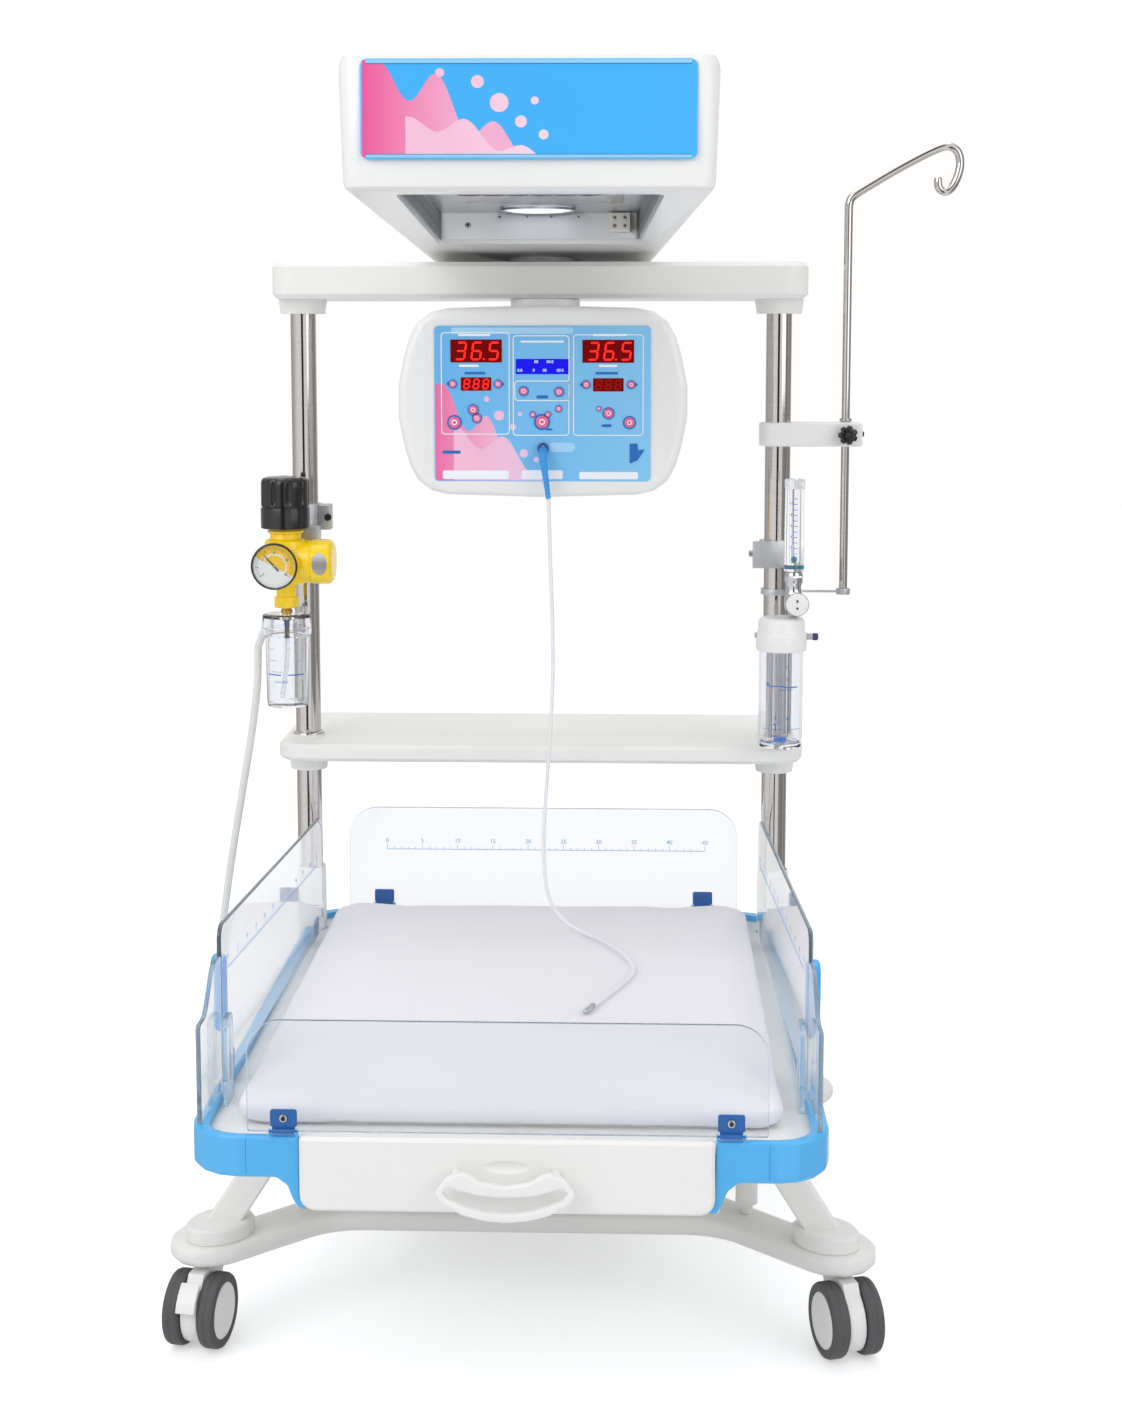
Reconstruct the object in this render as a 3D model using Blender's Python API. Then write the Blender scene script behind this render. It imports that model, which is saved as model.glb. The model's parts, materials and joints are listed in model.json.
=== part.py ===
"""Infant radiant warmer on casters, with a heater hood, a control box and a bed with fold-down sides.

The model is built in metres with +Z up. The front of the bed faces -Y. While it is built, the two steel
posts stand on the plane Y = 0 and the floor is Z = 0. The last step moves it so that the centre of its
outline is X = Y = 0.
"""
import math

import bmesh
import bpy
from mathutils import Matrix, Vector

# Clearances
SEAT_GAP = 0.0003
CUT_OVERRUN = 0.002
RUN_GAP = 0.0012
JOIN_DEPTH = 0.0010

# Posts, shelf and crossbar
POST_SPACING = 0.6408
POST_DIAMETER = 0.0344
SHELF_TOP = 0.6085
SHELF_THICKNESS = 0.0235
SHELF_LENGTH = 0.711
SHELF_FRONT = -0.074
SHELF_REAR = 0.181
SHELF_CORNER = 0.040
SHELF_EDGE = 0.005
CROSSBAR_BOTTOM = 1.2044
CROSSBAR_HEIGHT = 0.0477
CROSSBAR_LENGTH = 0.713
CROSSBAR_FRONT = -0.062
CROSSBAR_REAR = 0.185
CROSSBAR_CORNER = 0.034
CROSSBAR_EDGE = 0.006
POST_GRIP_DEPTH = 0.030
TOP_COLLAR_DIAMETER = 0.066
TOP_COLLAR_FOOT = 0.060
TOP_COLLAR_HEIGHT = 0.0195
SHELF_COLLAR_DIAMETER = 0.056
SHELF_COLLAR_FOOT = 0.050
SHELF_COLLAR_HEIGHT = 0.022
BUSH_DIAMETER = 0.043
BUSH_HEIGHT = 0.004
SOCKET_DIAMETER = 0.044
SOCKET_TOP = 0.4265

# Base plate
BASE_BOTTOM = 0.093
BASE_THICKNESS = 0.024
BASE_EDGE = 0.005
PAD_SPACING = 0.724
PAD_RADIUS = 0.048
PAD_FRONT = -0.519
PAD_REAR = 0.016
BAR_SETBACK = 0.061
ARM_ANGLE = math.radians(43)
ARM_INNER_OFFSET = 0.0145
ARM_FILLET = 0.080
WAIST_HALF_WIDTH = 0.230
WAIST_FILLET = 0.045
CUP_INSET = 0.011
CUP_LENGTH = 0.084
CUP_WIDTH = 0.066
CUP_HEIGHT = 0.018
CUP_EDGE = 0.003
STRUT_WIDTH = 0.035
STRUT_THICKNESS = 0.018
STRUT_EDGE = 0.003
STRUT_IN_SHARE = 0.66
STRUT_BACK_SHARE = 0.20
COLUMN_X = 0.2640
COLUMN_Y = -0.4390
COLUMN_DIAMETER = 0.0260
COLUMN_SPIGOT_DIAMETER = 0.0150
COLUMN_SPIGOT_HEIGHT = 0.0130

# Casters
WHEEL_DIAMETER = 0.086
WHEEL_WIDTH = 0.020
WHEEL_PITCH = 0.042
WHEEL_SHOULDER = 0.0035
AXLE_DIAMETER = 0.008
CASTER_TRAIL = 0.036
HOUSING_WIDTH = 0.0190
HOUSING_DIAMETER = 0.074
NECK_FRONT = 0.0130
NECK_REAR = -0.0460
STEM_DIAMETER = 0.024
STEM_HEIGHT = 0.005
BRAKE_REACH = 0.0445
BRAKE_THICKNESS = 0.0045
BRAKE_WIDTH = 0.0230
BRAKE_TIP_ANGLE = math.radians(164)
BRAKE_TOP_ANGLE = math.radians(122)
BRAKE_PIN_REACH = 0.0415
BRAKE_TONGUE_WIDTH = 0.0120
BRAKE_TONGUE_ANGLE = math.radians(134)
WHEEL_SIDES = 24

# Bed
BED_HALF_WIDTH = 0.3314
BED_FRONT = -0.798
BED_REAR = 0.075
BED_CORNER = 0.055
BUMPER_TOP = 0.3441
BUMPER_HEIGHT = 0.0449
BUMPER_TOP_WIDTH = 0.019
FRONT_RIM_SHARE = 0.53
BUMPER_WALL = 0.008
BUMPER_ROUND = 0.005
BUMPER_TAIL_WIDTH = 0.012
DECK_TOP = 0.3360
DECK_THICKNESS = 0.006
DECK_SKIRT = 0.034
DECK_WALL = 0.004
PLATFORM_HEIGHT = 0.0022
PLATFORM_INSET = 0.018
CHANNEL_WIDTH = 0.070
CHANNEL_BOTTOM = 0.270
CHANNEL_FRONT = -0.560
CHANNEL_REAR = 0.0100
CHANNEL_TAB_HEIGHT = 0.030
CROSS_MEMBER_FRONT = -0.2500
CROSS_MEMBER_WIDTH = 0.0400

# Drawer
DRAWER_HALF_WIDTH = 0.2115
DRAWER_BOTTOM = 0.268
DRAWER_TOP = 0.346
DRAWER_FACE = -0.806
DRAWER_FACE_THICKNESS = 0.0120
DRAWER_CORNER = 0.016
DRAWER_TOP_CORNER = 0.004
DRAWER_FACE_EDGE = 0.0035
DRAWER_DEPTH = 0.490
DRAWER_SIDE_INSET = 0.0135
DRAWER_FLOOR_LIFT = 0.0025
DRAWER_WALL = 0.003
DRAWER_BOX_HEIGHT = 0.0450
RUNNER_WIDTH = 0.0090
RUNNER_THICKNESS = 0.0030
RUNNER_HEIGHT = 0.3085
HANDLE_HALF_LENGTH = 0.0705
HANDLE_HEIGHT = 0.0560
HANDLE_CENTRE_Z = 0.2975
HANDLE_STANDOFF = 0.014
HANDLE_THICKNESS = 0.0100
HANDLE_FOOT_DIAMETER = 0.010

# Mattress
MATTRESS_WIDTH = 0.580
MATTRESS_LENGTH = 0.790
MATTRESS_FRONT = -0.755
MATTRESS_BOTTOM = 0.3386
MATTRESS_THICKNESS = 0.0275
MATTRESS_CROWN = 0.0040
MATTRESS_CORNER = 0.030
MATTRESS_DRAW_IN = 0.006
MATTRESS_ROUND = 0.008

# Clear panels
PANEL_THICKNESS = 0.005
PANEL_BOTTOM = 0.3475
FRONT_PANEL_HALF_WIDTH = 0.266
FRONT_PANEL_TOP = 0.4650
FRONT_PANEL_CORNER = 0.035
REAR_PANEL_HALF_WIDTH = 0.275
REAR_PANEL_TOP = 0.492
REAR_PANEL_CORNER = 0.041
PANEL_FOOT_CORNER = 0.003
SIDE_PANEL_REAR_X = 0.3000
SIDE_PANEL_REAR = -0.035
SIDE_PANEL_FRONT_X = 0.3170
SIDE_PANEL_FRONT = -0.667
SIDE_PANEL_REAR_TOP = 0.503
SIDE_PANEL_FRONT_TOP = 0.526
SIDE_PANEL_CORNER = 0.012
WING_REAR = -0.6710
WING_FRONT = -0.7700
WING_REAR_TOP = 0.4950
WING_FRONT_TOP = 0.4500
WING_STEP_SHARE = 0.30
WING_CURVE = 0.0300

# Panel brackets and guides
BRACKET_WIDTH = 0.024
BRACKET_HEIGHT = 0.020
BRACKET_THICKNESS = 0.002
FRONT_BRACKET_X = 0.2280
SIDE_BRACKET_REAR = -0.085
SIDE_BRACKET_FRONT = -0.620
REAR_BRACKET_X = 0.2262
HINGE_RADIUS = 0.0030
HINGE_PIN_DIAMETER = 0.0030
HINGE_BORE_DIAMETER = 0.0034
HINGE_HEIGHT = 0.3500
LUG_THICKNESS = 0.003
GUIDE_FRONT = -0.6950
GUIDE_REAR = -0.6600
GUIDE_FACE_X = 0.3095
GUIDE_THICKNESS = 0.005
GUIDE_TOP = 0.4320
GUIDE_SLOT_WIDTH = 0.0100
GUIDE_SLOT_BOTTOM = 0.3600
GUIDE_SLOT_TOP = 0.4200
GUIDE_CORNER = 0.0100
GUIDE_BOLT_DIAMETER = 0.0080
GUIDE_BOLT_Y = -0.6830
GUIDE_BOLT_Z = 0.3520
GRIP_BOTTOM = 0.4050
GRIP_TOP = 0.4900
GRIP_DEPTH = 0.0090
GRIP_FRONT = -0.6640
GRIP_REAR = -0.6340
GRIP_ROUND = 0.0035

# Hood
HOOD_PIVOT_Y = 0.060
HOOD_UNDERSIDE = 1.2590
HOOD_TILT = math.radians(3.4)
HOOD_YAW = math.radians(1.45)
HOOD_FRONT = 0.752
HOOD_REAR = 0.095
HOOD_FRONT_HALF_WIDTH = 0.1965
HOOD_REAR_HALF_WIDTH = 0.1560
HOOD_HEIGHT = 0.1380
HOOD_CORNER = 0.022
HOOD_REAR_CORNER = 0.040
HOOD_LOWER_DRAFT = 0.0045
HOOD_ROUND = 0.010
CAVITY_FRONT = 0.705
CAVITY_REAR = 0.212
CAVITY_FRONT_HALF_WIDTH = 0.140
CAVITY_REAR_HALF_WIDTH = 0.128
CAVITY_DEPTH = 0.040
CAVITY_CORNER = 0.010
CHAMBER_FRONT = 0.640
CHAMBER_REAR = 0.330
CHAMBER_HALF_WIDTH = 0.098
CHAMBER_DEPTH = 0.112
LINER_WALL = 0.0015
LINER_FLANGE = 0.005
GUARD_HALF_WIDTH = 0.104
GUARD_THICKNESS = 0.0015
HEX_PITCH = 0.0285
HEX_BAR = 0.0032
HEX_ROWS = 7
HEX_COLUMNS = 6
HEATER_ROD_DIAMETER = 0.012
HEATER_ROD_SPACING = 0.058
HEATER_CAP_DIAMETER = 0.018
HEATER_CAP_LENGTH = 0.018
HEATER_HEIGHT = 0.078
SWIVEL_DIAMETER = 0.118
SWIVEL_THICKNESS = 0.0022
SWIVEL_SPIGOT_DIAMETER = 0.046
SWIVEL_SPIGOT_HEIGHT = 0.018
SWIVEL_SLOTS = 8
SWIVEL_SLOT_LENGTH = 0.012
SWIVEL_SLOT_WIDTH = 0.004
FOOT_DIAMETER = 0.090
HOOD_PLATE_WIDTH = 0.342
HOOD_PLATE_HEIGHT = 0.1010
HOOD_PLATE_CENTRE_HEIGHT = 0.0800
HOOD_PLATE_THICKNESS = 0.004
HOOD_PLATE_CORNER = 0.008
HOOD_PLATE_RECESS = 0.0015
HOOD_PLATE_EDGE = 0.0012

# Control box
CONTROL_X = 0.008
CONTROL_Z = 1.0680
CONTROL_FACE = -0.125
CONTROL_HALF_WIDTH = 0.1855
CONTROL_HALF_HEIGHT = 0.1215
CONTROL_SHOULDER_X = 0.151
CONTROL_SHOULDER_Z = 0.1170
CONTROL_CORNER = 0.050
CONTROL_BULGE_RADIUS = 0.420
BEZEL_DEPTH = 0.024
BEZEL_EDGE = 0.008
BACK_DEPTH = 0.064
BACK_INSET = 0.012
BACK_EDGE = 0.010
OVERLAY_HALF_WIDTH = 0.1400
OVERLAY_HALF_HEIGHT = 0.1003
OVERLAY_CORNER = 0.006
OVERLAY_THICKNESS = 0.0015
OVERLAY_RECESS = 0.0025
BOSS_HALF_WIDTH = 0.0460
BOSS_HALF_DEPTH = 0.0260
BOSS_CENTRE_Y = -0.034

# Temperature probe
PROBE_SOCKET_X = 0.0092
PROBE_SOCKET_Z = 1.0107
PROBE_SOCKET_DIAMETER = 0.0150
PROBE_SOCKET_LENGTH = 0.0070
RELIEF_DIAMETER = 0.0110
RELIEF_TIP_DIAMETER = 0.0066
RELIEF_STANDOFF = 0.0150
RELIEF_END = (0.0166, -0.1440, 0.9465)
PROBE_CABLE_DIAMETER = 0.0050
PROBE_CABLE_ROUTE = [
    (0.0166, -0.1440, 0.9459), (0.0172, -0.1440, 0.9300), (0.0188, -0.1430, 0.8700),
    (0.0215, -0.1405, 0.7900), (0.0215, -0.1370, 0.7000), (0.0165, -0.1340, 0.6100),
    (0.0110, -0.1330, 0.5300), (0.0100, -0.1350, 0.4700), (0.0160, -0.1330, 0.4180),
    (0.0340, -0.1320, 0.3880), (0.0600, -0.1440, 0.3745), (0.0900, -0.1850, 0.3731),
    (0.1170, -0.2450, 0.3731), (0.1290, -0.3050, 0.3731), (0.1180, -0.3560, 0.3731),
    (0.0990, -0.4050, 0.3731), (0.0820, -0.4500, 0.3731),
]
PROBE_CABLE_STEP = 0.0180
PROBE_TIP_DIAMETER = 0.0064
PROBE_TIP_LENGTH = 0.0300

# Vacuum regulator on the left post
VACUUM_X = -0.3345
VACUUM_Y = -0.085
KNOB_DIAMETER = 0.0650
KNOB_BOTTOM = 0.9025
KNOB_HEIGHT = 0.0690
KNOB_SKIRT_HEIGHT = 0.0300
KNOB_RIBS = 14
KNOB_RIB_DEPTH = 0.0022
KNOB_ROUND = 0.006
REGULATOR_BODY_DIAMETER = 0.0560
REGULATOR_BODY_BOTTOM = 0.8270
REGULATOR_BODY_HEIGHT = 0.0620
REGULATOR_CAP_DIAMETER = 0.0420
REGULATOR_BARREL_DIAMETER = 0.0600
REGULATOR_BARREL_END_X = -0.2700
REGULATOR_BARREL_Z = 0.8580
REGULATOR_NECK_DIAMETER = 0.0330
REGULATOR_NECK_BOTTOM = 0.7960
REGULATOR_NECK_ROUND = 0.004
GAUGE_X = -0.3430
GAUGE_Z = 0.8557
GAUGE_DIAMETER = 0.0620
GAUGE_DEPTH = 0.0160
GAUGE_BEZEL_WALL = 0.0022
GAUGE_RECESS = 0.0035
NEEDLE_LENGTH = 0.0230
NEEDLE_TAIL = 0.0080
NEEDLE_WIDTH = 0.0022
NEEDLE_THICKNESS = 0.0008
NEEDLE_HUB_DIAMETER = 0.0050
NEEDLE_ANGLE = math.radians(132)
JAR_DIAMETER = 0.0580
JAR_BOTTOM = 0.6642
JAR_TOP = 0.7690
JAR_WALL = 0.0018
JAR_TAPER = 0.0020
JAR_LID_DIAMETER = 0.0650
JAR_LID_HEIGHT = 0.0200
JAR_LID_SKIRT = 0.0100
FITTING_DIAMETER = 0.0150
DIP_TUBE_DIAMETER = 0.0060
DIP_TUBE_BOTTOM = 0.6950
BARB_DIAMETER = 0.0080
BARB_LENGTH = 0.0120
BARB_ANGLE = math.radians(125)
BARB_DROP = 0.0100

# Suction hose
HOSE_DIAMETER = 0.0105
HOSE_ROUTE_AFTER_BARB = [
    (-0.3740, -0.0290, 0.7600), (-0.3850, -0.0220, 0.7330), (-0.3857, -0.0240, 0.6894),
    (-0.3944, -0.0200, 0.6244), (-0.4101, -0.0160, 0.5372), (-0.4277, -0.0140, 0.4384),
    (-0.4425, -0.0140, 0.3382), (-0.4552, -0.0140, 0.2265), (-0.4635, -0.0150, 0.1300),
    (-0.4680, -0.0150, 0.0600), (-0.4710, -0.0007, 0.0210), (-0.4780, 0.0340, 0.0058),
    (-0.4740, 0.0850, 0.0058), (-0.4470, 0.1340, 0.0058), (-0.3960, 0.1700, 0.0058),
    (-0.3160, 0.1890, 0.0058), (-0.2400, 0.1900, 0.0058),
]
HOSE_STEP = 0.0260
COIL_CENTRE_X = -0.1800
COIL_OUTER_RADIUS = 0.0680
COIL_PITCH = 0.0112
COIL_TURNS = 2
COIL_POINTS_PER_TURN = 24
COIL_END_BEND = 0.0200
COIL_END_TURN = math.radians(84)
COIL_END_STEPS = 6
CONNECTOR_DIAMETER = 0.0150
CONNECTOR_LENGTH = 0.0340
CONNECTOR_NOSE_DIAMETER = 0.0080
CONNECTOR_NOSE_LENGTH = 0.0140

# Flowmeter and humidifier on the right post
FLOW_X = 0.3370
FLOW_Y = -0.095
FLOW_TUBE_DIAMETER = 0.0270
FLOW_TUBE_BOTTOM = 0.8480
FLOW_TUBE_HEIGHT = 0.1220
FLOW_TUBE_BORE = 0.0100
FLOW_BORE_FLOOR = 0.012
FLOAT_DIAMETER = 0.0088
FLOW_BODY_DIAMETER = 0.0240
FLOW_BODY_BOTTOM = 0.7960
FLOW_STEM_DIAMETER = 0.0130
FLOW_KNOB_DIAMETER = 0.0310
FLOW_KNOB_Z = 0.8075
FLOW_KNOB_X = 0.3400
FLOW_KNOB_LENGTH = 0.0160
FLOW_KNOB_RIBS = 10
FLOW_KNOB_RIB_DEPTH = 0.0010
HUMIDIFIER_X = 0.3215
CAP_DIAMETER = 0.0670
CAP_BOTTOM = 0.7436
CAP_HEIGHT = 0.0440
CAP_ROUND = 0.006
OUTLET_DIAMETER = 0.0100
OUTLET_LENGTH = 0.0150
OUTLET_Z = 0.7620
HUMIDIFIER_JAR_DIAMETER = 0.0580
HUMIDIFIER_JAR_BOTTOM = 0.6155
HUMIDIFIER_NECK_DEPTH = 0.0120
BUBBLER_DIAMETER = 0.0090
BUBBLER_BOTTOM = 0.6320

# Clamps on the posts
CLAMP_WALL = 0.0060
CLAMP_HEIGHT = 0.0360
VACUUM_CLAMP_Z = 0.8930
FLOW_CLAMP_Z = 0.8450
CLAMP_BLOCK_WIDTH = 0.0240
STAY_Z = 0.8110
STAY_DIAMETER = 0.0040
STAY_RING_WALL = 0.0035
STAY_RING_HEIGHT = 0.0080

# Infusion pole
POLE_X = 0.4110
POLE_DIAMETER = 0.0112
POLE_BOTTOM = 0.8083
POLE_BEND_Z = 1.3250
HOOK_ROUTE = [
    (0.4120, 1.3310), (0.4170, 1.3400), (0.4420, 1.3560), (0.4800, 1.3780), (0.5200, 1.3985),
    (0.5400, 1.4045), (0.5530, 1.3980), (0.5570, 1.3800), (0.5510, 1.3580), (0.5400, 1.3455),
    (0.5300, 1.3500), (0.5280, 1.3640),
]
IV_BRACKET_BOTTOM = 1.0080
IV_BRACKET_HEIGHT = 0.0320
IV_BRACKET_LEFT = 0.2950
IV_BRACKET_RIGHT = 0.4320
IV_BRACKET_HALF_DEPTH = 0.0230
IV_BRACKET_CORNER = 0.0220
IV_BRACKET_END_CORNER = 0.0040
IV_BRACKET_EDGE = 0.0020
STAR_KNOB_DIAMETER = 0.0260
STAR_KNOB_THICKNESS = 0.0120
STAR_KNOB_LOBES = 6
STAR_KNOB_LOBE_DEPTH = 0.0020
STAR_KNOB_STEM_DIAMETER = 0.0080
STAR_KNOB_STEM_LENGTH = 0.0060

# Values worked out from the sizes above
POST_X = POST_SPACING / 2
POST_RADIUS = POST_DIAMETER / 2
BASE_TOP = BASE_BOTTOM + BASE_THICKNESS
CROSSBAR_TOP = CROSSBAR_BOTTOM + CROSSBAR_HEIGHT
SHELF_BOTTOM = SHELF_TOP - SHELF_THICKNESS
BUMPER_BOTTOM = BUMPER_TOP - BUMPER_HEIGHT
PAD_X = PAD_SPACING / 2
WHEEL_RADIUS = WHEEL_DIAMETER / 2
AXLE_HEIGHT = WHEEL_RADIUS * math.cos(math.pi / WHEEL_SIDES)
DRAWER_FACE_BACK = DRAWER_FACE + DRAWER_FACE_THICKNESS
HINGE_OFFSET = PANEL_THICKNESS / 2 + SEAT_GAP + HINGE_RADIUS
FRONT_PANEL_Y = BED_FRONT + HINGE_OFFSET
REAR_PANEL_Y = BED_REAR - HINGE_OFFSET

WHITE = (0.86, 0.86, 0.84)
BLUE = (0.10, 0.45, 0.85)
STEEL = (0.62, 0.61, 0.60)
CLEAR = (0.80, 0.86, 0.90)

CARRIERS = {}


def start_clean():
    for obj in list(bpy.data.objects):
        bpy.data.objects.remove(obj, do_unlink=True)


def finish(name, colour, roughness, metallic=0.0):
    material = bpy.data.materials.new(name)
    material.use_nodes = True
    shader = material.node_tree.nodes["Principled BSDF"]
    shader.inputs["Base Color"].default_value = (*colour, 1.0)
    shader.inputs["Roughness"].default_value = roughness
    shader.inputs["Metallic"].default_value = metallic
    return material


def add_carrier(name, place, parent=None, turn=None):
    """An empty on a joint's axis; the pieces of that body hang from it."""
    empty = bpy.data.objects.new(name + "_axis", None)
    bpy.context.collection.objects.link(empty)
    matrix = Matrix.Translation(place)
    if turn is not None:
        matrix = matrix @ turn
    CARRIERS[name] = (empty, matrix)
    if parent is not None:
        empty.parent = CARRIERS[parent][0]
        matrix = CARRIERS[parent][1].inverted() @ matrix
    empty.matrix_local = matrix
    return empty


def add_piece(name, mesh, look, carrier, smooth_angle=35, local=False):
    """Makes a node. A mesh drawn in the building frame is carried over to its carrier's own frame."""
    empty, matrix = CARRIERS[carrier]
    bmesh.ops.remove_doubles(mesh, verts=mesh.verts, dist=SEAT_GAP / 10)
    bmesh.ops.recalc_face_normals(mesh, faces=mesh.faces)
    if not local:
        bmesh.ops.transform(mesh, matrix=matrix.inverted(), verts=mesh.verts)
    data = bpy.data.meshes.new(name)
    mesh.to_mesh(data)
    mesh.free()
    data.shade_smooth()
    data.set_sharp_from_angle(angle=math.radians(smooth_angle))
    obj = bpy.data.objects.new(name, data)
    bpy.context.collection.objects.link(obj)
    obj.parent = empty
    obj.data.materials.append(finish(name, *look))
    return obj


def add_tool(target, mesh, operation="DIFFERENCE", local=False):
    """A hidden shape that a Boolean takes from, or joins to, the target."""
    empty = target.parent
    matrix = CARRIERS[empty.name.removesuffix("_axis")][1]
    bmesh.ops.remove_doubles(mesh, verts=mesh.verts, dist=SEAT_GAP / 10)
    bmesh.ops.recalc_face_normals(mesh, faces=mesh.faces)
    if not local:
        bmesh.ops.transform(mesh, matrix=matrix.inverted(), verts=mesh.verts)
    data = bpy.data.meshes.new(target.name + "_tool")
    mesh.to_mesh(data)
    mesh.free()
    tool = bpy.data.objects.new(target.name + "_tool", data)
    bpy.context.collection.objects.link(tool)
    tool.parent = empty
    tool.hide_render = True
    tool.display_type = "WIRE"
    modifier = target.modifiers.new("shape", "BOOLEAN")
    modifier.operation = operation
    modifier.solver = "EXACT"
    modifier.object = tool
    return tool


def add_bevel(obj, width, segments=1, angle=50):
    modifier = obj.modifiers.new("edge", "BEVEL")
    modifier.width = width
    modifier.segments = segments
    modifier.limit_method = "ANGLE"
    modifier.angle_limit = math.radians(angle)
    modifier.use_clamp_overlap = True
    return modifier


def box(low, high, mesh=None):
    mesh = mesh or bmesh.new()
    size = [high[i] - low[i] for i in range(3)]
    middle = [(high[i] + low[i]) / 2 for i in range(3)]
    place = Matrix.Translation(middle) @ Matrix.Diagonal((*size, 1.0))
    bmesh.ops.create_cube(mesh, size=1.0, matrix=place)
    return mesh


def rounded(corners, radii, steps=5):
    """A closed outline from corner points, each rounded by an arc of its radius."""
    outline = []
    count = len(corners)
    for index, corner in enumerate(corners):
        here = Vector(corner)
        before = (Vector(corners[index - 1]) - here)
        after = (Vector(corners[(index + 1) % count]) - here)
        radius = radii[index]
        if radius <= 0:
            outline.append(tuple(here))
            continue
        opening = before.angle(after)
        reach = radius / math.tan(opening / 2)
        start = here + before.normalized() * reach
        end = here + after.normalized() * reach
        middle = (before.normalized() + after.normalized()).normalized()
        centre = here + middle * (radius / math.sin(opening / 2))
        first = start - centre
        sweep = first.angle_signed(end - centre)
        for step in range(steps + 1):
            turn = -sweep * step / steps
            arm = Vector((first.x * math.cos(turn) - first.y * math.sin(turn),
                          first.x * math.sin(turn) + first.y * math.cos(turn)))
            outline.append(tuple(centre + arm))
    return outline


def rounded_box_outline(x_low, x_high, y_low, y_high, radius, steps=4):
    corners = [(x_low, y_low), (x_high, y_low), (x_high, y_high), (x_low, y_high)]
    radii = radius if isinstance(radius, (list, tuple)) else [radius] * 4
    return rounded(corners, radii, steps)


def circle(x, y, radius, sides=32, start=0.0):
    return [(x + radius * math.cos(start + 2 * math.pi * i / sides),
             y + radius * math.sin(start + 2 * math.pi * i / sides)) for i in range(sides)]


def onto(plane, point, level):
    """Places an outline point on a plane: XY at a height, XZ at a depth or YZ at a side."""
    first, second = point
    if plane == "XY":
        return (first, second, level)
    if plane == "XZ":
        return (first, level, second)
    return (level, first, second)


def slab(outline, plane, low, high, mesh=None):
    """An outline extruded between two levels."""
    return stack([(outline, low), (outline, high)], plane, mesh)


def stack(levels, plane, mesh=None):
    """A closed solid through outlines of equal point count, one at each level."""
    mesh = mesh or bmesh.new()
    rings = []
    for outline, level in levels:
        rings.append([mesh.verts.new(onto(plane, point, level)) for point in outline])
    count = len(rings[0])
    for lower, upper in zip(rings, rings[1:]):
        for i in range(count):
            j = (i + 1) % count
            mesh.faces.new((lower[i], lower[j], upper[j], upper[i]))
    mesh.faces.new(rings[0])
    mesh.faces.new(rings[-1])
    return mesh


def sweep_ring(outline_at, profile, mesh=None):
    """A ring whose section is a list of (inset, height), carried round the outline of each inset."""
    mesh = mesh or bmesh.new()
    rings = []
    for inset, height in profile:
        rings.append([mesh.verts.new((*point, height)) for point in outline_at(inset)])
    count = len(rings[0])
    for ring, following in zip(rings, rings[1:] + rings[:1]):
        for i in range(count):
            j = (i + 1) % count
            mesh.faces.new((ring[i], ring[j], following[j], following[i]))
    return mesh


def turned(profile, sides=32, centre=(0, 0, 0), axis="Z", closed=False, mesh=None):
    """A profile of (radius, height) turned round an axis. A closed profile gives a ring."""
    mesh = mesh or bmesh.new()
    made = []
    rings = []
    for radius, height in profile:
        if radius <= 0:
            rings.append([mesh.verts.new((0, 0, height))])
        else:
            rings.append([mesh.verts.new((*point, height)) for point in circle(0, 0, radius, sides)])
        made += rings[-1]
    pairs = list(zip(rings, rings[1:]))
    if closed:
        pairs.append((rings[-1], rings[0]))
    for lower, upper in pairs:
        for i in range(sides):
            j = (i + 1) % sides
            if len(lower) == 1 and len(upper) == 1:
                continue
            if len(lower) == 1:
                mesh.faces.new((lower[0], upper[j], upper[i]))
            elif len(upper) == 1:
                mesh.faces.new((lower[i], lower[j], upper[0]))
            else:
                mesh.faces.new((lower[i], lower[j], upper[j], upper[i]))
    if not closed:
        for ring in (rings[0], rings[-1]):
            if len(ring) > 1:
                mesh.faces.new(ring)
    turn = {"X": Matrix.Rotation(math.pi / 2, 4, "Y"), "Y": Matrix.Rotation(-math.pi / 2, 4, "X")}
    matrix = Matrix.Translation(centre) @ turn.get(axis, Matrix.Identity(4))
    bmesh.ops.transform(mesh, matrix=matrix, verts=made)
    return mesh


def rod(x, y, low, high, diameter, sides=24, mesh=None):
    return turned([(diameter / 2, low), (diameter / 2, high)], sides, (x, y, 0), mesh=mesh)


def ring(x, y, low, high, outer, inner, sides=32, mesh=None):
    profile = [(inner, low), (outer, low), (outer, high), (inner, high)]
    return turned(profile, sides, (x, y, 0), closed=True, mesh=mesh)


def lobed(x, y, radius, depth, lobes, steps=3):
    """A round outline with evenly spaced grip lobes."""
    outline = []
    for i in range(lobes * steps):
        turn = 2 * math.pi * i / (lobes * steps)
        reach = radius - depth * (1 - math.cos(lobes * turn)) / 2
        outline.append((x + reach * math.cos(turn), y + reach * math.sin(turn)))
    return outline


def drilled_plate(outer, holes, low, high):
    """A flat plate with holes, both faces filled and joined by walls."""
    mesh = bmesh.new()
    edges = []
    for loop in [outer] + holes:
        corners = [mesh.verts.new((*point, low)) for point in loop]
        edges += [mesh.edges.new(pair) for pair in zip(corners, corners[1:] + corners[:1])]
    filled = bmesh.ops.triangle_fill(mesh, use_beauty=True, use_dissolve=False, edges=edges)
    faces = [item for item in filled["geom"] if isinstance(item, bmesh.types.BMFace)]
    raised = bmesh.ops.extrude_face_region(mesh, geom=faces)
    corners = [item for item in raised["geom"] if isinstance(item, bmesh.types.BMVert)]
    bmesh.ops.translate(mesh, verts=corners, vec=(0, 0, high - low))
    return mesh


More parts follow.
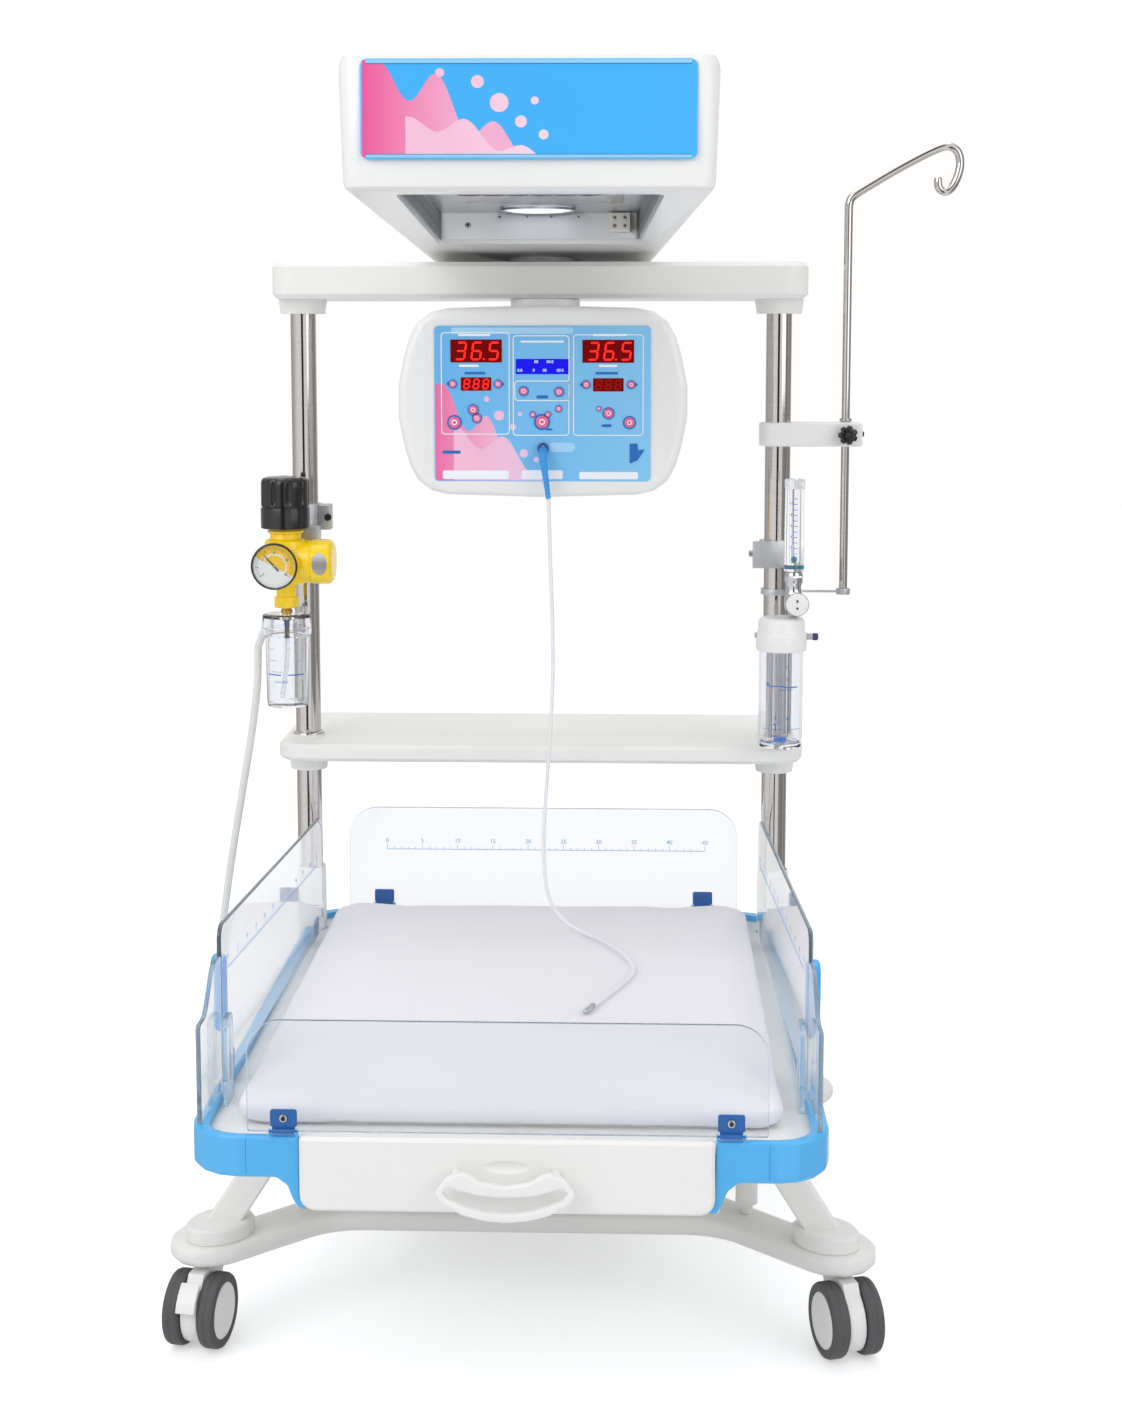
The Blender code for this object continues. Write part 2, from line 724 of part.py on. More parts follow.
def smooth_route(points, step):
    """Evenly spaced points on a smooth curve through a route's own points."""
    route = [Vector(point) for point in points]
    ends = [route[0] * 2 - route[1]] + route + [route[-1] * 2 - route[-2]]
    fine = []
    divisions = 24
    for a, b, c, d in zip(ends, ends[1:], ends[2:], ends[3:]):
        for i in range(divisions):
            t = i / divisions
            fine.append(0.5 * ((2 * b) + (c - a) * t + (2 * a - 5 * b + 4 * c - d) * t * t
                               + (3 * b - a - 3 * c + d) * t ** 3))
    fine.append(route[-1])
    lengths = [0.0]
    for here, there in zip(fine, fine[1:]):
        lengths.append(lengths[-1] + (there - here).length)
    count = max(2, round(lengths[-1] / step))
    even = []
    index = 0
    for i in range(count + 1):
        target = lengths[-1] * i / count
        while index < len(lengths) - 2 and lengths[index + 1] < target:
            index += 1
        span = lengths[index + 1] - lengths[index]
        share = (target - lengths[index]) / span if span > 0 else 0.0
        even.append(fine[index].lerp(fine[index + 1], min(1.0, share)))
    return even


def add_tube(name, points, diameter, look, carrier, resolution=2):
    """A curve object with a round bevel and filled caps along the points."""
    empty, matrix = CARRIERS[carrier]
    data = bpy.data.curves.new(name, "CURVE")
    data.dimensions = "3D"
    data.bevel_depth = diameter / 2
    data.bevel_resolution = resolution
    data.use_fill_caps = True
    data.render_resolution_u = 0
    spline = data.splines.new("POLY")
    spline.points.add(len(points) - 1)
    for point, place in zip(spline.points, points):
        point.co = (*(matrix.inverted() @ Vector(place)), 1.0)
    obj = bpy.data.objects.new(name, data)
    bpy.context.collection.objects.link(obj)
    obj.parent = empty
    obj.data.materials.append(finish(name, *look))
    return obj


def add_carriers():
    """Every joint's axis, named after its body."""
    add_carrier("root", (0, 0, 0))
    tilt = Matrix.Rotation(HOOD_YAW, 4, "Z")
    lean = Matrix.Rotation(-HOOD_TILT, 4, "X")
    add_carrier("hood", (0, HOOD_PIVOT_Y, HOOD_UNDERSIDE), "root", tilt)
    add_carrier("hood_case", (0, HOOD_PIVOT_Y, HOOD_UNDERSIDE), "hood", tilt @ lean)
    add_carrier("front_panel", (0, BED_FRONT, HINGE_HEIGHT), "root")
    add_carrier("rear_panel", (0, BED_REAR, HINGE_HEIGHT), "root")
    for side, name in ((-1, "left_panel"), (1, "right_panel")):
        turn = side_panel_turn(side)
        axis = Vector((side * SIDE_PANEL_REAR_X, SIDE_PANEL_REAR, HINGE_HEIGHT))
        axis += turn @ Vector((side * HINGE_OFFSET, 0, 0))
        add_carrier(name, axis, "root", turn)
    add_carrier("drawer", (0, DRAWER_FACE, HANDLE_CENTRE_Z), "root")
    turns = {"fl": -11, "fr": 17, "rl": 171, "rr": 190}
    for corner, degrees in turns.items():
        x = -PAD_X if corner[1] == "l" else PAD_X
        y = PAD_FRONT if corner[0] == "f" else PAD_REAR
        name = "caster_" + corner
        turn = Matrix.Rotation(math.radians(degrees), 4, "Z")
        add_carrier(name, (x, y, 0), "root", turn)
        axle = turn @ Vector((0, -CASTER_TRAIL, AXLE_HEIGHT)) + Vector((x, y, 0))
        add_carrier(name + "_wheels", axle, name, turn)
    turn = CARRIERS["caster_fl"][1]
    pin = turn @ Vector((0, *polar_about_axle(BRAKE_PIN_REACH, BRAKE_TOP_ANGLE)))
    add_carrier("caster_fl_brake", pin, "caster_fl", turn.to_3x3().to_4x4())
    add_carrier("vacuum_knob", (VACUUM_X, VACUUM_Y, KNOB_BOTTOM), "root")
    needle_y = gauge_face() + GAUGE_RECESS
    add_carrier("gauge_needle", (GAUGE_X, needle_y, GAUGE_Z), "root")
    add_carrier("flow_knob", (FLOW_KNOB_X, FLOW_Y - FLOW_BODY_DIAMETER / 2, FLOW_KNOB_Z), "root")
    add_carrier("flow_float", (FLOW_X, FLOW_Y, FLOW_TUBE_BOTTOM + FLOW_BORE_FLOOR), "root")
    add_carrier("iv_pole", (POLE_X, 0, POLE_BOTTOM), "root")
    knob_z = IV_BRACKET_BOTTOM + IV_BRACKET_HEIGHT / 2
    add_carrier("iv_knob", (POLE_X, -IV_BRACKET_HALF_DEPTH, knob_z), "root")


def side_panel_turn(side):
    toe = math.atan2(SIDE_PANEL_FRONT_X - SIDE_PANEL_REAR_X, SIDE_PANEL_REAR - SIDE_PANEL_FRONT)
    return Matrix.Rotation(side * toe, 4, "Z")


def polar_about_axle(reach, angle):
    """A (y, z) point in a caster's own frame, at an angle about the wheels' axle."""
    return (-CASTER_TRAIL + reach * math.cos(angle), AXLE_HEIGHT + reach * math.sin(angle))


def gauge_face():
    return VACUUM_Y - REGULATOR_BARREL_DIAMETER / 2 - GAUGE_DEPTH


def base_outline():
    """Four round pads on raking arms that run into a broad centre plate."""
    run = Vector((-math.cos(ARM_ANGLE), math.sin(ARM_ANGLE)))
    outward = Vector((-run.y, run.x))
    pad = Vector((PAD_X, PAD_FRONT))
    bar_front = PAD_FRONT + BAR_SETBACK
    front_start = pad + outward * PAD_RADIUS
    inner_start = pad - outward * ARM_INNER_OFFSET
    to_bar = (bar_front - front_start.y) / run.y
    bar_corner = front_start + run * to_bar
    to_waist = (inner_start.x - WAIST_HALF_WIDTH) / -run.x
    waist_corner = inner_start + run * to_waist
    half_chord = math.sqrt(PAD_RADIUS ** 2 - ARM_INNER_OFFSET ** 2)
    quarter = rounded([tuple(bar_corner - Vector((ARM_FILLET, 0))), tuple(bar_corner), tuple(front_start)],
                      [0, ARM_FILLET, 0], 4)
    start_turn = math.atan2(outward.y, outward.x)
    join = inner_start + run * half_chord
    end_turn = math.atan2(join.y - pad.y, join.x - pad.x)
    sweep = (end_turn - start_turn) % (2 * math.pi)
    steps = 9
    quarter += [tuple(pad + Vector((math.cos(start_turn + sweep * i / steps),
                                    math.sin(start_turn + sweep * i / steps))) * PAD_RADIUS)
                for i in range(1, steps + 1)]
    middle_y = (PAD_FRONT + PAD_REAR) / 2
    waist = [tuple(join), tuple(waist_corner), (waist_corner.x, middle_y)]
    quarter += rounded(waist, [0, WAIST_FILLET, 0], 3)[1:]
    rear = [(x, 2 * middle_y - y) for x, y in reversed(quarter[:-1])]
    right = quarter + rear
    left = [(-x, y) for x, y in reversed(right)]
    return right + left


def cup_matrix(side):
    """The strut cup's own frame: long axis along the arm, a little inboard of the pad's centre."""
    run = Vector((-side * math.cos(ARM_ANGLE), math.sin(ARM_ANGLE), 0))
    place = Vector((side * PAD_X, PAD_FRONT, 0)) + Vector((-side, 0, 0)) * CUP_INSET
    return Matrix.Translation(place) @ Matrix.Rotation(math.atan2(run.y, run.x), 4, "Z")


def make_base():
    base = add_piece("base_frame", slab(base_outline(), "XY", BASE_BOTTOM, BASE_TOP), (WHITE, 0.38), "root")
    add_bevel(base, BASE_EDGE)
    for side in (-1, 1):
        socket = rod(side * POST_X, 0, BASE_TOP - JOIN_DEPTH, SOCKET_TOP, SOCKET_DIAMETER, 20)
        add_tool(base, socket, "UNION")
        bore = rod(side * POST_X, 0, BASE_TOP, SOCKET_TOP + CUT_OVERRUN, POST_DIAMETER + SEAT_GAP * 2, 24)
        add_tool(base, bore)
    supports = bmesh.new()
    foot = BASE_TOP + SEAT_GAP
    for side in (-1, 1):
        matrix = cup_matrix(side)
        unit = circle(0, 0, 1, 16)
        cup = [[(x * (CUP_LENGTH / 2 - inset), y * (CUP_WIDTH / 2 - inset)) for x, y in unit]
               for inset in (0, 0, CUP_EDGE)]
        top = foot + CUP_HEIGHT
        part = stack([(cup[0], foot), (cup[1], top - CUP_EDGE), (cup[2], top)], "XY")
        bmesh.ops.transform(part, matrix=matrix, verts=part.verts)
        part_data = bpy.data.meshes.new("cup")
        part.to_mesh(part_data)
        part.free()
        supports.from_mesh(part_data)
        bpy.data.meshes.remove(part_data)
        spigot, tube = COLUMN_SPIGOT_DIAMETER / 2, COLUMN_DIAMETER / 2
        shoulder = foot + COLUMN_SPIGOT_HEIGHT
        column = [(spigot, foot), (spigot, shoulder), (tube, shoulder), (tube, CHANNEL_BOTTOM + JOIN_DEPTH)]
        turned(column, 16, (side * COLUMN_X, COLUMN_Y, 0), mesh=supports)
    node = add_piece("bed_supports", supports, (WHITE, 0.38), "root")
    for side in (-1, 1):
        add_tool(node, strut(side), "UNION")
    return node


def strut(side):
    """A flat bar that rakes inward from the cup to the bed's channel."""
    low = BASE_TOP + CUP_HEIGHT / 2
    high = CHANNEL_BOTTOM + JOIN_DEPTH
    rise = high - low
    foot = Vector((side * (PAD_X - CUP_INSET), PAD_FRONT, low))
    head = foot + Vector((-side * STRUT_IN_SHARE, STRUT_BACK_SHARE, 1)) * rise
    half_width = STRUT_WIDTH / 2 / math.cos(math.atan(STRUT_IN_SHARE))
    half_depth = STRUT_THICKNESS / 2
    levels = []
    for centre in (foot, head):
        outline = rounded_box_outline(centre.x - half_width, centre.x + half_width, centre.y - half_depth,
                                      centre.y + half_depth, STRUT_EDGE, 1)
        levels.append((outline, centre.z))
    return stack(levels, "XY")


def make_caster(corner):
    """A swivelling centre housing with a wheel on each side of it, on one axle."""
    name = "caster_" + corner
    half = HOUSING_WIDTH / 2
    top = BASE_BOTTOM - SEAT_GAP
    shoulder = top - STEM_HEIGHT
    arc = [polar_about_axle(HOUSING_DIAMETER / 2, math.radians(118 + 228 * i / 16)) for i in range(17)]
    profile = arc + [(NECK_FRONT, shoulder - NECK_FRONT), (NECK_FRONT, shoulder), (NECK_REAR, shoulder)]
    housing = slab(profile, "YZ", -half, half)
    node = add_piece(name + "_housing", housing, (WHITE, 0.40), name, local=True)
    add_tool(node, rod(0, 0, shoulder - CUT_OVERRUN, top, STEM_DIAMETER), "UNION", local=True)
    bore = AXLE_DIAMETER / 2 + SEAT_GAP
    add_tool(node, turned([(bore, -half - CUT_OVERRUN), (bore, half + CUT_OVERRUN)], 16,
                          (0, -CASTER_TRAIL, AXLE_HEIGHT), "X"), local=True)
    make_wheels(name)


def wheel_profile():
    """The half section of both wheels and their axle, from the left face to the right."""
    outer = WHEEL_PITCH / 2 + WHEEL_WIDTH / 2
    inner = WHEEL_PITCH / 2 - WHEEL_WIDTH / 2
    side = [(0, outer), (WHEEL_RADIUS - WHEEL_SHOULDER, outer), (WHEEL_RADIUS, outer - WHEEL_SHOULDER),
            (WHEEL_RADIUS, inner), (AXLE_DIAMETER / 2, inner)]
    return [(r, -x) for r, x in side] + [(r, x) for r, x in reversed(side)]


def make_wheels(name):
    wheels = turned(wheel_profile(), WHEEL_SIDES, (0, 0, 0), "X")
    flat = Matrix.Rotation(math.pi / WHEEL_SIDES, 4, "X")
    bmesh.ops.transform(wheels, matrix=flat, verts=wheels.verts)
    add_piece(name + "_tyres", wheels, ((0.09, 0.09, 0.09), 0.65), name + "_wheels", local=True)


def make_brake():
    """The front-left caster's foot lever: a curved plate outside the wheels, on a hinged tongue."""
    half = BRAKE_WIDTH / 2
    outer = BRAKE_REACH + BRAKE_THICKNESS
    steps = 6
    sweep = BRAKE_TIP_ANGLE - BRAKE_TOP_ANGLE
    angles = [BRAKE_TOP_ANGLE + sweep * i / steps for i in range(steps + 1)]
    outline = [polar_about_axle(BRAKE_REACH, angle) for angle in angles]
    outline += [polar_about_axle(outer, angle) for angle in reversed(angles)]
    plate = slab(outline, "YZ", -half, half)
    pin_y, pin_z = polar_about_axle(BRAKE_PIN_REACH, BRAKE_TOP_ANGLE)
    bmesh.ops.translate(plate, verts=plate.verts, vec=(0, -pin_y, -pin_z))
    lever = add_piece("caster_fl_brake", plate, ((0.88, 0.88, 0.87), 0.38), "caster_fl_brake", local=True)
    near = HOUSING_DIAMETER / 2 + SEAT_GAP * 2
    sweep = BRAKE_TONGUE_ANGLE - BRAKE_TOP_ANGLE
    angles = [BRAKE_TOP_ANGLE + sweep * i / 3 for i in range(4)]
    outline = [polar_about_axle(near, angle) for angle in angles]
    outline += [polar_about_axle(BRAKE_REACH + JOIN_DEPTH, angle) for angle in reversed(angles)]
    tongue = slab(outline, "YZ", -BRAKE_TONGUE_WIDTH / 2, BRAKE_TONGUE_WIDTH / 2)
    bmesh.ops.translate(tongue, verts=tongue.verts, vec=(0, -pin_y, -pin_z))
    add_tool(lever, tongue, "UNION", local=True)


def bed_outline(inset, steps=4):
    front = BED_FRONT + inset * FRONT_RIM_SHARE
    return rounded_box_outline(-BED_HALF_WIDTH + inset, BED_HALF_WIDTH - inset, front, BED_REAR - inset,
                               max(BED_CORNER - inset, DECK_WALL), steps)


def make_bumpers():
    """The moulded blue edge in three lengths that stop at the post sockets, with ears for the hinges."""
    deep = BUMPER_TOP_WIDTH
    ledge = DECK_TOP + SEAT_GAP
    soft = BUMPER_ROUND
    profile = [(0, BUMPER_BOTTOM + soft), (soft, BUMPER_BOTTOM), (BUMPER_WALL, BUMPER_BOTTOM),
               (BUMPER_WALL, ledge),
               (deep, ledge), (deep, BUMPER_TOP), (soft, BUMPER_TOP),
               (soft * 0.3, BUMPER_TOP - soft * 0.3), (0, BUMPER_TOP - soft)]
    over = CUT_OVERRUN
    low, high = BUMPER_BOTTOM - over, BUMPER_TOP + over
    wide, front, rear = BED_HALF_WIDTH + over, BED_FRONT - over, BED_REAR + over
    opening = DRAWER_HALF_WIDTH + RUN_GAP
    reach = SOCKET_DIAMETER / 2 + RUN_GAP
    hole = HINGE_BORE_DIAMETER / 2
    for name, side in (("bumper_left", -1), ("bumper_right", 1), ("bumper_rear", 0)):
        node = add_piece(name, sweep_ring(bed_outline, profile), (BLUE, 0.30), "root")
        if side == 0:
            add_tool(node, box((-wide, front, low), (wide, reach, high)))
        else:
            across = sorted((side * opening, -side * wide))
            add_tool(node, box((across[0], front, low), (across[1], rear, high)))
            add_tool(node, box((-wide, -reach, low), (wide, rear, high)))
            add_tool(node, bumper_tail(side), "UNION")
            pitch = BRACKET_WIDTH / 2 + SEAT_GAP + LUG_THICKNESS / 2
            for place in side_bracket_places():
                for hand in (-1, 1):
                    add_tool(node, side_lug(side, place + hand * pitch), "UNION")
            panel = "left_panel" if side < 0 else "right_panel"
            bore = turned([(hole, -side_panel_length()), (hole, 0)], 8, (0, 0, 0), "Y")
            bmesh.ops.transform(bore, matrix=CARRIERS[panel][1], verts=bore.verts)
            add_tool(node, bore)
        for place_x, place_y in lug_places():
            if place_x * side > 0 and place_y == BED_FRONT or side == 0 and place_y == BED_REAR:
                add_tool(node, lug(place_x, place_y), "UNION")
        hinge_y = BED_REAR if side == 0 else BED_FRONT
        bore = turned([(hole, -BED_HALF_WIDTH), (hole, BED_HALF_WIDTH)], 8, (0, hinge_y, HINGE_HEIGHT), "X")
        add_tool(node, bore)


def bumper_tail(side):
    """The front cap's tail, which follows the drawer's rounded lower corner."""
    inner = DRAWER_HALF_WIDTH + RUN_GAP
    corner = DRAWER_CORNER
    tip = DRAWER_BOTTOM
    arc = [(inner - corner + corner * math.cos(a), tip + corner + corner * math.sin(a))
           for a in [math.radians(-75 + 75 * i / 4) for i in range(5)]]
    wide = inner + BUMPER_TAIL_WIDTH
    drop = BUMPER_BOTTOM + BUMPER_ROUND
    outer = [(wide + BUMPER_TAIL_WIDTH * 1.6, drop), (wide + BUMPER_TAIL_WIDTH * 0.8, drop - BUMPER_ROUND),
             (wide, drop - BUMPER_ROUND * 2.6), (wide - BUMPER_TAIL_WIDTH * 0.35, drop - BUMPER_ROUND * 5),
             (wide - BUMPER_TAIL_WIDTH * 0.9, tip)]
    outline = [(arc[0][0], tip)] + arc + [(inner, drop)] + outer
    points = [(side * x, z) for x, z in outline]
    if side < 0:
        points.reverse()
    return slab(points, "XZ", BED_FRONT, BED_FRONT + BUMPER_WALL * FRONT_RIM_SHARE)


def lug_places():
    pitch = BRACKET_WIDTH / 2 + SEAT_GAP + LUG_THICKNESS / 2
    places = []
    for side in (-1, 1):
        for hand in (-1, 1):
            places.append((side * FRONT_BRACKET_X + hand * pitch, BED_FRONT))
            places.append((side * REAR_BRACKET_X + hand * pitch, BED_REAR))
    return places


def lug(x, y):
    """A small upright ear, rounded over the hinge axis, that grows from the bumper's top."""
    inward = 1 if y < 0 else -1
    root = BUMPER_TOP - BUMPER_ROUND
    outline = [(y, root), (y + inward * HINGE_RADIUS, root)]
    outline += [(y + inward * HINGE_RADIUS * math.sin(a), HINGE_HEIGHT + HINGE_RADIUS * math.cos(a))
                for a in [math.radians(90 - 60 * i) for i in range(4)]]
    if inward < 0:
        outline.reverse()
    return slab(outline, "YZ", x - LUG_THICKNESS / 2, x + LUG_THICKNESS / 2)


def side_bracket_places():
    """Distances of the two brackets along the side panel's hinge axis from its rear end."""
    lean = math.cos(side_panel_turn(1).to_euler().z)
    return [(y - SIDE_PANEL_REAR) / lean for y in (SIDE_BRACKET_REAR, SIDE_BRACKET_FRONT)]


def side_lug(side, along):
    """An ear for a side panel's hinge, in the panel's own frame; it grows from the bumper's side."""
    name = "left_panel" if side < 0 else "right_panel"
    matrix = CARRIERS[name][1]
    axis_x = abs((matrix @ Vector((0, along, 0))).x)
    rim = BED_HALF_WIDTH - BUMPER_TOP_WIDTH + RUN_GAP
    root = BUMPER_TOP - BUMPER_ROUND - HINGE_HEIGHT
    inner = max(-HINGE_RADIUS, rim - axis_x)
    outer = inner + HINGE_RADIUS * 3
    top = BUMPER_TOP + SEAT_GAP - HINGE_HEIGHT
    outline = [(inner, root), (outer, root), (outer, top)]
    outline += [(HINGE_RADIUS * math.cos(a), HINGE_RADIUS * math.sin(a))
                for a in [math.radians(60 * i) for i in range(4)]]
    if inner <= -HINGE_RADIUS:
        outline.append((inner, top))
    points = [(side * x, z) for x, z in outline]
    if side < 0:
        points.reverse()
    ear = slab(points, "XZ", along - LUG_THICKNESS / 2, along + LUG_THICKNESS / 2)
    bmesh.ops.transform(ear, matrix=matrix, verts=ear.verts)
    return ear


def make_deck():
    """A white tray: top plate, skirt, mattress platform, drawer housing and runners in one moulding."""
    inset = BUMPER_WALL + SEAT_GAP
    low = DECK_TOP - DECK_SKIRT
    under = DECK_TOP - DECK_THICKNESS
    deck = add_piece("bed_deck", slab(bed_outline(inset), "XY", low, DECK_TOP), (WHITE, 0.42), "root")
    add_tool(deck, slab(bed_outline(inset + DECK_WALL), "XY", low - CUT_OVERRUN, under))
    opening = DRAWER_HALF_WIDTH + RUN_GAP
    mouth = BED_FRONT + inset + DECK_WALL * 2
    add_tool(deck, box((-opening, BED_FRONT, low - CUT_OVERRUN), (opening, mouth, under)))
    front = BED_FRONT + inset * FRONT_RIM_SHARE
    for side in (-1, 1):
        wall = sorted((side * opening, side * (opening + DECK_WALL)))
        rear = DRAWER_FACE_BACK + DRAWER_DEPTH + DECK_WALL
        housing = box((wall[0], front, DRAWER_BOTTOM - SEAT_GAP), (wall[1], rear, under + SEAT_GAP))
        add_tool(deck, housing, "UNION")
        across = sorted((side * (opening - RUNNER_WIDTH), side * (opening + SEAT_GAP)))
        runner_top = RUNNER_HEIGHT + RUNNER_THICKNESS
        runner = box((across[0], front + DECK_WALL, RUNNER_HEIGHT), (across[1], rear, runner_top))
        add_tool(deck, runner, "UNION")
        reach = SOCKET_DIAMETER / 2 + SEAT_GAP
        add_tool(deck, rod(side * POST_X, 0, low - CUT_OVERRUN, DECK_TOP + CUT_OVERRUN, reach * 2, 28))
    half = MATTRESS_WIDTH / 2 - PLATFORM_INSET
    platform = rounded_box_outline(-half, half, MATTRESS_FRONT + PLATFORM_INSET,
                                   MATTRESS_FRONT + MATTRESS_LENGTH - PLATFORM_INSET, PLATFORM_INSET)
    add_tool(deck, slab(platform, "XY", DECK_TOP - SEAT_GAP, DECK_TOP + PLATFORM_HEIGHT), "UNION")


def add_channels(supports):
    """Two steel channels under the deck, with a cross member and tabs to the post sockets."""
    inner = DRAWER_HALF_WIDTH + RUN_GAP + DECK_WALL + SEAT_GAP
    outer = inner + CHANNEL_WIDTH
    top = DECK_TOP - DECK_THICKNESS - SEAT_GAP
    tab_top = CHANNEL_BOTTOM + CHANNEL_TAB_HEIGHT
    reach = POST_X - SOCKET_DIAMETER / 2 - SEAT_GAP
    for side in (-1, 1):
        across = sorted((side * inner, side * outer))
        channel = box((across[0], CHANNEL_FRONT, CHANNEL_BOTTOM), (across[1], CHANNEL_REAR, top))
        add_tool(supports, channel, "UNION")
        across = sorted((side * (outer - JOIN_DEPTH), side * reach))
        tab = box((across[0], -CHANNEL_REAR, CHANNEL_BOTTOM + JOIN_DEPTH),
                  (across[1], CHANNEL_REAR - JOIN_DEPTH, tab_top))
        add_tool(supports, tab, "UNION")
    middle = box((-inner - JOIN_DEPTH, CROSS_MEMBER_FRONT, CHANNEL_BOTTOM + JOIN_DEPTH),
                 (inner + JOIN_DEPTH, CROSS_MEMBER_FRONT + CROSS_MEMBER_WIDTH, tab_top))
    add_tool(supports, middle, "UNION")


def make_drawer():
    half = DRAWER_HALF_WIDTH
    edge = DRAWER_FACE_EDGE
    outline = rounded_box_outline(-half, half, DRAWER_BOTTOM, DRAWER_TOP,
                                  [DRAWER_CORNER] * 2 + [DRAWER_TOP_CORNER] * 2, 5)
    small = rounded_box_outline(-half + edge, half - edge, DRAWER_BOTTOM + edge, DRAWER_TOP - edge,
                                [DRAWER_CORNER - edge] * 2 + [DRAWER_TOP_CORNER / 4] * 2, 5)
    face = stack([(outline, DRAWER_FACE_BACK), (outline, DRAWER_FACE + edge), (small, DRAWER_FACE)], "XZ")
    drawer = add_piece("drawer", face, (WHITE, 0.40), "drawer")
    side = half - DRAWER_SIDE_INSET
    floor = DRAWER_BOTTOM + DRAWER_FLOOR_LIFT
    top = floor + DRAWER_BOX_HEIGHT
    rear = DRAWER_FACE_BACK + DRAWER_DEPTH - RUN_GAP
    add_tool(drawer, box((-side, DRAWER_FACE_BACK - SEAT_GAP, floor), (side, rear, top)), "UNION")
    flange = RUNNER_HEIGHT + RUNNER_THICKNESS + SEAT_GAP
    flange_front = DRAWER_FACE_BACK + RUN_GAP + DECK_WALL
    add_tool(drawer, box((-half + SEAT_GAP, flange_front, flange), (half - SEAT_GAP, rear, top)), "UNION")
    wall = DRAWER_WALL
    add_tool(drawer, box((-side + wall, DRAWER_FACE_BACK + wall, floor + wall),
                         (side - wall, rear - wall, top + CUT_OVERRUN)))
    make_handle()


def handle_outline(half_length, height, lift):
    """A crescent: the lower edge is a deep bow, the upper edge a shallow one with rounded horns."""
    shares = [(-1.0, 0.02), (-0.86, 0.28), (-0.64, 0.40), (-0.52, 0.36), (-0.36, 0.22), (0.0, 0.14),
              (0.36, 0.22), (0.52, 0.36), (0.64, 0.40), (0.86, 0.28), (1.0, 0.02), (0.92, -0.16),
              (0.62, -0.38), (0.32, -0.48), (0.0, -0.52), (-0.32, -0.48), (-0.62, -0.38), (-0.92, -0.16)]
    return [(x * half_length, lift + z * height) for x, z in shares]


def handle_hole(half_length, height, lift):
    shares = [(-0.90, 0.05), (-0.82, 0.14), (-0.40, -0.01), (0.0, -0.05), (0.40, -0.01), (0.82, 0.14),
              (0.90, 0.05), (0.82, -0.10), (0.55, -0.25), (0.28, -0.34), (0.0, -0.37), (-0.28, -0.34),
              (-0.55, -0.25), (-0.82, -0.10)]
    return [(x * half_length, lift + z * height) for x, z in shares]


def make_handle():
    """A crescent pull that stands off the drawer's face on two short feet."""
    back = DRAWER_FACE - HANDLE_STANDOFF
    front = back - HANDLE_THICKNESS
    outer = handle_outline(HANDLE_HALF_LENGTH, HANDLE_HEIGHT, HANDLE_CENTRE_Z)
    handle = add_piece("drawer_handle", slab(outer, "XZ", front, back), (WHITE, 0.32), "drawer")
    hole = handle_hole(HANDLE_HALF_LENGTH, HANDLE_HEIGHT, HANDLE_CENTRE_Z)
    add_tool(handle, slab(hole, "XZ", front - CUT_OVERRUN, back + CUT_OVERRUN))
    for side in (-1, 1):
        place = (side * HANDLE_HALF_LENGTH * 0.72, 0, HANDLE_CENTRE_Z + HANDLE_HEIGHT * 0.26)
        bar = HANDLE_FOOT_DIAMETER / 2
        foot = turned([(bar, back - CUT_OVERRUN), (bar, DRAWER_FACE - SEAT_GAP)], 16, place, "Y")
        add_tool(handle, foot, "UNION")


def make_mattress():
    """A sheeted cushion with a low crown, rounded edges and sides drawn in between the corners."""
    half_w = MATTRESS_WIDTH / 2
    half_l = MATTRESS_LENGTH / 2
    middle_y = MATTRESS_FRONT + half_l
    edge_top = MATTRESS_BOTTOM + MATTRESS_THICKNESS
    across, along = 10, 14
    mesh = bmesh.new()

    def place(u, v, inset):
        draw_u = MATTRESS_DRAW_IN * (1 - v * v)
        draw_v = MATTRESS_DRAW_IN * (1 - u * u)
        corner = MATTRESS_CORNER * 0.3 * (u * u * v * v) ** 6
        return ((half_w - inset - draw_u * u * u - corner) * u,
                middle_y + (half_l - inset - draw_v * v * v - corner) * v)

    def rounded_share(index, count):
        return math.sin((index / count - 0.5) * math.pi * 0.96) / math.sin(math.pi * 0.48)

    top = {}
    for i in range(across + 1):
        for j in range(along + 1):
            u, v = rounded_share(i, across), rounded_share(j, along)
            x, y = place(u, v, MATTRESS_ROUND)
            height = edge_top + MATTRESS_CROWN * (1 - u ** 4) * (1 - v ** 4)
            top[i, j] = mesh.verts.new((x, y, height))
    for i in range(across):
        for j in range(along):
            mesh.faces.new((top[i, j], top[i + 1, j], top[i + 1, j + 1], top[i, j + 1]))
    rim = [(i, 0) for i in range(across)] + [(across, j) for j in range(along)]
    rim += [(across - i, along) for i in range(across)] + [(0, along - j) for j in range(along)]
    loops = [[top[key] for key in rim]]
    soft = MATTRESS_ROUND
    section = ((soft * 0.3, edge_top - soft * 0.4), (0, edge_top - soft * 1.3),
               (soft * 0.2, MATTRESS_BOTTOM + soft * 0.6), (soft, MATTRESS_BOTTOM))
    for inset, height in section:
        loop = []
        for i, j in rim:
            x, y = place(rounded_share(i, across), rounded_share(j, along), inset)
            loop.append(mesh.verts.new((x, y, height)))
        loops.append(loop)
    for upper, lower in zip(loops, loops[1:]):
        for k in range(len(rim)):
            n = (k + 1) % len(rim)
            mesh.faces.new((upper[k], lower[k], lower[n], upper[n]))
    mesh.faces.new(loops[-1])
    add_piece("mattress", mesh, ((0.88, 0.87, 0.92), 0.85), "root", 60)


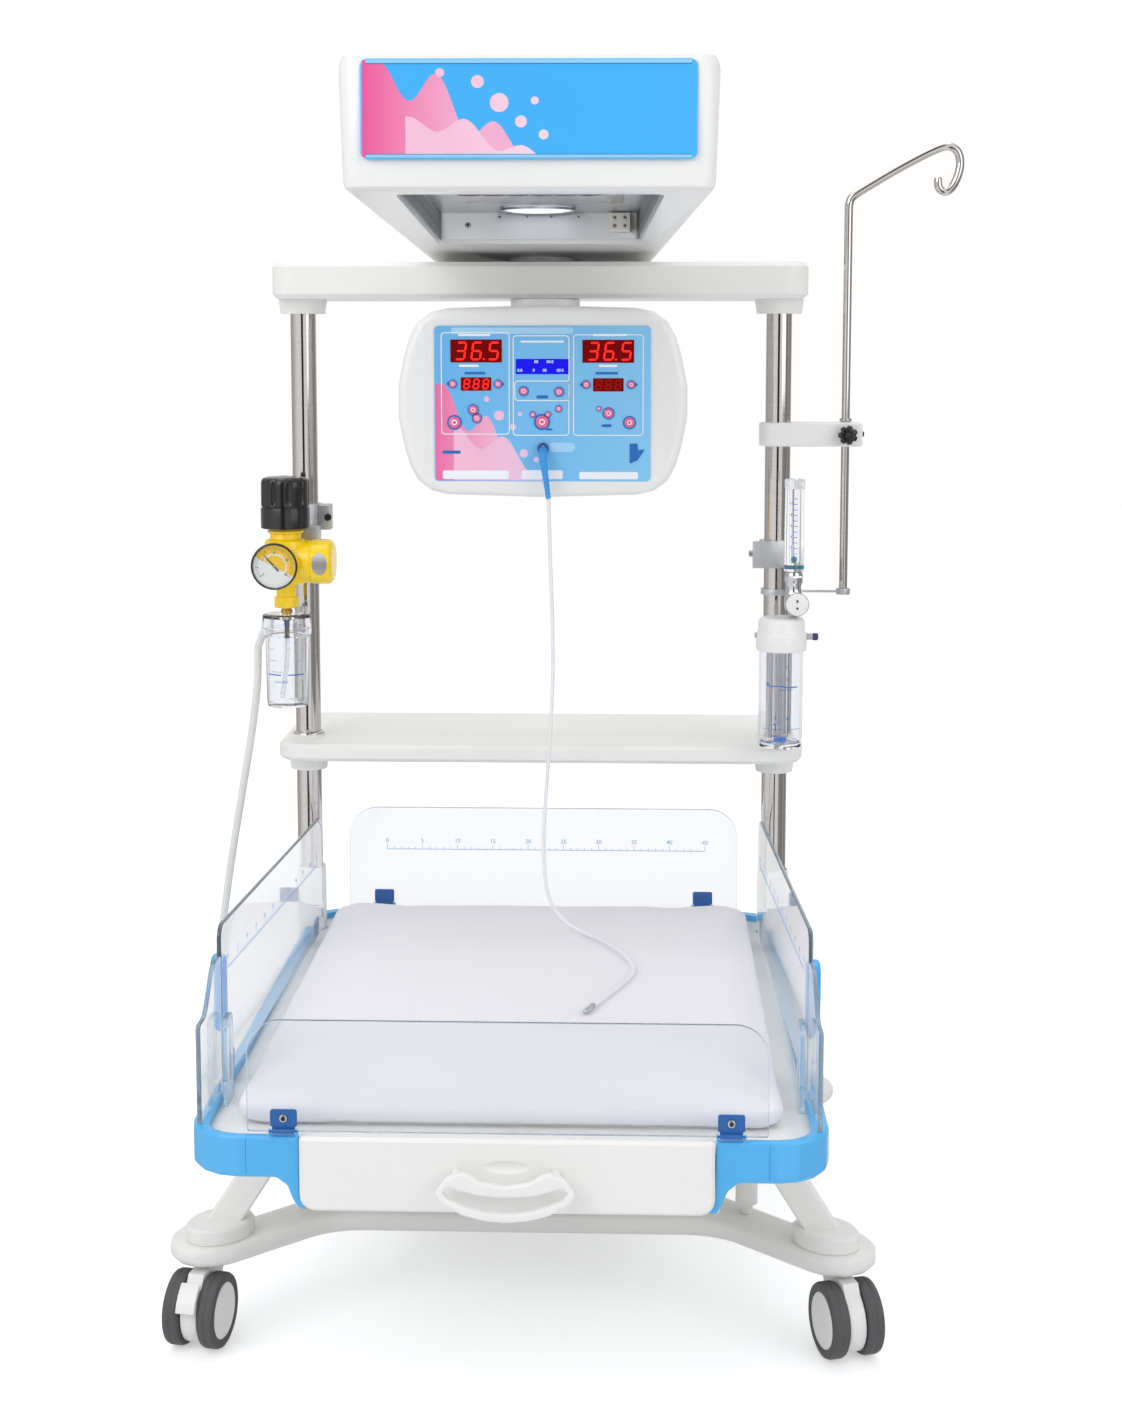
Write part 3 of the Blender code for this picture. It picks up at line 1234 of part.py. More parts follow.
def make_end_panel(name, half_width, top, corner, y):
    """A clear end panel with two blue hinge plates, whose stub pins turn in the bumper's ears."""
    in_front = name == "front_panel"
    edge_y = BED_FRONT if in_front else BED_REAR
    spacing = FRONT_BRACKET_X if in_front else REAR_BRACKET_X
    low, high = y - PANEL_THICKNESS / 2, y + PANEL_THICKNESS / 2
    outline = rounded_box_outline(-half_width, half_width, PANEL_BOTTOM, top,
                                  [PANEL_FOOT_CORNER, PANEL_FOOT_CORNER, corner, corner], 5)
    panel = add_piece(name, slab(outline, "XZ", low, high), (CLEAR, 0.05), name)
    outward = -1 if in_front else 1
    face = y + outward * PANEL_THICKNESS / 2
    depth = sorted((face - outward * JOIN_DEPTH, face + outward * BRACKET_THICKNESS))
    half = BRACKET_WIDTH / 2
    soft = HINGE_RADIUS
    for side in (-1, 1):
        x = side * spacing
        outline = rounded_box_outline(x - half, x + half, HINGE_HEIGHT - JOIN_DEPTH,
                                      HINGE_HEIGHT + BRACKET_HEIGHT - soft, [0, 0, soft, soft], 2)
        add_tool(panel, slab(outline, "XZ", depth[0], depth[1]), "UNION")
        add_tool(panel, turned(knuckle_profile(0), 8, (x, edge_y, HINGE_HEIGHT), "X"), "UNION")


def knuckle_profile(place):
    """A hinge knuckle with a stub pin at each end, along its axis."""
    half = BRACKET_WIDTH / 2
    pin = HINGE_PIN_DIAMETER / 2
    reach = half + SEAT_GAP + LUG_THICKNESS
    knuckle = HINGE_RADIUS - SEAT_GAP
    end = half - SEAT_GAP
    return [(pin, place - reach), (pin, place - end), (knuckle, place - end), (knuckle, place + end),
            (pin, place + end), (pin, place + reach)]


def side_panel_length():
    return math.hypot(SIDE_PANEL_FRONT_X - SIDE_PANEL_REAR_X, SIDE_PANEL_REAR - SIDE_PANEL_FRONT)


def make_side_panel(side):
    """A clear side that toes out to the front and rises a little towards it, on a hinge along its foot."""
    name = "left_panel" if side < 0 else "right_panel"
    length = side_panel_length()
    foot = PANEL_BOTTOM - HINGE_HEIGHT
    rear_top, front_top = SIDE_PANEL_REAR_TOP - HINGE_HEIGHT, SIDE_PANEL_FRONT_TOP - HINGE_HEIGHT
    small, corner = PANEL_FOOT_CORNER, SIDE_PANEL_CORNER
    outline = rounded([(0, foot), (-length, foot), (-length, front_top), (0, rear_top)],
                      [small, small, corner, corner], 3)
    inner = -HINGE_OFFSET - PANEL_THICKNESS / 2
    across = sorted((side * inner, side * (inner + PANEL_THICKNESS)))
    panel = add_piece(name, slab(outline, "YZ", across[0], across[1]), (CLEAR, 0.05), name, local=True)
    add_side_brackets(panel, side)


def add_side_brackets(panel, side):
    """Blue hinge plates on the outside of a side panel, and the blue finger grip near its front end."""
    half = BRACKET_WIDTH / 2
    soft = HINGE_RADIUS
    face = -HINGE_OFFSET + PANEL_THICKNESS / 2
    plate = sorted((side * (face - JOIN_DEPTH), side * (face + BRACKET_THICKNESS)))
    for place in side_bracket_places():
        outline = rounded_box_outline(place - half, place + half, -JOIN_DEPTH, BRACKET_HEIGHT - soft,
                                      [0, 0, soft, soft], 2)
        add_tool(panel, slab(outline, "YZ", plate[0], plate[1]), "UNION", local=True)
        add_tool(panel, turned(knuckle_profile(place), 8, (0, 0, 0), "Y"), "UNION", local=True)
    lean = math.cos(side_panel_turn(1).to_euler().z)
    front, rear = [(y - SIDE_PANEL_REAR) / lean for y in (GRIP_FRONT, GRIP_REAR)]
    low, high = GRIP_BOTTOM - HINGE_HEIGHT, GRIP_TOP - HINGE_HEIGHT
    soft = GRIP_ROUND

    def grip_outline(inset):
        corner = (rear - front) / 2.2 - inset
        return rounded_box_outline(front + inset, rear - inset, low + inset, high - inset, corner, 3)
    top = face + GRIP_DEPTH
    levels = [(0, face - JOIN_DEPTH), (0, top - soft), (soft * 0.3, top - soft * 0.3), (soft, top)]
    grip = stack([(grip_outline(inset), side * level) for inset, level in levels], "YZ")
    add_tool(panel, grip, "UNION", local=True)


def make_panel_guide(side):
    """Fixed clear pieces at a front corner: a wing on the bumper, bolted to a slotted plate inside it."""
    matrix = side_panel_turn(side)
    centre = Vector((side * SIDE_PANEL_FRONT_X, SIDE_PANEL_FRONT, 0))
    foot = BUMPER_TOP + SEAT_GAP
    low, high = WING_FRONT - SIDE_PANEL_FRONT, WING_REAR - SIDE_PANEL_FRONT
    step = (high - low) * WING_STEP_SHARE
    small, sweep = PANEL_FOOT_CORNER, WING_CURVE
    outline = rounded([(low, foot), (high, foot), (high, WING_REAR_TOP), (high - step, WING_REAR_TOP),
                       (low + step, WING_FRONT_TOP), (low, WING_FRONT_TOP)],
                      [small, small, small, sweep, sweep, small * 2], 4)
    wing = slab(outline, "YZ", -PANEL_THICKNESS / 2, PANEL_THICKNESS / 2)
    bmesh.ops.transform(wing, matrix=Matrix.Translation(centre) @ matrix, verts=wing.verts)
    name = "left_guide" if side < 0 else "right_guide"
    node = add_piece(name, wing, (CLEAR, 0.08), "root")
    plate = rounded_box_outline(GUIDE_FRONT, GUIDE_REAR, DECK_TOP + SEAT_GAP, GUIDE_TOP,
                                [0, 0, GUIDE_CORNER, GUIDE_CORNER], 4)
    middle = (GUIDE_FRONT + GUIDE_REAR) / 2
    half = GUIDE_SLOT_WIDTH / 2
    slot = rounded_box_outline(middle - half, middle + half, GUIDE_SLOT_BOTTOM, GUIDE_SLOT_TOP,
                               half * 0.98, 4)
    guide = drilled_plate(plate, [slot], GUIDE_FACE_X - GUIDE_THICKNESS, GUIDE_FACE_X)
    stand = Matrix(((0, 0, side, 0), (1, 0, 0, 0), (0, 1, 0, 0), (0, 0, 0, 1)))
    bmesh.ops.transform(guide, matrix=stand, verts=guide.verts)
    add_tool(node, guide, "UNION")
    bolt = GUIDE_BOLT_DIAMETER / 2
    span = sorted((side * (GUIDE_FACE_X - JOIN_DEPTH), side * SIDE_PANEL_FRONT_X))
    boss = turned([(bolt, span[0]), (bolt, span[1])], 16, (0, GUIDE_BOLT_Y, GUIDE_BOLT_Z), "X")
    add_tool(node, boss, "UNION")


def make_posts():
    for side, name in ((-1, "post_left"), (1, "post_right")):
        top = CROSSBAR_BOTTOM + POST_GRIP_DEPTH
        post = rod(side * POST_X, 0, BASE_TOP + SEAT_GAP, top, POST_DIAMETER, 24)
        add_piece(name, post, (STEEL, 0.18, 1.0), "root")


def make_shelf():
    """A rounded tray board with a collar below and a low ring above at each post."""
    half = SHELF_LENGTH / 2
    outline = rounded_box_outline(-half, half, SHELF_FRONT, SHELF_REAR, SHELF_CORNER, 4)
    shelf = add_piece("shelf", slab(outline, "XY", SHELF_BOTTOM, SHELF_TOP), (WHITE, 0.40), "root")
    add_bevel(shelf, SHELF_EDGE)
    collar_foot = SHELF_BOTTOM - SHELF_COLLAR_HEIGHT
    bush_top = SHELF_TOP + BUSH_HEIGHT
    bore = POST_DIAMETER + SEAT_GAP * 2
    for side in (-1, 1):
        x = side * POST_X
        profile = [(SHELF_COLLAR_FOOT / 2, collar_foot), (SHELF_COLLAR_DIAMETER / 2, SHELF_BOTTOM),
                   (BUSH_DIAMETER / 2, SHELF_BOTTOM + JOIN_DEPTH), (BUSH_DIAMETER / 2, bush_top)]
        add_tool(shelf, turned(profile, 20, (x, 0, 0)), "UNION")
        add_tool(shelf, rod(x, 0, collar_foot - CUT_OVERRUN, bush_top + CUT_OVERRUN, bore, 24))


def make_crossbar():
    """The white bar over the posts, with its collars, and the hood's slotted bearing disc on top."""
    half = CROSSBAR_LENGTH / 2
    outline = rounded_box_outline(-half, half, CROSSBAR_FRONT, CROSSBAR_REAR, CROSSBAR_CORNER, 4)
    bar = add_piece("crossbar", slab(outline, "XY", CROSSBAR_BOTTOM, CROSSBAR_TOP), (WHITE, 0.40), "root")
    add_bevel(bar, CROSSBAR_EDGE)
    collar_foot = CROSSBAR_BOTTOM - TOP_COLLAR_HEIGHT
    for side in (-1, 1):
        x = side * POST_X
        profile = [(TOP_COLLAR_FOOT / 2, collar_foot), (TOP_COLLAR_DIAMETER / 2, CROSSBAR_BOTTOM),
                   (POST_RADIUS, CROSSBAR_BOTTOM + JOIN_DEPTH)]
        add_tool(bar, turned(profile, 20, (x, 0, 0)), "UNION")
        bore_top = CROSSBAR_BOTTOM + POST_GRIP_DEPTH + SEAT_GAP
        add_tool(bar, rod(x, 0, collar_foot - CUT_OVERRUN, bore_top, POST_DIAMETER + SEAT_GAP * 2, 24))
    low = CROSSBAR_TOP + SEAT_GAP
    radius = SWIVEL_DIAMETER / 2
    slots = []
    for i in range(SWIVEL_SLOTS):
        turn = 2 * math.pi * i / SWIVEL_SLOTS
        mid = Vector((math.cos(turn), math.sin(turn))) * (FOOT_DIAMETER / 2 + SWIVEL_SLOT_WIDTH)
        side_way = Vector((-math.sin(turn), math.cos(turn))) * SWIVEL_SLOT_LENGTH / 2
        out_way = Vector((math.cos(turn), math.sin(turn))) * SWIVEL_SLOT_WIDTH / 2
        hands = ((-1, -1), (1, -1), (1, 1), (-1, 1))
        slots.append([tuple(mid + side_way * a + out_way * b) for a, b in hands])
    plate = drilled_plate(circle(0, 0, radius, 32), slots, low, low + SWIVEL_THICKNESS)
    bmesh.ops.translate(plate, verts=plate.verts, vec=(0, HOOD_PIVOT_Y, 0))
    disc = add_piece("swivel_disc", plate, (STEEL, 0.35, 1.0), "root")
    add_tool(disc, rod(0, HOOD_PIVOT_Y, low + SWIVEL_THICKNESS / 2, low + SWIVEL_SPIGOT_HEIGHT,
                       SWIVEL_SPIGOT_DIAMETER, 20), "UNION")


def hood_plan(inset, front, rear, front_half, rear_half, corner, rear_corner, steps=5):
    """The hood's outline from above: wider at the front than at the rear."""
    corners = [(-front_half + inset, -front + inset), (front_half - inset, -front + inset),
               (rear_half - inset, rear - inset), (-rear_half + inset, rear - inset)]
    radii = [max(corner - inset, corner / 4)] * 2 + [max(rear_corner - inset, rear_corner / 4)] * 2
    return rounded(corners, radii, steps)


def make_hood():
    def plan(inset):
        return hood_plan(inset, HOOD_FRONT, HOOD_REAR, HOOD_FRONT_HALF_WIDTH, HOOD_REAR_HALF_WIDTH,
                         HOOD_CORNER, HOOD_REAR_CORNER, 4)
    draft, soft = HOOD_LOWER_DRAFT, HOOD_ROUND
    levels = [(plan(draft + soft * 0.7), 0), (plan(draft + soft * 0.2), soft * 0.3), (plan(draft), soft),
              (plan(0), HOOD_HEIGHT - soft * 1.6), (plan(soft * 0.12), HOOD_HEIGHT - soft * 0.8),
              (plan(soft * 0.5), HOOD_HEIGHT - soft * 0.2), (plan(soft * 1.2), HOOD_HEIGHT)]
    shell = add_piece("hood_shell", stack(levels, "XY"), (WHITE, 0.36), "hood_case", local=True)

    def cavity(inset):
        return hood_plan(inset, CAVITY_FRONT, -CAVITY_REAR, CAVITY_FRONT_HALF_WIDTH,
                         CAVITY_REAR_HALF_WIDTH, CAVITY_CORNER, CAVITY_CORNER, 2)
    add_tool(shell, slab(cavity(0), "XY", -CUT_OVERRUN, CAVITY_DEPTH), local=True)
    add_tool(shell, box((-CHAMBER_HALF_WIDTH, -CHAMBER_FRONT, CAVITY_DEPTH / 2),
                        (CHAMBER_HALF_WIDTH, -CHAMBER_REAR, CHAMBER_DEPTH)), local=True)
    recess = HOOD_PLATE_RECESS
    half_w, half_h = HOOD_PLATE_WIDTH / 2, HOOD_PLATE_HEIGHT / 2
    middle = HOOD_PLATE_CENTRE_HEIGHT

    def plate_outline(grow):
        return rounded_box_outline(-half_w - grow, half_w + grow, middle - half_h - grow,
                                   middle + half_h + grow, HOOD_PLATE_CORNER, 4)
    pocket = slab(plate_outline(SEAT_GAP), "XZ", -HOOD_FRONT - CUT_OVERRUN, -HOOD_FRONT + recess)
    add_tool(shell, pocket, local=True)
    bearing = SWIVEL_SPIGOT_DIAMETER / 2 + SEAT_GAP
    foot_low = CROSSBAR_TOP + SEAT_GAP * 2 + SWIVEL_THICKNESS - HOOD_UNDERSIDE
    level = Matrix.Rotation(HOOD_TILT, 4, "X")
    foot = turned([(FOOT_DIAMETER / 2, foot_low), (FOOT_DIAMETER / 2, CAVITY_CORNER)], 24)
    bmesh.ops.transform(foot, matrix=level, verts=foot.verts)
    add_tool(shell, foot, "UNION", local=True)
    bore = turned([(bearing, foot_low - CUT_OVERRUN), (bearing, SWIVEL_SPIGOT_HEIGHT)], 20)
    bmesh.ops.transform(bore, matrix=level, verts=bore.verts)
    add_tool(shell, bore, local=True)

    front = -HOOD_FRONT + recess - SEAT_GAP
    edge = HOOD_PLATE_EDGE
    face = front - HOOD_PLATE_THICKNESS
    plate = stack([(plate_outline(-SEAT_GAP), front), (plate_outline(-SEAT_GAP), face + edge),
                   (plate_outline(-edge - SEAT_GAP), face)], "XZ")
    add_piece("hood_front_plate", plate, (BLUE, 0.10), "hood_case", local=True)
    make_heater(cavity)


def hexagon(x, y, radius):
    return circle(x, y, radius, 6, math.radians(30))


def make_heater(cavity):
    """The polished liner, the hexagonal guard over the heater window, and two quartz heater rods."""
    wall = LINER_WALL
    outer = cavity(SEAT_GAP)
    ceiling = CAVITY_DEPTH - SEAT_GAP
    look = (STEEL, 0.16, 1.0)
    liner = add_piece("reflector", slab(outer, "XY", LINER_FLANGE, ceiling), look, "hood_case", local=True)
    add_tool(liner, slab(cavity(SEAT_GAP + wall), "XY", -CUT_OVERRUN, ceiling - wall), local=True)
    add_tool(liner, box((-CHAMBER_HALF_WIDTH + HEX_BAR, -CHAMBER_FRONT + HEX_BAR, ceiling - wall * 2),
                        (CHAMBER_HALF_WIDTH - HEX_BAR, -CHAMBER_REAR - HEX_BAR, ceiling + CUT_OVERRUN)), local=True)
    low = ceiling - wall - SEAT_GAP - GUARD_THICKNESS
    row_pitch = HEX_PITCH * math.cos(math.radians(30))
    middle = -(CHAMBER_FRONT + CHAMBER_REAR) / 2
    holes = []
    for row in range(HEX_ROWS):
        offset = HEX_PITCH / 2 if row % 2 else 0.0
        for column in range(HEX_COLUMNS):
            x = (column - (HEX_COLUMNS - 1) / 2) * HEX_PITCH + offset - HEX_PITCH / 4
            y = middle + (row - (HEX_ROWS - 1) / 2) * row_pitch
            holes.append(hexagon(x, y, (HEX_PITCH - HEX_BAR) / math.sqrt(3)))
    half_l = (CHAMBER_FRONT - CHAMBER_REAR) / 2 + HEX_BAR
    outline = rounded_box_outline(-GUARD_HALF_WIDTH, GUARD_HALF_WIDTH, middle - half_l, middle + half_l, HEX_BAR, 2)
    guard = drilled_plate(outline, holes, low, low + GUARD_THICKNESS)
    add_piece("heater_guard", guard, (STEEL, 0.20, 1.0), "hood_case", local=True)
    rods = bmesh.new()
    cap = HEATER_CAP_DIAMETER / 2
    rod_radius = HEATER_ROD_DIAMETER / 2
    span = CHAMBER_HALF_WIDTH - SEAT_GAP
    for share in (-1, 0, 1):
        y = middle + share * HEATER_ROD_SPACING
        profile = [(cap, -span), (cap, -span + HEATER_CAP_LENGTH), (rod_radius, -span + HEATER_CAP_LENGTH),
                   (rod_radius, span - HEATER_CAP_LENGTH), (cap, span - HEATER_CAP_LENGTH), (cap, span)]
        turned(profile, 8, (0, y, HEATER_HEIGHT), "X", mesh=rods)
    element = add_piece("heater_element", rods, ((0.55, 0.42, 0.36), 0.45), "hood_case", local=True)
    reach = HEATER_ROD_SPACING + cap
    for side in (-1, 1):
        across = sorted((side * (span - HEATER_CAP_LENGTH / 3), side * (span - HEATER_CAP_LENGTH * 2 / 3)))
        rail = box((across[0], middle - reach, HEATER_HEIGHT - rod_radius),
                   (across[1], middle + reach, HEATER_HEIGHT + rod_radius))
        add_tool(element, rail, "UNION", local=True)


def control_outline(inset):
    """A barrel: a long top and bottom with a slight crown, and sides that bulge."""
    w, h = CONTROL_HALF_WIDTH - inset, CONTROL_HALF_HEIGHT - inset
    sx, sz = CONTROL_SHOULDER_X - inset, CONTROL_SHOULDER_Z - inset
    corners = [(0, -h), (sx, -sz), (w, 0), (sx, sz), (0, h), (-sx, sz), (-w, 0), (-sx, -sz)]
    corner = CONTROL_CORNER - inset
    bulge = CONTROL_BULGE_RADIUS
    radii = [bulge, corner, bulge / 2, corner, bulge, corner, bulge / 2, corner]
    outline = rounded(corners, radii, 3)
    return [(CONTROL_X + x, CONTROL_Z + z) for x, z in outline]


def make_control_box():
    edge = BEZEL_EDGE
    back = CONTROL_FACE + BEZEL_DEPTH
    levels = [(control_outline(edge * 0.9), CONTROL_FACE),
              (control_outline(edge * 0.35), CONTROL_FACE + edge * 0.3),
              (control_outline(0), CONTROL_FACE + edge), (control_outline(0), back)]
    bezel = add_piece("control_bezel", stack(levels, "XZ"), (WHITE, 0.40), "root")

    def window(grow):
        return rounded_box_outline(CONTROL_X - OVERLAY_HALF_WIDTH - grow, CONTROL_X + OVERLAY_HALF_WIDTH + grow,
                                   CONTROL_Z - OVERLAY_HALF_HEIGHT - grow,
                                   CONTROL_Z + OVERLAY_HALF_HEIGHT + grow, OVERLAY_CORNER, 4)
    add_tool(bezel, slab(window(SEAT_GAP), "XZ", CONTROL_FACE - CUT_OVERRUN, CONTROL_FACE + OVERLAY_RECESS))
    front = CONTROL_FACE + OVERLAY_RECESS - SEAT_GAP
    film = slab(window(0), "XZ", front - OVERLAY_THICKNESS, front)
    add_piece("control_overlay", film, ((0.20, 0.55, 0.90), 0.30), "root")
    rear = back + SEAT_GAP + BACK_DEPTH
    levels = [(control_outline(BACK_INSET * 0.3), back + SEAT_GAP),
              (control_outline(BACK_INSET * 0.5), rear - BACK_EDGE), (control_outline(BACK_INSET), rear)]
    case = add_piece("control_back", stack(levels, "XZ"), (WHITE, 0.42), "root")
    boss = [(CONTROL_X + BOSS_HALF_WIDTH * x, BOSS_CENTRE_Y + BOSS_HALF_DEPTH * y)
            for x, y in circle(0, 0, 1, 20)]
    low = CONTROL_Z + CONTROL_SHOULDER_Z - BACK_INSET * 3
    add_tool(case, slab(boss, "XY", low, CROSSBAR_BOTTOM - SEAT_GAP), "UNION")


def make_probe():
    """The probe's socket with its blue strain relief, the cable and the sensor tip on the mattress."""
    face = CONTROL_FACE + OVERLAY_RECESS - SEAT_GAP - OVERLAY_THICKNESS - SEAT_GAP
    start = Vector((PROBE_SOCKET_X, face, PROBE_SOCKET_Z))
    radius = PROBE_SOCKET_DIAMETER / 2
    socket = turned([(radius, -PROBE_SOCKET_LENGTH), (radius, 0)], 20, tuple(start), "Y")
    node = add_piece("probe_socket", socket, (BLUE, 0.35), "root")
    end = Vector(RELIEF_END)
    knee = Vector((start.x, face - RELIEF_STANDOFF, start.z - RELIEF_DIAMETER))
    inside = start + Vector((0, -PROBE_SOCKET_LENGTH / 2, 0))
    route = smooth_route([inside, knee, knee.lerp(end, 0.4), end], (start - end).length / 10)
    add_tool(node, tapered(route, RELIEF_DIAMETER / 2, RELIEF_TIP_DIAMETER / 2, 12), "UNION")
    cable = smooth_route(PROBE_CABLE_ROUTE, PROBE_CABLE_STEP)
    add_tube("probe_cable", cable, PROBE_CABLE_DIAMETER, ((0.85, 0.85, 0.88), 0.40), "root")
    heading = (cable[-1] - cable[-2]).normalized()
    begin = cable[-1] + heading * SEAT_GAP
    radius = PROBE_TIP_DIAMETER / 2
    lift = Vector((0, 0, radius - PROBE_CABLE_DIAMETER / 2))
    tip_end = begin + heading * PROBE_TIP_LENGTH
    tip = tapered([begin + lift, begin.lerp(tip_end, 0.3) + lift, begin.lerp(tip_end, 0.8) + lift, tip_end + lift],
                  radius, radius * 0.8, 12, upright=True)
    add_piece("probe_tip", tip, (STEEL, 0.25, 1.0), "root")


def tapered(route, first, last, sides, upright=False):
    """A round bar along a route whose radius runs evenly from the first to the last value."""
    mesh = bmesh.new()
    rings = []
    side_way = Vector((1, 0, 0))
    for i, place in enumerate(route):
        ahead = route[min(i + 1, len(route) - 1)] - route[max(i - 1, 0)]
        ahead.normalize()
        side_way = (side_way - ahead * side_way.dot(ahead)).normalized()
        up_way = ahead.cross(side_way)
        radius = first + (last - first) * i / (len(route) - 1)
        rings.append([mesh.verts.new(place + side_way * radius * math.cos(2 * math.pi * k / sides)
                                     + up_way * radius * math.sin(2 * math.pi * k / sides)) for k in range(sides)])
    for near, far in zip(rings, rings[1:]):
        for k in range(sides):
            n = (k + 1) % sides
            mesh.faces.new((near[k], near[n], far[n], far[k]))
    mesh.faces.new(rings[0])
    mesh.faces.new(rings[-1])
    return mesh


def make_vacuum_regulator():
    """A yellow suction regulator: bonnet, side barrel and neck in one casting, under a ribbed knob."""
    yellow = (0.93, 0.70, 0.02)
    x, y = VACUUM_X, VACUUM_Y
    top = REGULATOR_BODY_BOTTOM + REGULATOR_BODY_HEIGHT
    body = REGULATOR_BODY_DIAMETER / 2
    neck = REGULATOR_NECK_DIAMETER / 2
    soft = REGULATOR_NECK_ROUND
    foot, bottom, cap = REGULATOR_NECK_BOTTOM, REGULATOR_BODY_BOTTOM, REGULATOR_CAP_DIAMETER / 2
    profile = [(neck, foot), (neck, foot + soft * 3), (neck - soft, foot + soft * 3.5),
               (neck - soft, bottom - soft), (body - soft, bottom), (body, bottom + soft),
               (body, top - soft), (body - soft, top), (cap, top), (cap, KNOB_BOTTOM - SEAT_GAP)]
    node = add_piece("vacuum_body", turned(profile, 20, (x, y, 0)), (yellow, 0.32), "root")
    barrel = REGULATOR_BARREL_DIAMETER / 2
    length = REGULATOR_BARREL_END_X - x
    barrel_profile = [(barrel, 0), (barrel, length - soft), (barrel - soft, length)]
    add_tool(node, turned(barrel_profile, 20, (x, y, REGULATOR_BARREL_Z), "X"), "UNION")
    mount = turned([(neck, gauge_face() + GAUGE_DEPTH), (neck, VACUUM_Y)], 16, (GAUGE_X, 0, GAUGE_Z), "Y")
    add_tool(node, mount, "UNION")
    outer = KNOB_DIAMETER / 2
    skirt = KNOB_SKIRT_HEIGHT
    ribbed = lobed(x, y, outer, KNOB_RIB_DEPTH, KNOB_RIBS)
    plain = circle(x, y, outer, len(ribbed))
    inner = lobed(x, y, outer - KNOB_ROUND, 0, KNOB_RIBS)
    low = KNOB_BOTTOM
    high = KNOB_BOTTOM + KNOB_HEIGHT
    knob = stack([(plain, low), (plain, low + skirt - KNOB_RIB_DEPTH / 2), (ribbed, low + skirt),
                  (ribbed, high - KNOB_ROUND), (inner, high)], "XY")
    add_piece("vacuum_knob", knob, ((0.02, 0.02, 0.02), 0.35), "vacuum_knob")
    make_gauge()
    make_suction_jar()


def make_gauge():
    face = gauge_face()
    radius = GAUGE_DIAMETER / 2
    inside = radius - GAUGE_BEZEL_WALL
    floor = face + GAUGE_RECESS + NEEDLE_THICKNESS + SEAT_GAP
    back = face + GAUGE_DEPTH - SEAT_GAP
    profile = [(0, floor), (inside, floor), (inside, face), (radius, face), (radius, back), (0, back)]
    gauge = turned(profile, 24, (GAUGE_X, 0, GAUGE_Z), "Y")
    add_piece("vacuum_gauge", gauge, ((0.90, 0.68, 0.03), 0.35), "root")
    tip = Vector((math.cos(NEEDLE_ANGLE), math.sin(NEEDLE_ANGLE)))
    side_way = Vector((-tip.y, tip.x)) * NEEDLE_WIDTH / 2
    hub = circle(0, 0, NEEDLE_HUB_DIAMETER / 2, 16)
    tail = -tip * NEEDLE_TAIL
    outline = [tip * NEEDLE_LENGTH, side_way, tail + side_way, tail - side_way, -side_way]
    blade = slab([tuple(point) for point in outline], "XZ", 0, NEEDLE_THICKNESS)
    needle = add_piece("gauge_needle", blade, ((0.03, 0.03, 0.03), 0.45), "gauge_needle", local=True)
    add_tool(needle, slab(hub, "XZ", -NEEDLE_THICKNESS, NEEDLE_THICKNESS), "UNION", local=True)


def cup(outer, wall, low, high, taper=0.0):
    """The half section of an open jar, from the middle of its floor round to the inside."""
    return [(0, low), (outer - taper - wall, low), (outer - taper, low + wall), (outer, high), (outer - wall, high),
            (outer - taper - wall, low + wall), (0, low + wall)]


def barb_start():
    """Where the jar lid's hose barb ends, and its direction."""
    way = Vector((math.cos(BARB_ANGLE), math.sin(BARB_ANGLE), 0))
    return Vector((VACUUM_X, VACUUM_Y, JAR_TOP + JAR_LID_HEIGHT - BARB_DROP)), way


def make_suction_jar():
    x, y = VACUUM_X, VACUUM_Y
    jar = turned(cup(JAR_DIAMETER / 2, JAR_WALL, JAR_BOTTOM, JAR_TOP, JAR_TAPER), 20, (x, y, 0))
    add_piece("suction_jar", jar, (CLEAR, 0.08), "root")
    lid = JAR_LID_DIAMETER / 2
    low = JAR_TOP - JAR_LID_SKIRT
    inside = JAR_DIAMETER / 2 + SEAT_GAP
    ceiling = JAR_TOP + SEAT_GAP
    dip = DIP_TUBE_DIAMETER / 2
    top = JAR_TOP + JAR_LID_HEIGHT
    soft, fitting = CAP_ROUND / 2, FITTING_DIAMETER / 2
    joint = REGULATOR_NECK_BOTTOM - SEAT_GAP
    profile = [(0, DIP_TUBE_BOTTOM), (dip, DIP_TUBE_BOTTOM), (dip, ceiling), (inside, ceiling), (inside, low),
               (lid, low), (lid, top - soft), (lid - soft, top), (fitting, top), (fitting, joint), (0, joint)]
    node = add_piece("suction_lid", turned(profile, 20, (x, y, 0)), ((0.80, 0.81, 0.80), 0.35), "root")
    start, way = barb_start()
    inner = start + way * (lid - CAP_ROUND)
    outer = start + way * (lid + BARB_LENGTH)
    add_tool(node, tapered([inner, outer], BARB_DIAMETER / 2, BARB_DIAMETER / 2, 10), "UNION")


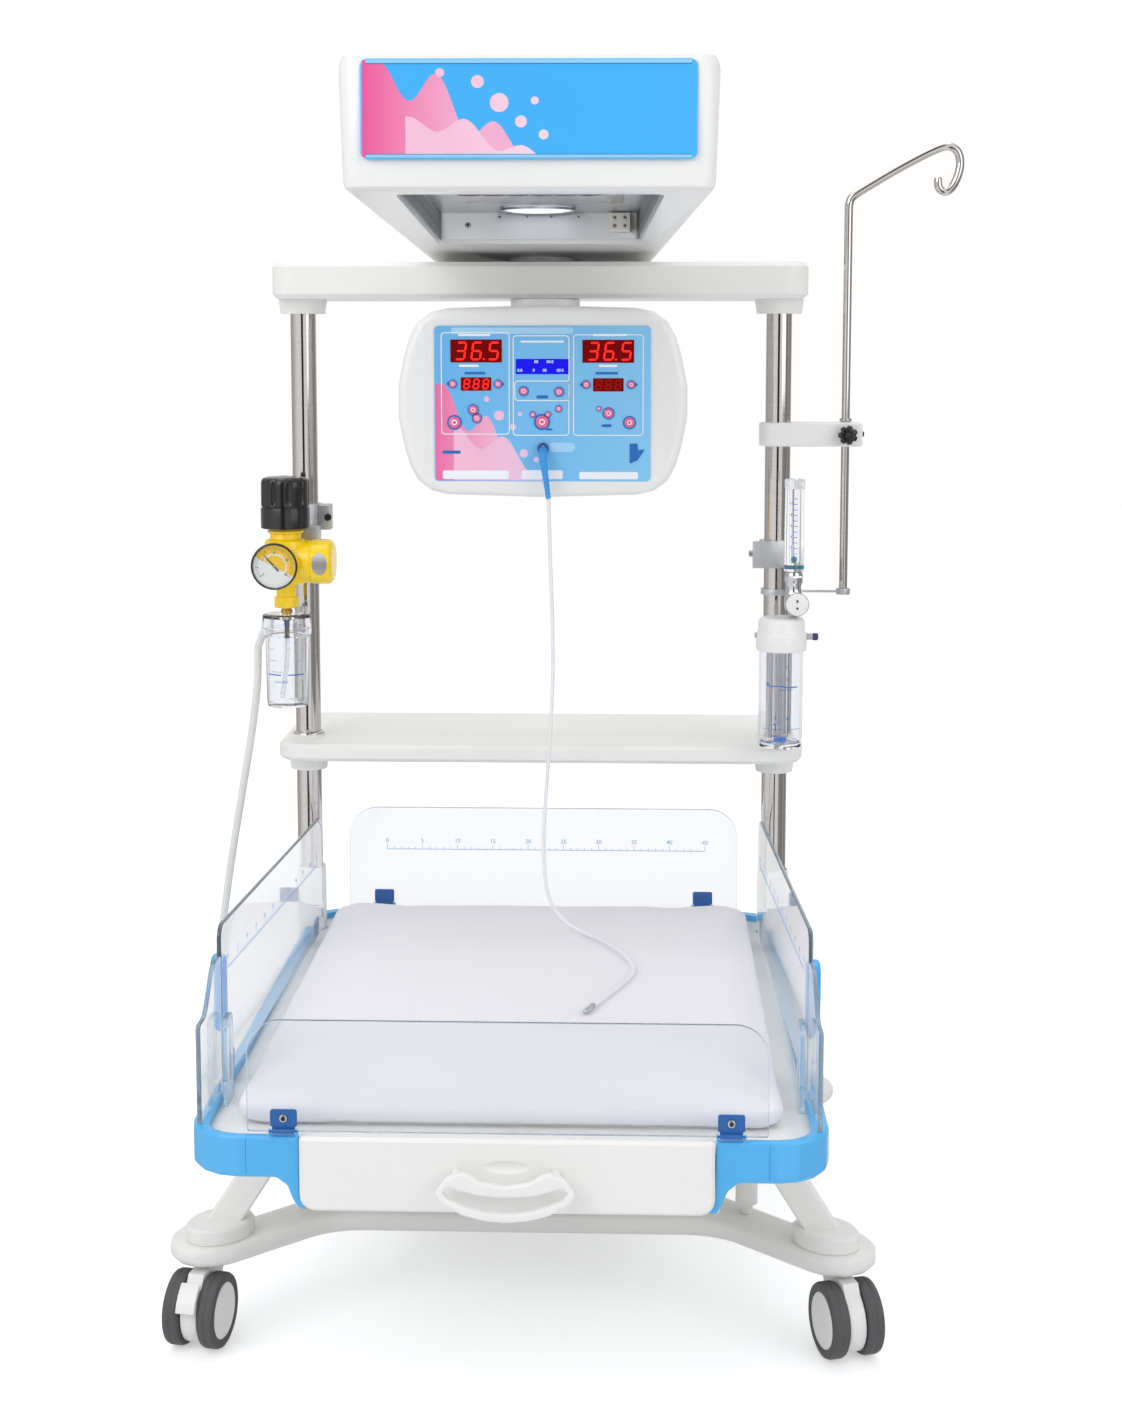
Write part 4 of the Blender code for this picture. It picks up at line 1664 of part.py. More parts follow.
def make_hose():
    """The hose hangs from the jar's barb to the floor. Its spare length is coiled behind the base."""
    start, way = barb_start()
    leave = start + way * (JAR_LID_DIAMETER / 2 + BARB_LENGTH + SEAT_GAP)
    coil = coil_route()
    arrive = coil[0]
    heading = (coil[1] - coil[0]).normalized()
    route = [leave + way * HOSE_DIAMETER] + [Vector(point) for point in HOSE_ROUTE_AFTER_BARB]
    route += [arrive - heading * HOSE_DIAMETER * 2, arrive - heading * SEAT_GAP]
    look = ((0.88, 0.88, 0.86), 0.38)
    add_tube("suction_hose", [leave] + smooth_route(route, HOSE_STEP), HOSE_DIAMETER, look, "root", 1)
    add_tube("hose_coil", coil, HOSE_DIAMETER, look, "root", 1)
    end = coil[-1]
    along = (coil[-1] - coil[-2]).normalized()
    radius, nose = CONNECTOR_DIAMETER / 2, CONNECTOR_NOSE_DIAMETER / 2
    lift = radius - HOSE_DIAMETER / 2
    nose_end = CONNECTOR_LENGTH + CONNECTOR_NOSE_LENGTH
    fitting = turned([(radius, SEAT_GAP), (radius, CONNECTOR_LENGTH), (nose, CONNECTOR_LENGTH),
                      (nose, nose_end)], 16)
    turn = along.to_track_quat("Z", "Y").to_matrix().to_4x4()
    place = Matrix.Translation(end + Vector((0, 0, lift)))
    bmesh.ops.transform(fitting, matrix=place @ turn, verts=fitting.verts)
    add_piece("hose_connector", fitting, ((0.15, 0.40, 0.80), 0.35), "root")


def coil_route():
    """A flat spiral of two turns on the floor, wound inward at a steady rate."""
    height = HOSE_DIAMETER / 2 + SEAT_GAP
    arrival = Vector(HOSE_ROUTE_AFTER_BARB[-1])
    centre = Vector((COIL_CENTRE_X, arrival.y - COIL_OUTER_RADIUS, height))
    points = []
    last = COIL_TURNS * COIL_POINTS_PER_TURN
    for i in range(last + 1):
        turn = math.pi / 2 - 2 * math.pi * i / COIL_POINTS_PER_TURN
        radius = COIL_OUTER_RADIUS - COIL_PITCH * i / COIL_POINTS_PER_TURN
        points.append(centre + Vector((math.cos(turn), math.sin(turn), 0)) * radius)
    inward = (centre - points[-1]).normalized()
    along = Vector((-inward.y, inward.x, 0)) * -1
    along = along if along.dot(points[-1] - points[-2]) > 0 else -along
    pivot = points[-1] + inward * COIL_END_BEND
    for i in range(1, COIL_END_STEPS + 1):
        turn = COIL_END_TURN * i / COIL_END_STEPS
        points.append(pivot + (along * math.sin(turn) - inward * math.cos(turn)) * COIL_END_BEND)
    return points


def make_flowmeter():
    """A chrome flowmeter with a clear tube and float, over a bubble humidifier."""
    x, y = FLOW_X, FLOW_Y
    tube_top = FLOW_TUBE_BOTTOM + FLOW_TUBE_HEIGHT
    radius, bore = FLOW_TUBE_DIAMETER / 2, FLOW_TUBE_BORE / 2
    floor = FLOW_TUBE_BOTTOM + FLOW_BORE_FLOOR
    profile = [(0, FLOW_TUBE_BOTTOM), (radius, FLOW_TUBE_BOTTOM), (radius, tube_top), (bore, tube_top),
               (bore, floor), (0, floor)]
    add_piece("flow_tube", turned(profile, 20, (x, y, 0)), (CLEAR, 0.05), "root")
    ball = FLOAT_DIAMETER / 2
    turns = [math.pi * i / 6 for i in range(1, 6)]
    low = floor + SEAT_GAP
    arc = [(ball * math.sin(turn), low + ball - ball * math.cos(turn)) for turn in turns]
    arc = [(0, low)] + arc + [(0, low + FLOAT_DIAMETER)]
    add_piece("flow_float", turned(arc, 10, (x, y, 0)), ((0.02, 0.45, 0.50), 0.35), "flow_float")
    body, stem = FLOW_BODY_DIAMETER / 2, FLOW_STEM_DIAMETER / 2
    cap_top = CAP_BOTTOM + CAP_HEIGHT
    seat = stem * 1.3
    chrome = [(stem, cap_top + SEAT_GAP), (stem, FLOW_BODY_BOTTOM), (body, FLOW_BODY_BOTTOM + stem / 2),
              (body, FLOW_TUBE_BOTTOM - stem), (seat, FLOW_TUBE_BOTTOM - stem * 0.6),
              (seat, FLOW_TUBE_BOTTOM - SEAT_GAP)]
    add_piece("flow_body", turned(chrome, 24, (x, y, 0)), (STEEL, 0.12, 1.0), "root")
    ribbed = lobed(FLOW_KNOB_X, FLOW_KNOB_Z, FLOW_KNOB_DIAMETER / 2, FLOW_KNOB_RIB_DEPTH, FLOW_KNOB_RIBS)
    back = y - body - SEAT_GAP
    knob = slab(ribbed, "XZ", back - FLOW_KNOB_LENGTH, back)
    add_piece("flow_knob", knob, (WHITE, 0.30), "flow_knob")
    make_humidifier()


def make_humidifier():
    x, y = HUMIDIFIER_X, FLOW_Y
    outer = CAP_DIAMETER / 2
    low, high = CAP_BOTTOM, CAP_BOTTOM + CAP_HEIGHT
    inside = HUMIDIFIER_JAR_DIAMETER / 2 + SEAT_GAP
    ceiling = low + HUMIDIFIER_NECK_DEPTH + SEAT_GAP
    bubbler = BUBBLER_DIAMETER / 2
    profile = [(0, BUBBLER_BOTTOM), (bubbler, BUBBLER_BOTTOM), (bubbler, ceiling), (inside, ceiling),
               (inside, low), (outer, low), (outer, high - CAP_ROUND), (outer - CAP_ROUND, high), (0, high)]
    cap = add_piece("humidifier_cap", turned(profile, 24, (x, y, 0)), (WHITE, 0.38), "root")
    spout = OUTLET_DIAMETER / 2
    outlet = turned([(spout, outer - CAP_ROUND), (spout, outer + OUTLET_LENGTH)], 16, (x, y, OUTLET_Z), "X")
    add_tool(cap, outlet, "UNION")
    jar_top = low + HUMIDIFIER_NECK_DEPTH
    jar = turned(cup(HUMIDIFIER_JAR_DIAMETER / 2, JAR_WALL, HUMIDIFIER_JAR_BOTTOM, jar_top), 20, (x, y, 0))
    add_piece("humidifier_jar", jar, (CLEAR, 0.06), "root")


def make_clamps():
    """Aluminium clamps for the gas fittings. The right one also stays the infusion pole."""
    bore = POST_RADIUS + SEAT_GAP
    outer = bore + CLAMP_WALL
    half = CLAMP_BLOCK_WIDTH / 2
    look = ((0.72, 0.72, 0.73), 0.35, 1.0)
    neck = -bore - CLAMP_WALL / 2
    collar = ring(-POST_X, 0, VACUUM_CLAMP_Z, VACUUM_CLAMP_Z + CLAMP_HEIGHT, outer, bore, 20)
    vacuum = add_piece("vacuum_clamp", collar, look, "root")
    rear = VACUUM_Y + REGULATOR_BARREL_DIAMETER / 2 + SEAT_GAP
    block = box((-POST_X - CLAMP_WALL, rear, REGULATOR_BARREL_Z),
                (-POST_X + CLAMP_BLOCK_WIDTH, neck, KNOB_BOTTOM - SEAT_GAP))
    add_tool(vacuum, block, "UNION")

    collar = ring(POST_X, 0, FLOW_CLAMP_Z, FLOW_CLAMP_Z + CLAMP_HEIGHT, outer, bore, 20)
    flow = add_piece("flow_clamp", collar, look, "root")
    body_edge = FLOW_Y + FLOW_BODY_DIAMETER / 2 + SEAT_GAP
    arm = box((FLOW_X - half / 2, body_edge, FLOW_BODY_BOTTOM + FLOW_STEM_DIAMETER),
              (FLOW_X + half / 2, neck, FLOW_TUBE_BOTTOM - SEAT_GAP))
    add_tool(flow, arm, "UNION")
    grip = box((POST_X - CLAMP_BLOCK_WIDTH * 1.4, -outer - CLAMP_WALL, FLOW_CLAMP_Z),
               (POST_X, neck, FLOW_CLAMP_Z + CLAMP_HEIGHT))
    add_tool(flow, grip, "UNION")
    low, high = STAY_Z - STAY_RING_HEIGHT / 2, STAY_Z + STAY_RING_HEIGHT / 2
    add_tool(flow, ring(POST_X, 0, low, high, bore + STAY_RING_WALL, bore, 20), "UNION")
    strip = box((POST_X - STAY_RING_WALL, bore + STAY_RING_WALL / 3, low),
                (POST_X + STAY_RING_WALL, bore + STAY_RING_WALL, FLOW_CLAMP_Z + CLAMP_WALL))
    add_tool(flow, strip, "UNION")
    pole_bore = POLE_DIAMETER / 2 + SEAT_GAP
    add_tool(flow, ring(POLE_X, 0, low, high, pole_bore + STAY_RING_WALL, pole_bore, 14), "UNION")
    wire = STAY_DIAMETER / 2
    stay = turned([(wire, POST_X + bore + STAY_RING_WALL / 2),
                   (wire, POLE_X - pole_bore - STAY_RING_WALL / 2)], 8, (0, 0, STAY_Z), "X")
    add_tool(flow, stay, "UNION")


def make_infusion_pole():
    """A white bracket on the right post, with a star knob that clamps the bent steel pole and its hook."""
    low, high = IV_BRACKET_BOTTOM, IV_BRACKET_BOTTOM + IV_BRACKET_HEIGHT
    depth = IV_BRACKET_HALF_DEPTH
    outline = rounded_box_outline(IV_BRACKET_LEFT, IV_BRACKET_RIGHT, -depth, depth,
                                  [IV_BRACKET_CORNER, IV_BRACKET_END_CORNER, IV_BRACKET_END_CORNER,
                                   IV_BRACKET_CORNER], 4)
    bracket = add_piece("iv_bracket", slab(outline, "XY", low, high), (WHITE, 0.40), "root")
    add_bevel(bracket, IV_BRACKET_EDGE)
    for x, diameter in ((POST_X, POST_DIAMETER), (POLE_X, POLE_DIAMETER)):
        add_tool(bracket, rod(x, 0, low - CUT_OVERRUN, high + CUT_OVERRUN, diameter + SEAT_GAP * 2, 20))
    middle = (POLE_BOTTOM + POLE_BEND_Z) / 2
    straight = [(POLE_X, 0, POLE_BOTTOM), (POLE_X, 0, middle), (POLE_X, 0, POLE_BEND_Z)]
    bend = smooth_route([(POLE_X, 0, POLE_BEND_Z)] + [(x, 0, z) for x, z in HOOK_ROUTE], POLE_DIAMETER * 1.1)
    route = [Vector(point) for point in straight] + bend[1:]
    add_tube("iv_pole", route, POLE_DIAMETER, (STEEL, 0.15, 1.0), "iv_pole", 2)
    middle = (low + high) / 2
    front = -depth - SEAT_GAP
    stem = STAR_KNOB_STEM_DIAMETER / 2
    star = lobed(POLE_X, middle, STAR_KNOB_DIAMETER / 2, STAR_KNOB_LOBE_DEPTH * 2, STAR_KNOB_LOBES, 5)
    head = front - STAR_KNOB_STEM_LENGTH
    disc = slab(star, "XZ", head - STAR_KNOB_THICKNESS, head)
    knob = add_piece("iv_knob", disc, ((0.02, 0.02, 0.02), 0.45), "iv_knob")
    add_tool(knob, turned([(stem, head - CUT_OVERRUN), (stem, front)], 16, (POLE_X, 0, middle), "Y"), "UNION")


def stand_on_origin():
    """Moves the whole part so that the middle of its outline is above the origin, cords left out."""
    bpy.context.view_layer.update()
    graph = bpy.context.evaluated_depsgraph_get()
    cords = {"probe_cable", "probe_tip", "suction_hose", "hose_coil", "hose_connector"}
    lows, highs = [], []
    for obj in bpy.data.objects:
        if obj.hide_render or obj.type == "EMPTY" or obj.name in cords:
            continue
        shape = obj.evaluated_get(graph)
        data = shape.to_mesh()
        places = [obj.matrix_world @ vertex.co for vertex in data.vertices]
        lows.append([min(place[i] for place in places) for i in range(3)])
        highs.append([max(place[i] for place in places) for i in range(3)])
        shape.to_mesh_clear()
    low = [min(corner[i] for corner in lows) for i in range(3)]
    high = [max(corner[i] for corner in highs) for i in range(3)]
    root = CARRIERS["root"][0]
    root.location = (-(low[0] + high[0]) / 2, -(low[1] + high[1]) / 2, -low[2])
    bpy.context.view_layer.update()


def build():
    start_clean()
    add_carriers()
    make_base()
    for corner in ("fl", "fr", "rl", "rr"):
        make_caster(corner)
    make_brake()
    make_deck()
    make_bumpers()
    add_channels(bpy.data.objects["bed_supports"])
    make_drawer()
    make_mattress()
    make_end_panel("front_panel", FRONT_PANEL_HALF_WIDTH, FRONT_PANEL_TOP, FRONT_PANEL_CORNER,
                   FRONT_PANEL_Y)
    make_end_panel("rear_panel", REAR_PANEL_HALF_WIDTH, REAR_PANEL_TOP, REAR_PANEL_CORNER, REAR_PANEL_Y)
    for side in (-1, 1):
        make_side_panel(side)
        make_panel_guide(side)
    make_posts()
    make_shelf()
    make_crossbar()
    make_hood()
    make_control_box()
    make_probe()
    make_vacuum_regulator()
    make_hose()
    make_flowmeter()
    make_clamps()
    make_infusion_pole()
    stand_on_origin()


build()
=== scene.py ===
"""An infant radiant warmer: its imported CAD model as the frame, dressed piece by piece."""

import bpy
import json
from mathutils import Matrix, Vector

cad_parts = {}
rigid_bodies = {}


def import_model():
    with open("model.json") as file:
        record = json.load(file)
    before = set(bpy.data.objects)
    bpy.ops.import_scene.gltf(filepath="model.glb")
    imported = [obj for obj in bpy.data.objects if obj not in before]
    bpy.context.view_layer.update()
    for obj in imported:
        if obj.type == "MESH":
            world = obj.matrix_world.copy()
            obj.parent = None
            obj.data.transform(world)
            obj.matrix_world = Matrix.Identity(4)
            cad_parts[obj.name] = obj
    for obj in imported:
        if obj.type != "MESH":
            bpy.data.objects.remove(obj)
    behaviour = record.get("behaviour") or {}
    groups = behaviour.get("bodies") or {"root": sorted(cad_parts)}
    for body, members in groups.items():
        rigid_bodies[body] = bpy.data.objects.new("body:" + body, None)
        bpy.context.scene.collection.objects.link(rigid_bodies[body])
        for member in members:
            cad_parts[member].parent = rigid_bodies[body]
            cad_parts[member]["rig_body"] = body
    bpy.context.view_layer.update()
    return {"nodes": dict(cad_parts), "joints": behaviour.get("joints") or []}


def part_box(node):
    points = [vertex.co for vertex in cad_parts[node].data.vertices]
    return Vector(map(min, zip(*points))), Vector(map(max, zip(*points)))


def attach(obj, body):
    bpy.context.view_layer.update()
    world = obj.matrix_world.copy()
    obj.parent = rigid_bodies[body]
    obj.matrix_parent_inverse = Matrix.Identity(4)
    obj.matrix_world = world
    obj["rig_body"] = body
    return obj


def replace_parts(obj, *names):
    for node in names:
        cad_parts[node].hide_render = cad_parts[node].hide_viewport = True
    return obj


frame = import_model()

import json
import math
import bpy
import numpy as np
from mathutils import Matrix, Vector

# ---- Camera ----
# It stands in front of the bed, a little to the right of its middle, above the mattress and
# below the hood. Places are given from the middle of the two posts, on the floor.
left_post_low, left_post_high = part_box("post_left")
right_post_low, right_post_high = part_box("post_right")
MIDDLE = Vector(((left_post_low[0] + right_post_high[0]) / 2, (left_post_low[1] + left_post_high[1]) / 2, 0))


def at(x, y, z):
    """A place in the frame from a place measured from the middle of the two posts."""
    return MIDDLE + Vector((x, y, z))


camera_data = bpy.data.cameras.new("front_camera")
camera_data.sensor_width = 36
camera_data.lens = 54.41
camera_data.shift_y = -0.086
camera = bpy.data.objects.new("front_camera", camera_data)
bpy.context.collection.objects.link(camera)
camera.location = at(0.1263, -2.8686, 1.1545)
camera.rotation_euler = (math.pi / 2 - 0.1146, 0, 0.0343)
bpy.context.scene.camera = camera
bpy.context.scene.view_settings.view_transform = "Standard"

# ---- Floor, studio and lamps ----
# A white sweep of floor that keeps the soft shadow, a pale room, and three broad lamps. Metal sees
# the room with its darker walls, and the camera sees plain white.
FLOOR_SIDE = 24
ROOM_LIGHT = 0.72
bpy.ops.object.select_all(action="DESELECT")
bpy.ops.mesh.primitive_plane_add(size=FLOOR_SIDE, location=(0, 0, 0))
floor = bpy.context.object
floor.name = "studio_floor"


def new_finish(name):
    """A new material, its nodes and its surface shader."""
    made = bpy.data.materials.new(name)
    made.use_nodes = True
    return made, made.node_tree, made.node_tree.nodes["Principled BSDF"]


def add_node(tree, kind, inputs=None, **settings):
    """A node with its settings, its plain input values, and its links."""
    node = tree.nodes.new("ShaderNode" + kind)
    for name, value in settings.items():
        setattr(node, name, value)
    fill(node, inputs or {})
    return node


def fill(node, inputs):
    """Gives a node's inputs their plain values and their links."""
    for name, value in inputs.items():
        socket = node.inputs[name]
        if isinstance(value, bpy.types.NodeSocket):
            node.id_data.links.new(value, socket)
        else:
            socket.default_value = value


def on_object(tree):
    """The place on the object."""
    return add_node(tree, "TexCoord").outputs["Object"]


def ranged(tree, value, low, high, from_low=0.0, from_high=1.0):
    """A value passed from one range to another."""
    return add_node(tree, "MapRange", {"Value": value, "From Min": from_low, "From Max": from_high, "To Min": low,
        "To Max": high}).outputs["Result"]


def bumped(tree, height, strength, distance, under=None):
    """A relief over the surface, or over another relief."""
    inputs = {"Height": height, "Strength": strength, "Distance": distance}
    return add_node(tree, "Bump", {**inputs, "Normal": under} if under else inputs).outputs[0]


def combined(tree, operation, *values):
    """A sum made of one or two values."""
    return add_node(tree, "Math", dict(enumerate(values)), operation=operation).outputs[0]


def linear(red, green, blue):
    """A colour as it reads on a screen, 0 to 255, made linear."""
    shares = (red / 255, green / 255, blue / 255)
    return tuple(s / 12.92 if s <= 0.04045 else ((s + 0.055) / 1.055) ** 2.4 for s in shares) + (1.0,)


WHITE = (1, 1, 1, 1)
FLOOR_GLOW = 0.43
floor_finish, tree, surface = new_finish("floor_paper")
fill(surface, {"Base Color": linear(232, 233, 235), "Roughness": 0.9, "Specular IOR Level": 0.0})
path = add_node(tree, "LightPath").outputs
seen = combined(tree, "MAXIMUM", path["Is Camera Ray"], path["Is Transmission Ray"])
glow = add_node(tree, "Emission", {"Color": WHITE, "Strength": combined(tree, "MULTIPLY", seen, FLOOR_GLOW)})
paper = add_node(tree, "AddShader", {0: surface.outputs[0], 1: glow.outputs[0]})
open_air = add_node(tree, "BsdfTransparent")
below = add_node(tree, "MixShader", {0: path["Is Glossy Ray"], 1: paper.outputs[0], 2: open_air.outputs[0]})
fill(tree.nodes["Material Output"], {"Surface": below.outputs[0]})
floor.data.materials.append(floor_finish)
world = bpy.data.worlds.new("studio_room")
bpy.context.scene.world = world
world.use_nodes = True
tree = world.node_tree
tree.nodes.clear()
parts = add_node(tree, "SeparateXYZ", {0: add_node(tree, "TexCoord").outputs["Generated"]}).outputs
bearing = combined(tree, "ARCTAN2", parts["X"], combined(tree, "MULTIPLY", parts["Y"], -1.0))
walls = add_node(tree, "ValToRGB", {"Fac": ranged(tree, bearing, 0, 1, -math.pi, math.pi)})
WALLS = ((-180, 0.9), (-158, 0.84), (-140, 0.42), (-95, 0.62), (-55, 1.0), (-14, 1.0), (-11, 0.03), (5, 0.03),
    (8, 1.0), (30, 1.0), (44, 0.34), (80, 0.26), (92, 0.5), (104, 0.28), (140, 0.44), (158, 0.84), (180, 0.9))
stops = walls.color_ramp.elements
for stop, position, level in ((stops[0], 0, WALLS[0][1]), (stops[1], 1, WALLS[-1][1])):
    stop.position = position
    stop.color = (level,) * 3 + (1,)
for degrees, level in WALLS[1:-1]:
    stops.new(degrees / 360 + 0.5).color = (level, level * 0.985, level * 0.97, 1)
ceiling = ranged(tree, combined(tree, "ABSOLUTE", parts["Z"]), 0, 1, 0.55, 0.9)
seen_in_metal = add_node(tree, "Mix", {0: ceiling, 6: walls.outputs["Color"], 7: WHITE}, data_type="RGBA")
path = add_node(tree, "LightPath").outputs
clear = combined(tree, "MAXIMUM", path["Is Camera Ray"], path["Is Transmission Ray"])
metal_view, white_view, room_light = (add_node(tree, "Background", {"Color": colour, "Strength": strength}).outputs[0]
    for colour, strength in ((seen_in_metal.outputs[2], 1.0), (WHITE, 1.0), (WHITE, ROOM_LIGHT)))
lighting = add_node(tree, "MixShader", {0: path["Is Glossy Ray"], 1: room_light, 2: metal_view}).outputs[0]
seen = add_node(tree, "MixShader", {0: clear, 1: lighting, 2: white_view}).outputs[0]
add_node(tree, "OutputWorld", {"Surface": seen})
for name, place, aim, side, watts in (("left_lamp", (-1.9, -2.6, 2.6), (0, -0.2, 0.7), 2.2, 36),
        ("right_lamp", (2.4, -2.2, 1.9), (0, -0.2, 0.7), 2.0, 18), ("top_lamp", (0.0, 0.6, 3.4), (0, -0.1, 0.3), 2.4,
        24)):
    lamp_data = bpy.data.lights.new(name, "AREA")
    lamp_data.size = side
    lamp_data.energy = watts
    lamp = bpy.data.objects.new(name, lamp_data)
    bpy.context.collection.objects.link(lamp)
    lamp.location = at(*place)
    lamp.rotation_euler = (at(*aim) - at(*place)).to_track_quat("-Z", "Y").to_euler()

# ---- Suction hose ----
# A 10.5 mm clear-white silicone hose pushed on the jar's barb. It hangs to the floor behind the
# left side, and its spare length lies coiled behind the base and ends in a push-on connector.
def mm(figures):
    """Points written in millimetres, with a comma between them, in metres."""
    return [tuple(float(figure) / 1000 for figure in point.split()) for point in figures.split(",")]


def smooth_route(points, step):
    """Evenly spaced points on a smooth curve through a route's own points."""
    route = [Vector(point) for point in points]
    ends = [route[0] * 2 - route[1]] + route + [route[-1] * 2 - route[-2]]
    fine = []
    for a, b, c, d in zip(ends, ends[1:], ends[2:], ends[3:]):
        for i in range(24):
            t = i / 24
            fine.append(0.5 * (2 * b + (c - a) * t + (2 * a - 5 * b + 4 * c - d) * t * t + (3 * b - a - 3 * c + d)
                * t ** 3))
    fine.append(route[-1])
    gone = [0.0]
    for here, there in zip(fine, fine[1:]):
        gone.append(gone[-1] + (there - here).length)
    count = max(2, round(gone[-1] / step))
    even = []
    for i in range(count + 1):
        aim = gone[-1] * i / count
        index = min(max(0, int(np.searchsorted(gone, aim)) - 1), len(gone) - 2)
        span = gone[index + 1] - gone[index]
        even.append(fine[index].lerp(fine[index + 1], min(1.0, (aim - gone[index]) / span)))
    return even


def round_tube(name, points, diameter, look):
    """A closed-ended tube along the points, as a curve of one open spline."""
    data = bpy.data.curves.new(name, "CURVE")
    data.dimensions = "3D"
    data.bevel_depth = diameter / 2
    data.bevel_resolution = 6
    data.use_fill_caps = True
    spline = data.splines.new("POLY")
    spline.points.add(len(points) - 1)
    for point, place in zip(spline.points, points):
        point.co = (*place, 1.0)
    spline.use_smooth = True
    tube = bpy.data.objects.new(name, data)
    bpy.context.collection.objects.link(tube)
    data.materials.append(look)
    return tube


def moulded(name, colour, roughness=0.4, grain=0.0012, relief=0.02, mottle=0.03, metallic=0.0, coat=0.0,
        hollow_shading=0.0):
    """A moulded, painted or cast surface: broad unevenness of tone, fine grain in gloss and relief, and, if asked,
    painted shade that darkens its hollows.
    """
    made, tree, surface = new_finish(name)
    place = on_object(tree)
    broad = add_node(tree, "TexNoise", {"Vector": place, "Scale": 5.0, "Detail": 3.0})
    fine = add_node(tree, "TexNoise", {"Vector": place, "Scale": 1 / grain, "Detail": 4.0, "Roughness": 0.6})
    cloud = add_node(tree, "MapRange", {"Value": broad.outputs[0], "From Min": 0.3, "From Max": 0.7})
    colour = linear(*colour)
    deep = tuple(c * (1 - mottle) for c in colour[:3]) + (1,)
    pale = tuple(min(1.0, c * (1 + mottle)) for c in colour[:3]) + (1,)
    top = add_node(tree, "Mix", {0: cloud.outputs[0], 6: deep, 7: pale}, data_type="RGBA").outputs[2]
    # Painted shade: where the surface curves inward (low pointiness), the colour darkens towards 55%, as shade falls
    # in hollows and creases.
    if hollow_shading:
        edge = add_node(tree, "NewGeometry")
        shade_share = ranged(tree, edge.outputs["Pointiness"], 0, hollow_shading, 0.5, 0.38)
        shade_colour = tuple(c * 0.55 for c in colour[:3]) + (1,)
        top = add_node(tree, "Mix", {0: shade_share, 6: top, 7: shade_colour}, data_type="RGBA").outputs[2]
    fill(surface, {"Base Color": top, "Metallic": metallic, "Coat Weight": coat, "Coat Roughness": 0.12,
        "Roughness": ranged(tree, fine.outputs[0], roughness * 0.85, min(1, roughness * 1.15), 0.25, 0.75),
        "Normal": bumped(tree, fine.outputs[0], relief, 0.0006)})
    return made


HOSE_DIAMETER = 0.0105
BARB_WAY = Vector((math.cos(math.radians(125)), math.sin(math.radians(125)), 0))
hose_start = at(-0.3345, -0.085, 0.779) + BARB_WAY * 0.0448
HOSE_DROP = mm("-374 -29 760, -385 -22 733, -385.7 -24 689.4, -394.4 -20 624.4, -410.1 -16 537.2, -427.7 -14 438.4, "
    "-442.5 -14 338.2, -455.2 -14 226.5, -463.5 -15 130, -468 -15 60, -471 -0.7 21, -478 34 5.8, -474 85 5.8, "
    "-447 134 5.8, -396 170 5.8, -316 189 5.8, -240 190 5.8")
COIL_STEPS = 24
COIL_TURNS = 2
coil_centre = at(-0.18, 0.122, HOSE_DIAMETER / 2 + 0.0003)
coil_points = []
for i in range(COIL_TURNS * COIL_STEPS + 1):
    turn = math.pi / 2 - 2 * math.pi * i / COIL_STEPS
    coil_points.append(coil_centre + Vector((math.cos(turn), math.sin(turn), 0)) * (0.068 - 0.0112 * i / COIL_STEPS))
inward = (coil_centre - coil_points[-1]).normalized()
onward = Vector((inward.y, -inward.x, 0))
onward = onward if onward.dot(coil_points[-1] - coil_points[-2]) > 0 else -onward
bend_centre = coil_points[-1] + inward * 0.02
for i in range(1, 7):
    turn = math.radians(84) * i / 6
    coil_points.append(bend_centre + (onward * math.sin(turn) - inward * math.cos(turn)) * 0.02)
first_way = (coil_points[1] - coil_points[0]).normalized()
hose_route = [hose_start + BARB_WAY * HOSE_DIAMETER] + [at(*point) for point in HOSE_DROP]
hose_route += [coil_points[0] - first_way * 0.021, coil_points[0] - first_way * 0.0003]
hose_points = [hose_start] + smooth_route(hose_route, 0.026) + coil_points
hose_silicone = moulded("hose_silicone", (228, 229, 226), 0.32, 0.004, 0.03, 0.02)
fill(hose_silicone.node_tree.nodes["Principled BSDF"], {"Subsurface Weight": 0.15, "Subsurface Scale": 0.004,
    "Sheen Weight": 0.1})
hose = round_tube("suction_hose_run", hose_points, HOSE_DIAMETER, hose_silicone)
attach(hose, "frame")
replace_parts(hose, "suction_hose", "hose_coil")


def pick(piece):
    """Only this piece is selected and active."""
    bpy.ops.object.select_all(action="DESELECT")
    piece.select_set(True)
    bpy.context.view_layer.objects.active = piece


def settle(piece, look, body="frame", crease=35):
    """Smooth shading up to the crease, the finish, and the body that the piece rides on."""
    pick(piece)
    bpy.ops.object.shade_smooth_by_angle(angle=math.radians(crease), keep_sharp_edges=False)
    piece.data.materials.clear()
    piece.data.materials.append(look)
    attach(piece, body)
    return piece


OUTWARDS = (bpy.ops.mesh.normals_make_consistent, {"inside": False})


def in_edit(*steps):
    """Runs operators in edit mode, each on all of the picked piece."""
    bpy.ops.object.mode_set(mode="EDIT")
    for operator, settings in steps:
        bpy.ops.mesh.select_all(action="SELECT")
        operator(**settings)
    bpy.ops.object.mode_set(mode="OBJECT")


def new_piece(name, points, edges, faces, place=Matrix()):
    """A picked piece made of points, edges and faces, set in its place."""
    mesh = bpy.data.meshes.new(name)
    mesh.from_pydata(points, edges, faces)
    mesh.transform(place)
    piece = bpy.data.objects.new(name, mesh)
    bpy.context.collection.objects.link(piece)
    pick(piece)
    return piece


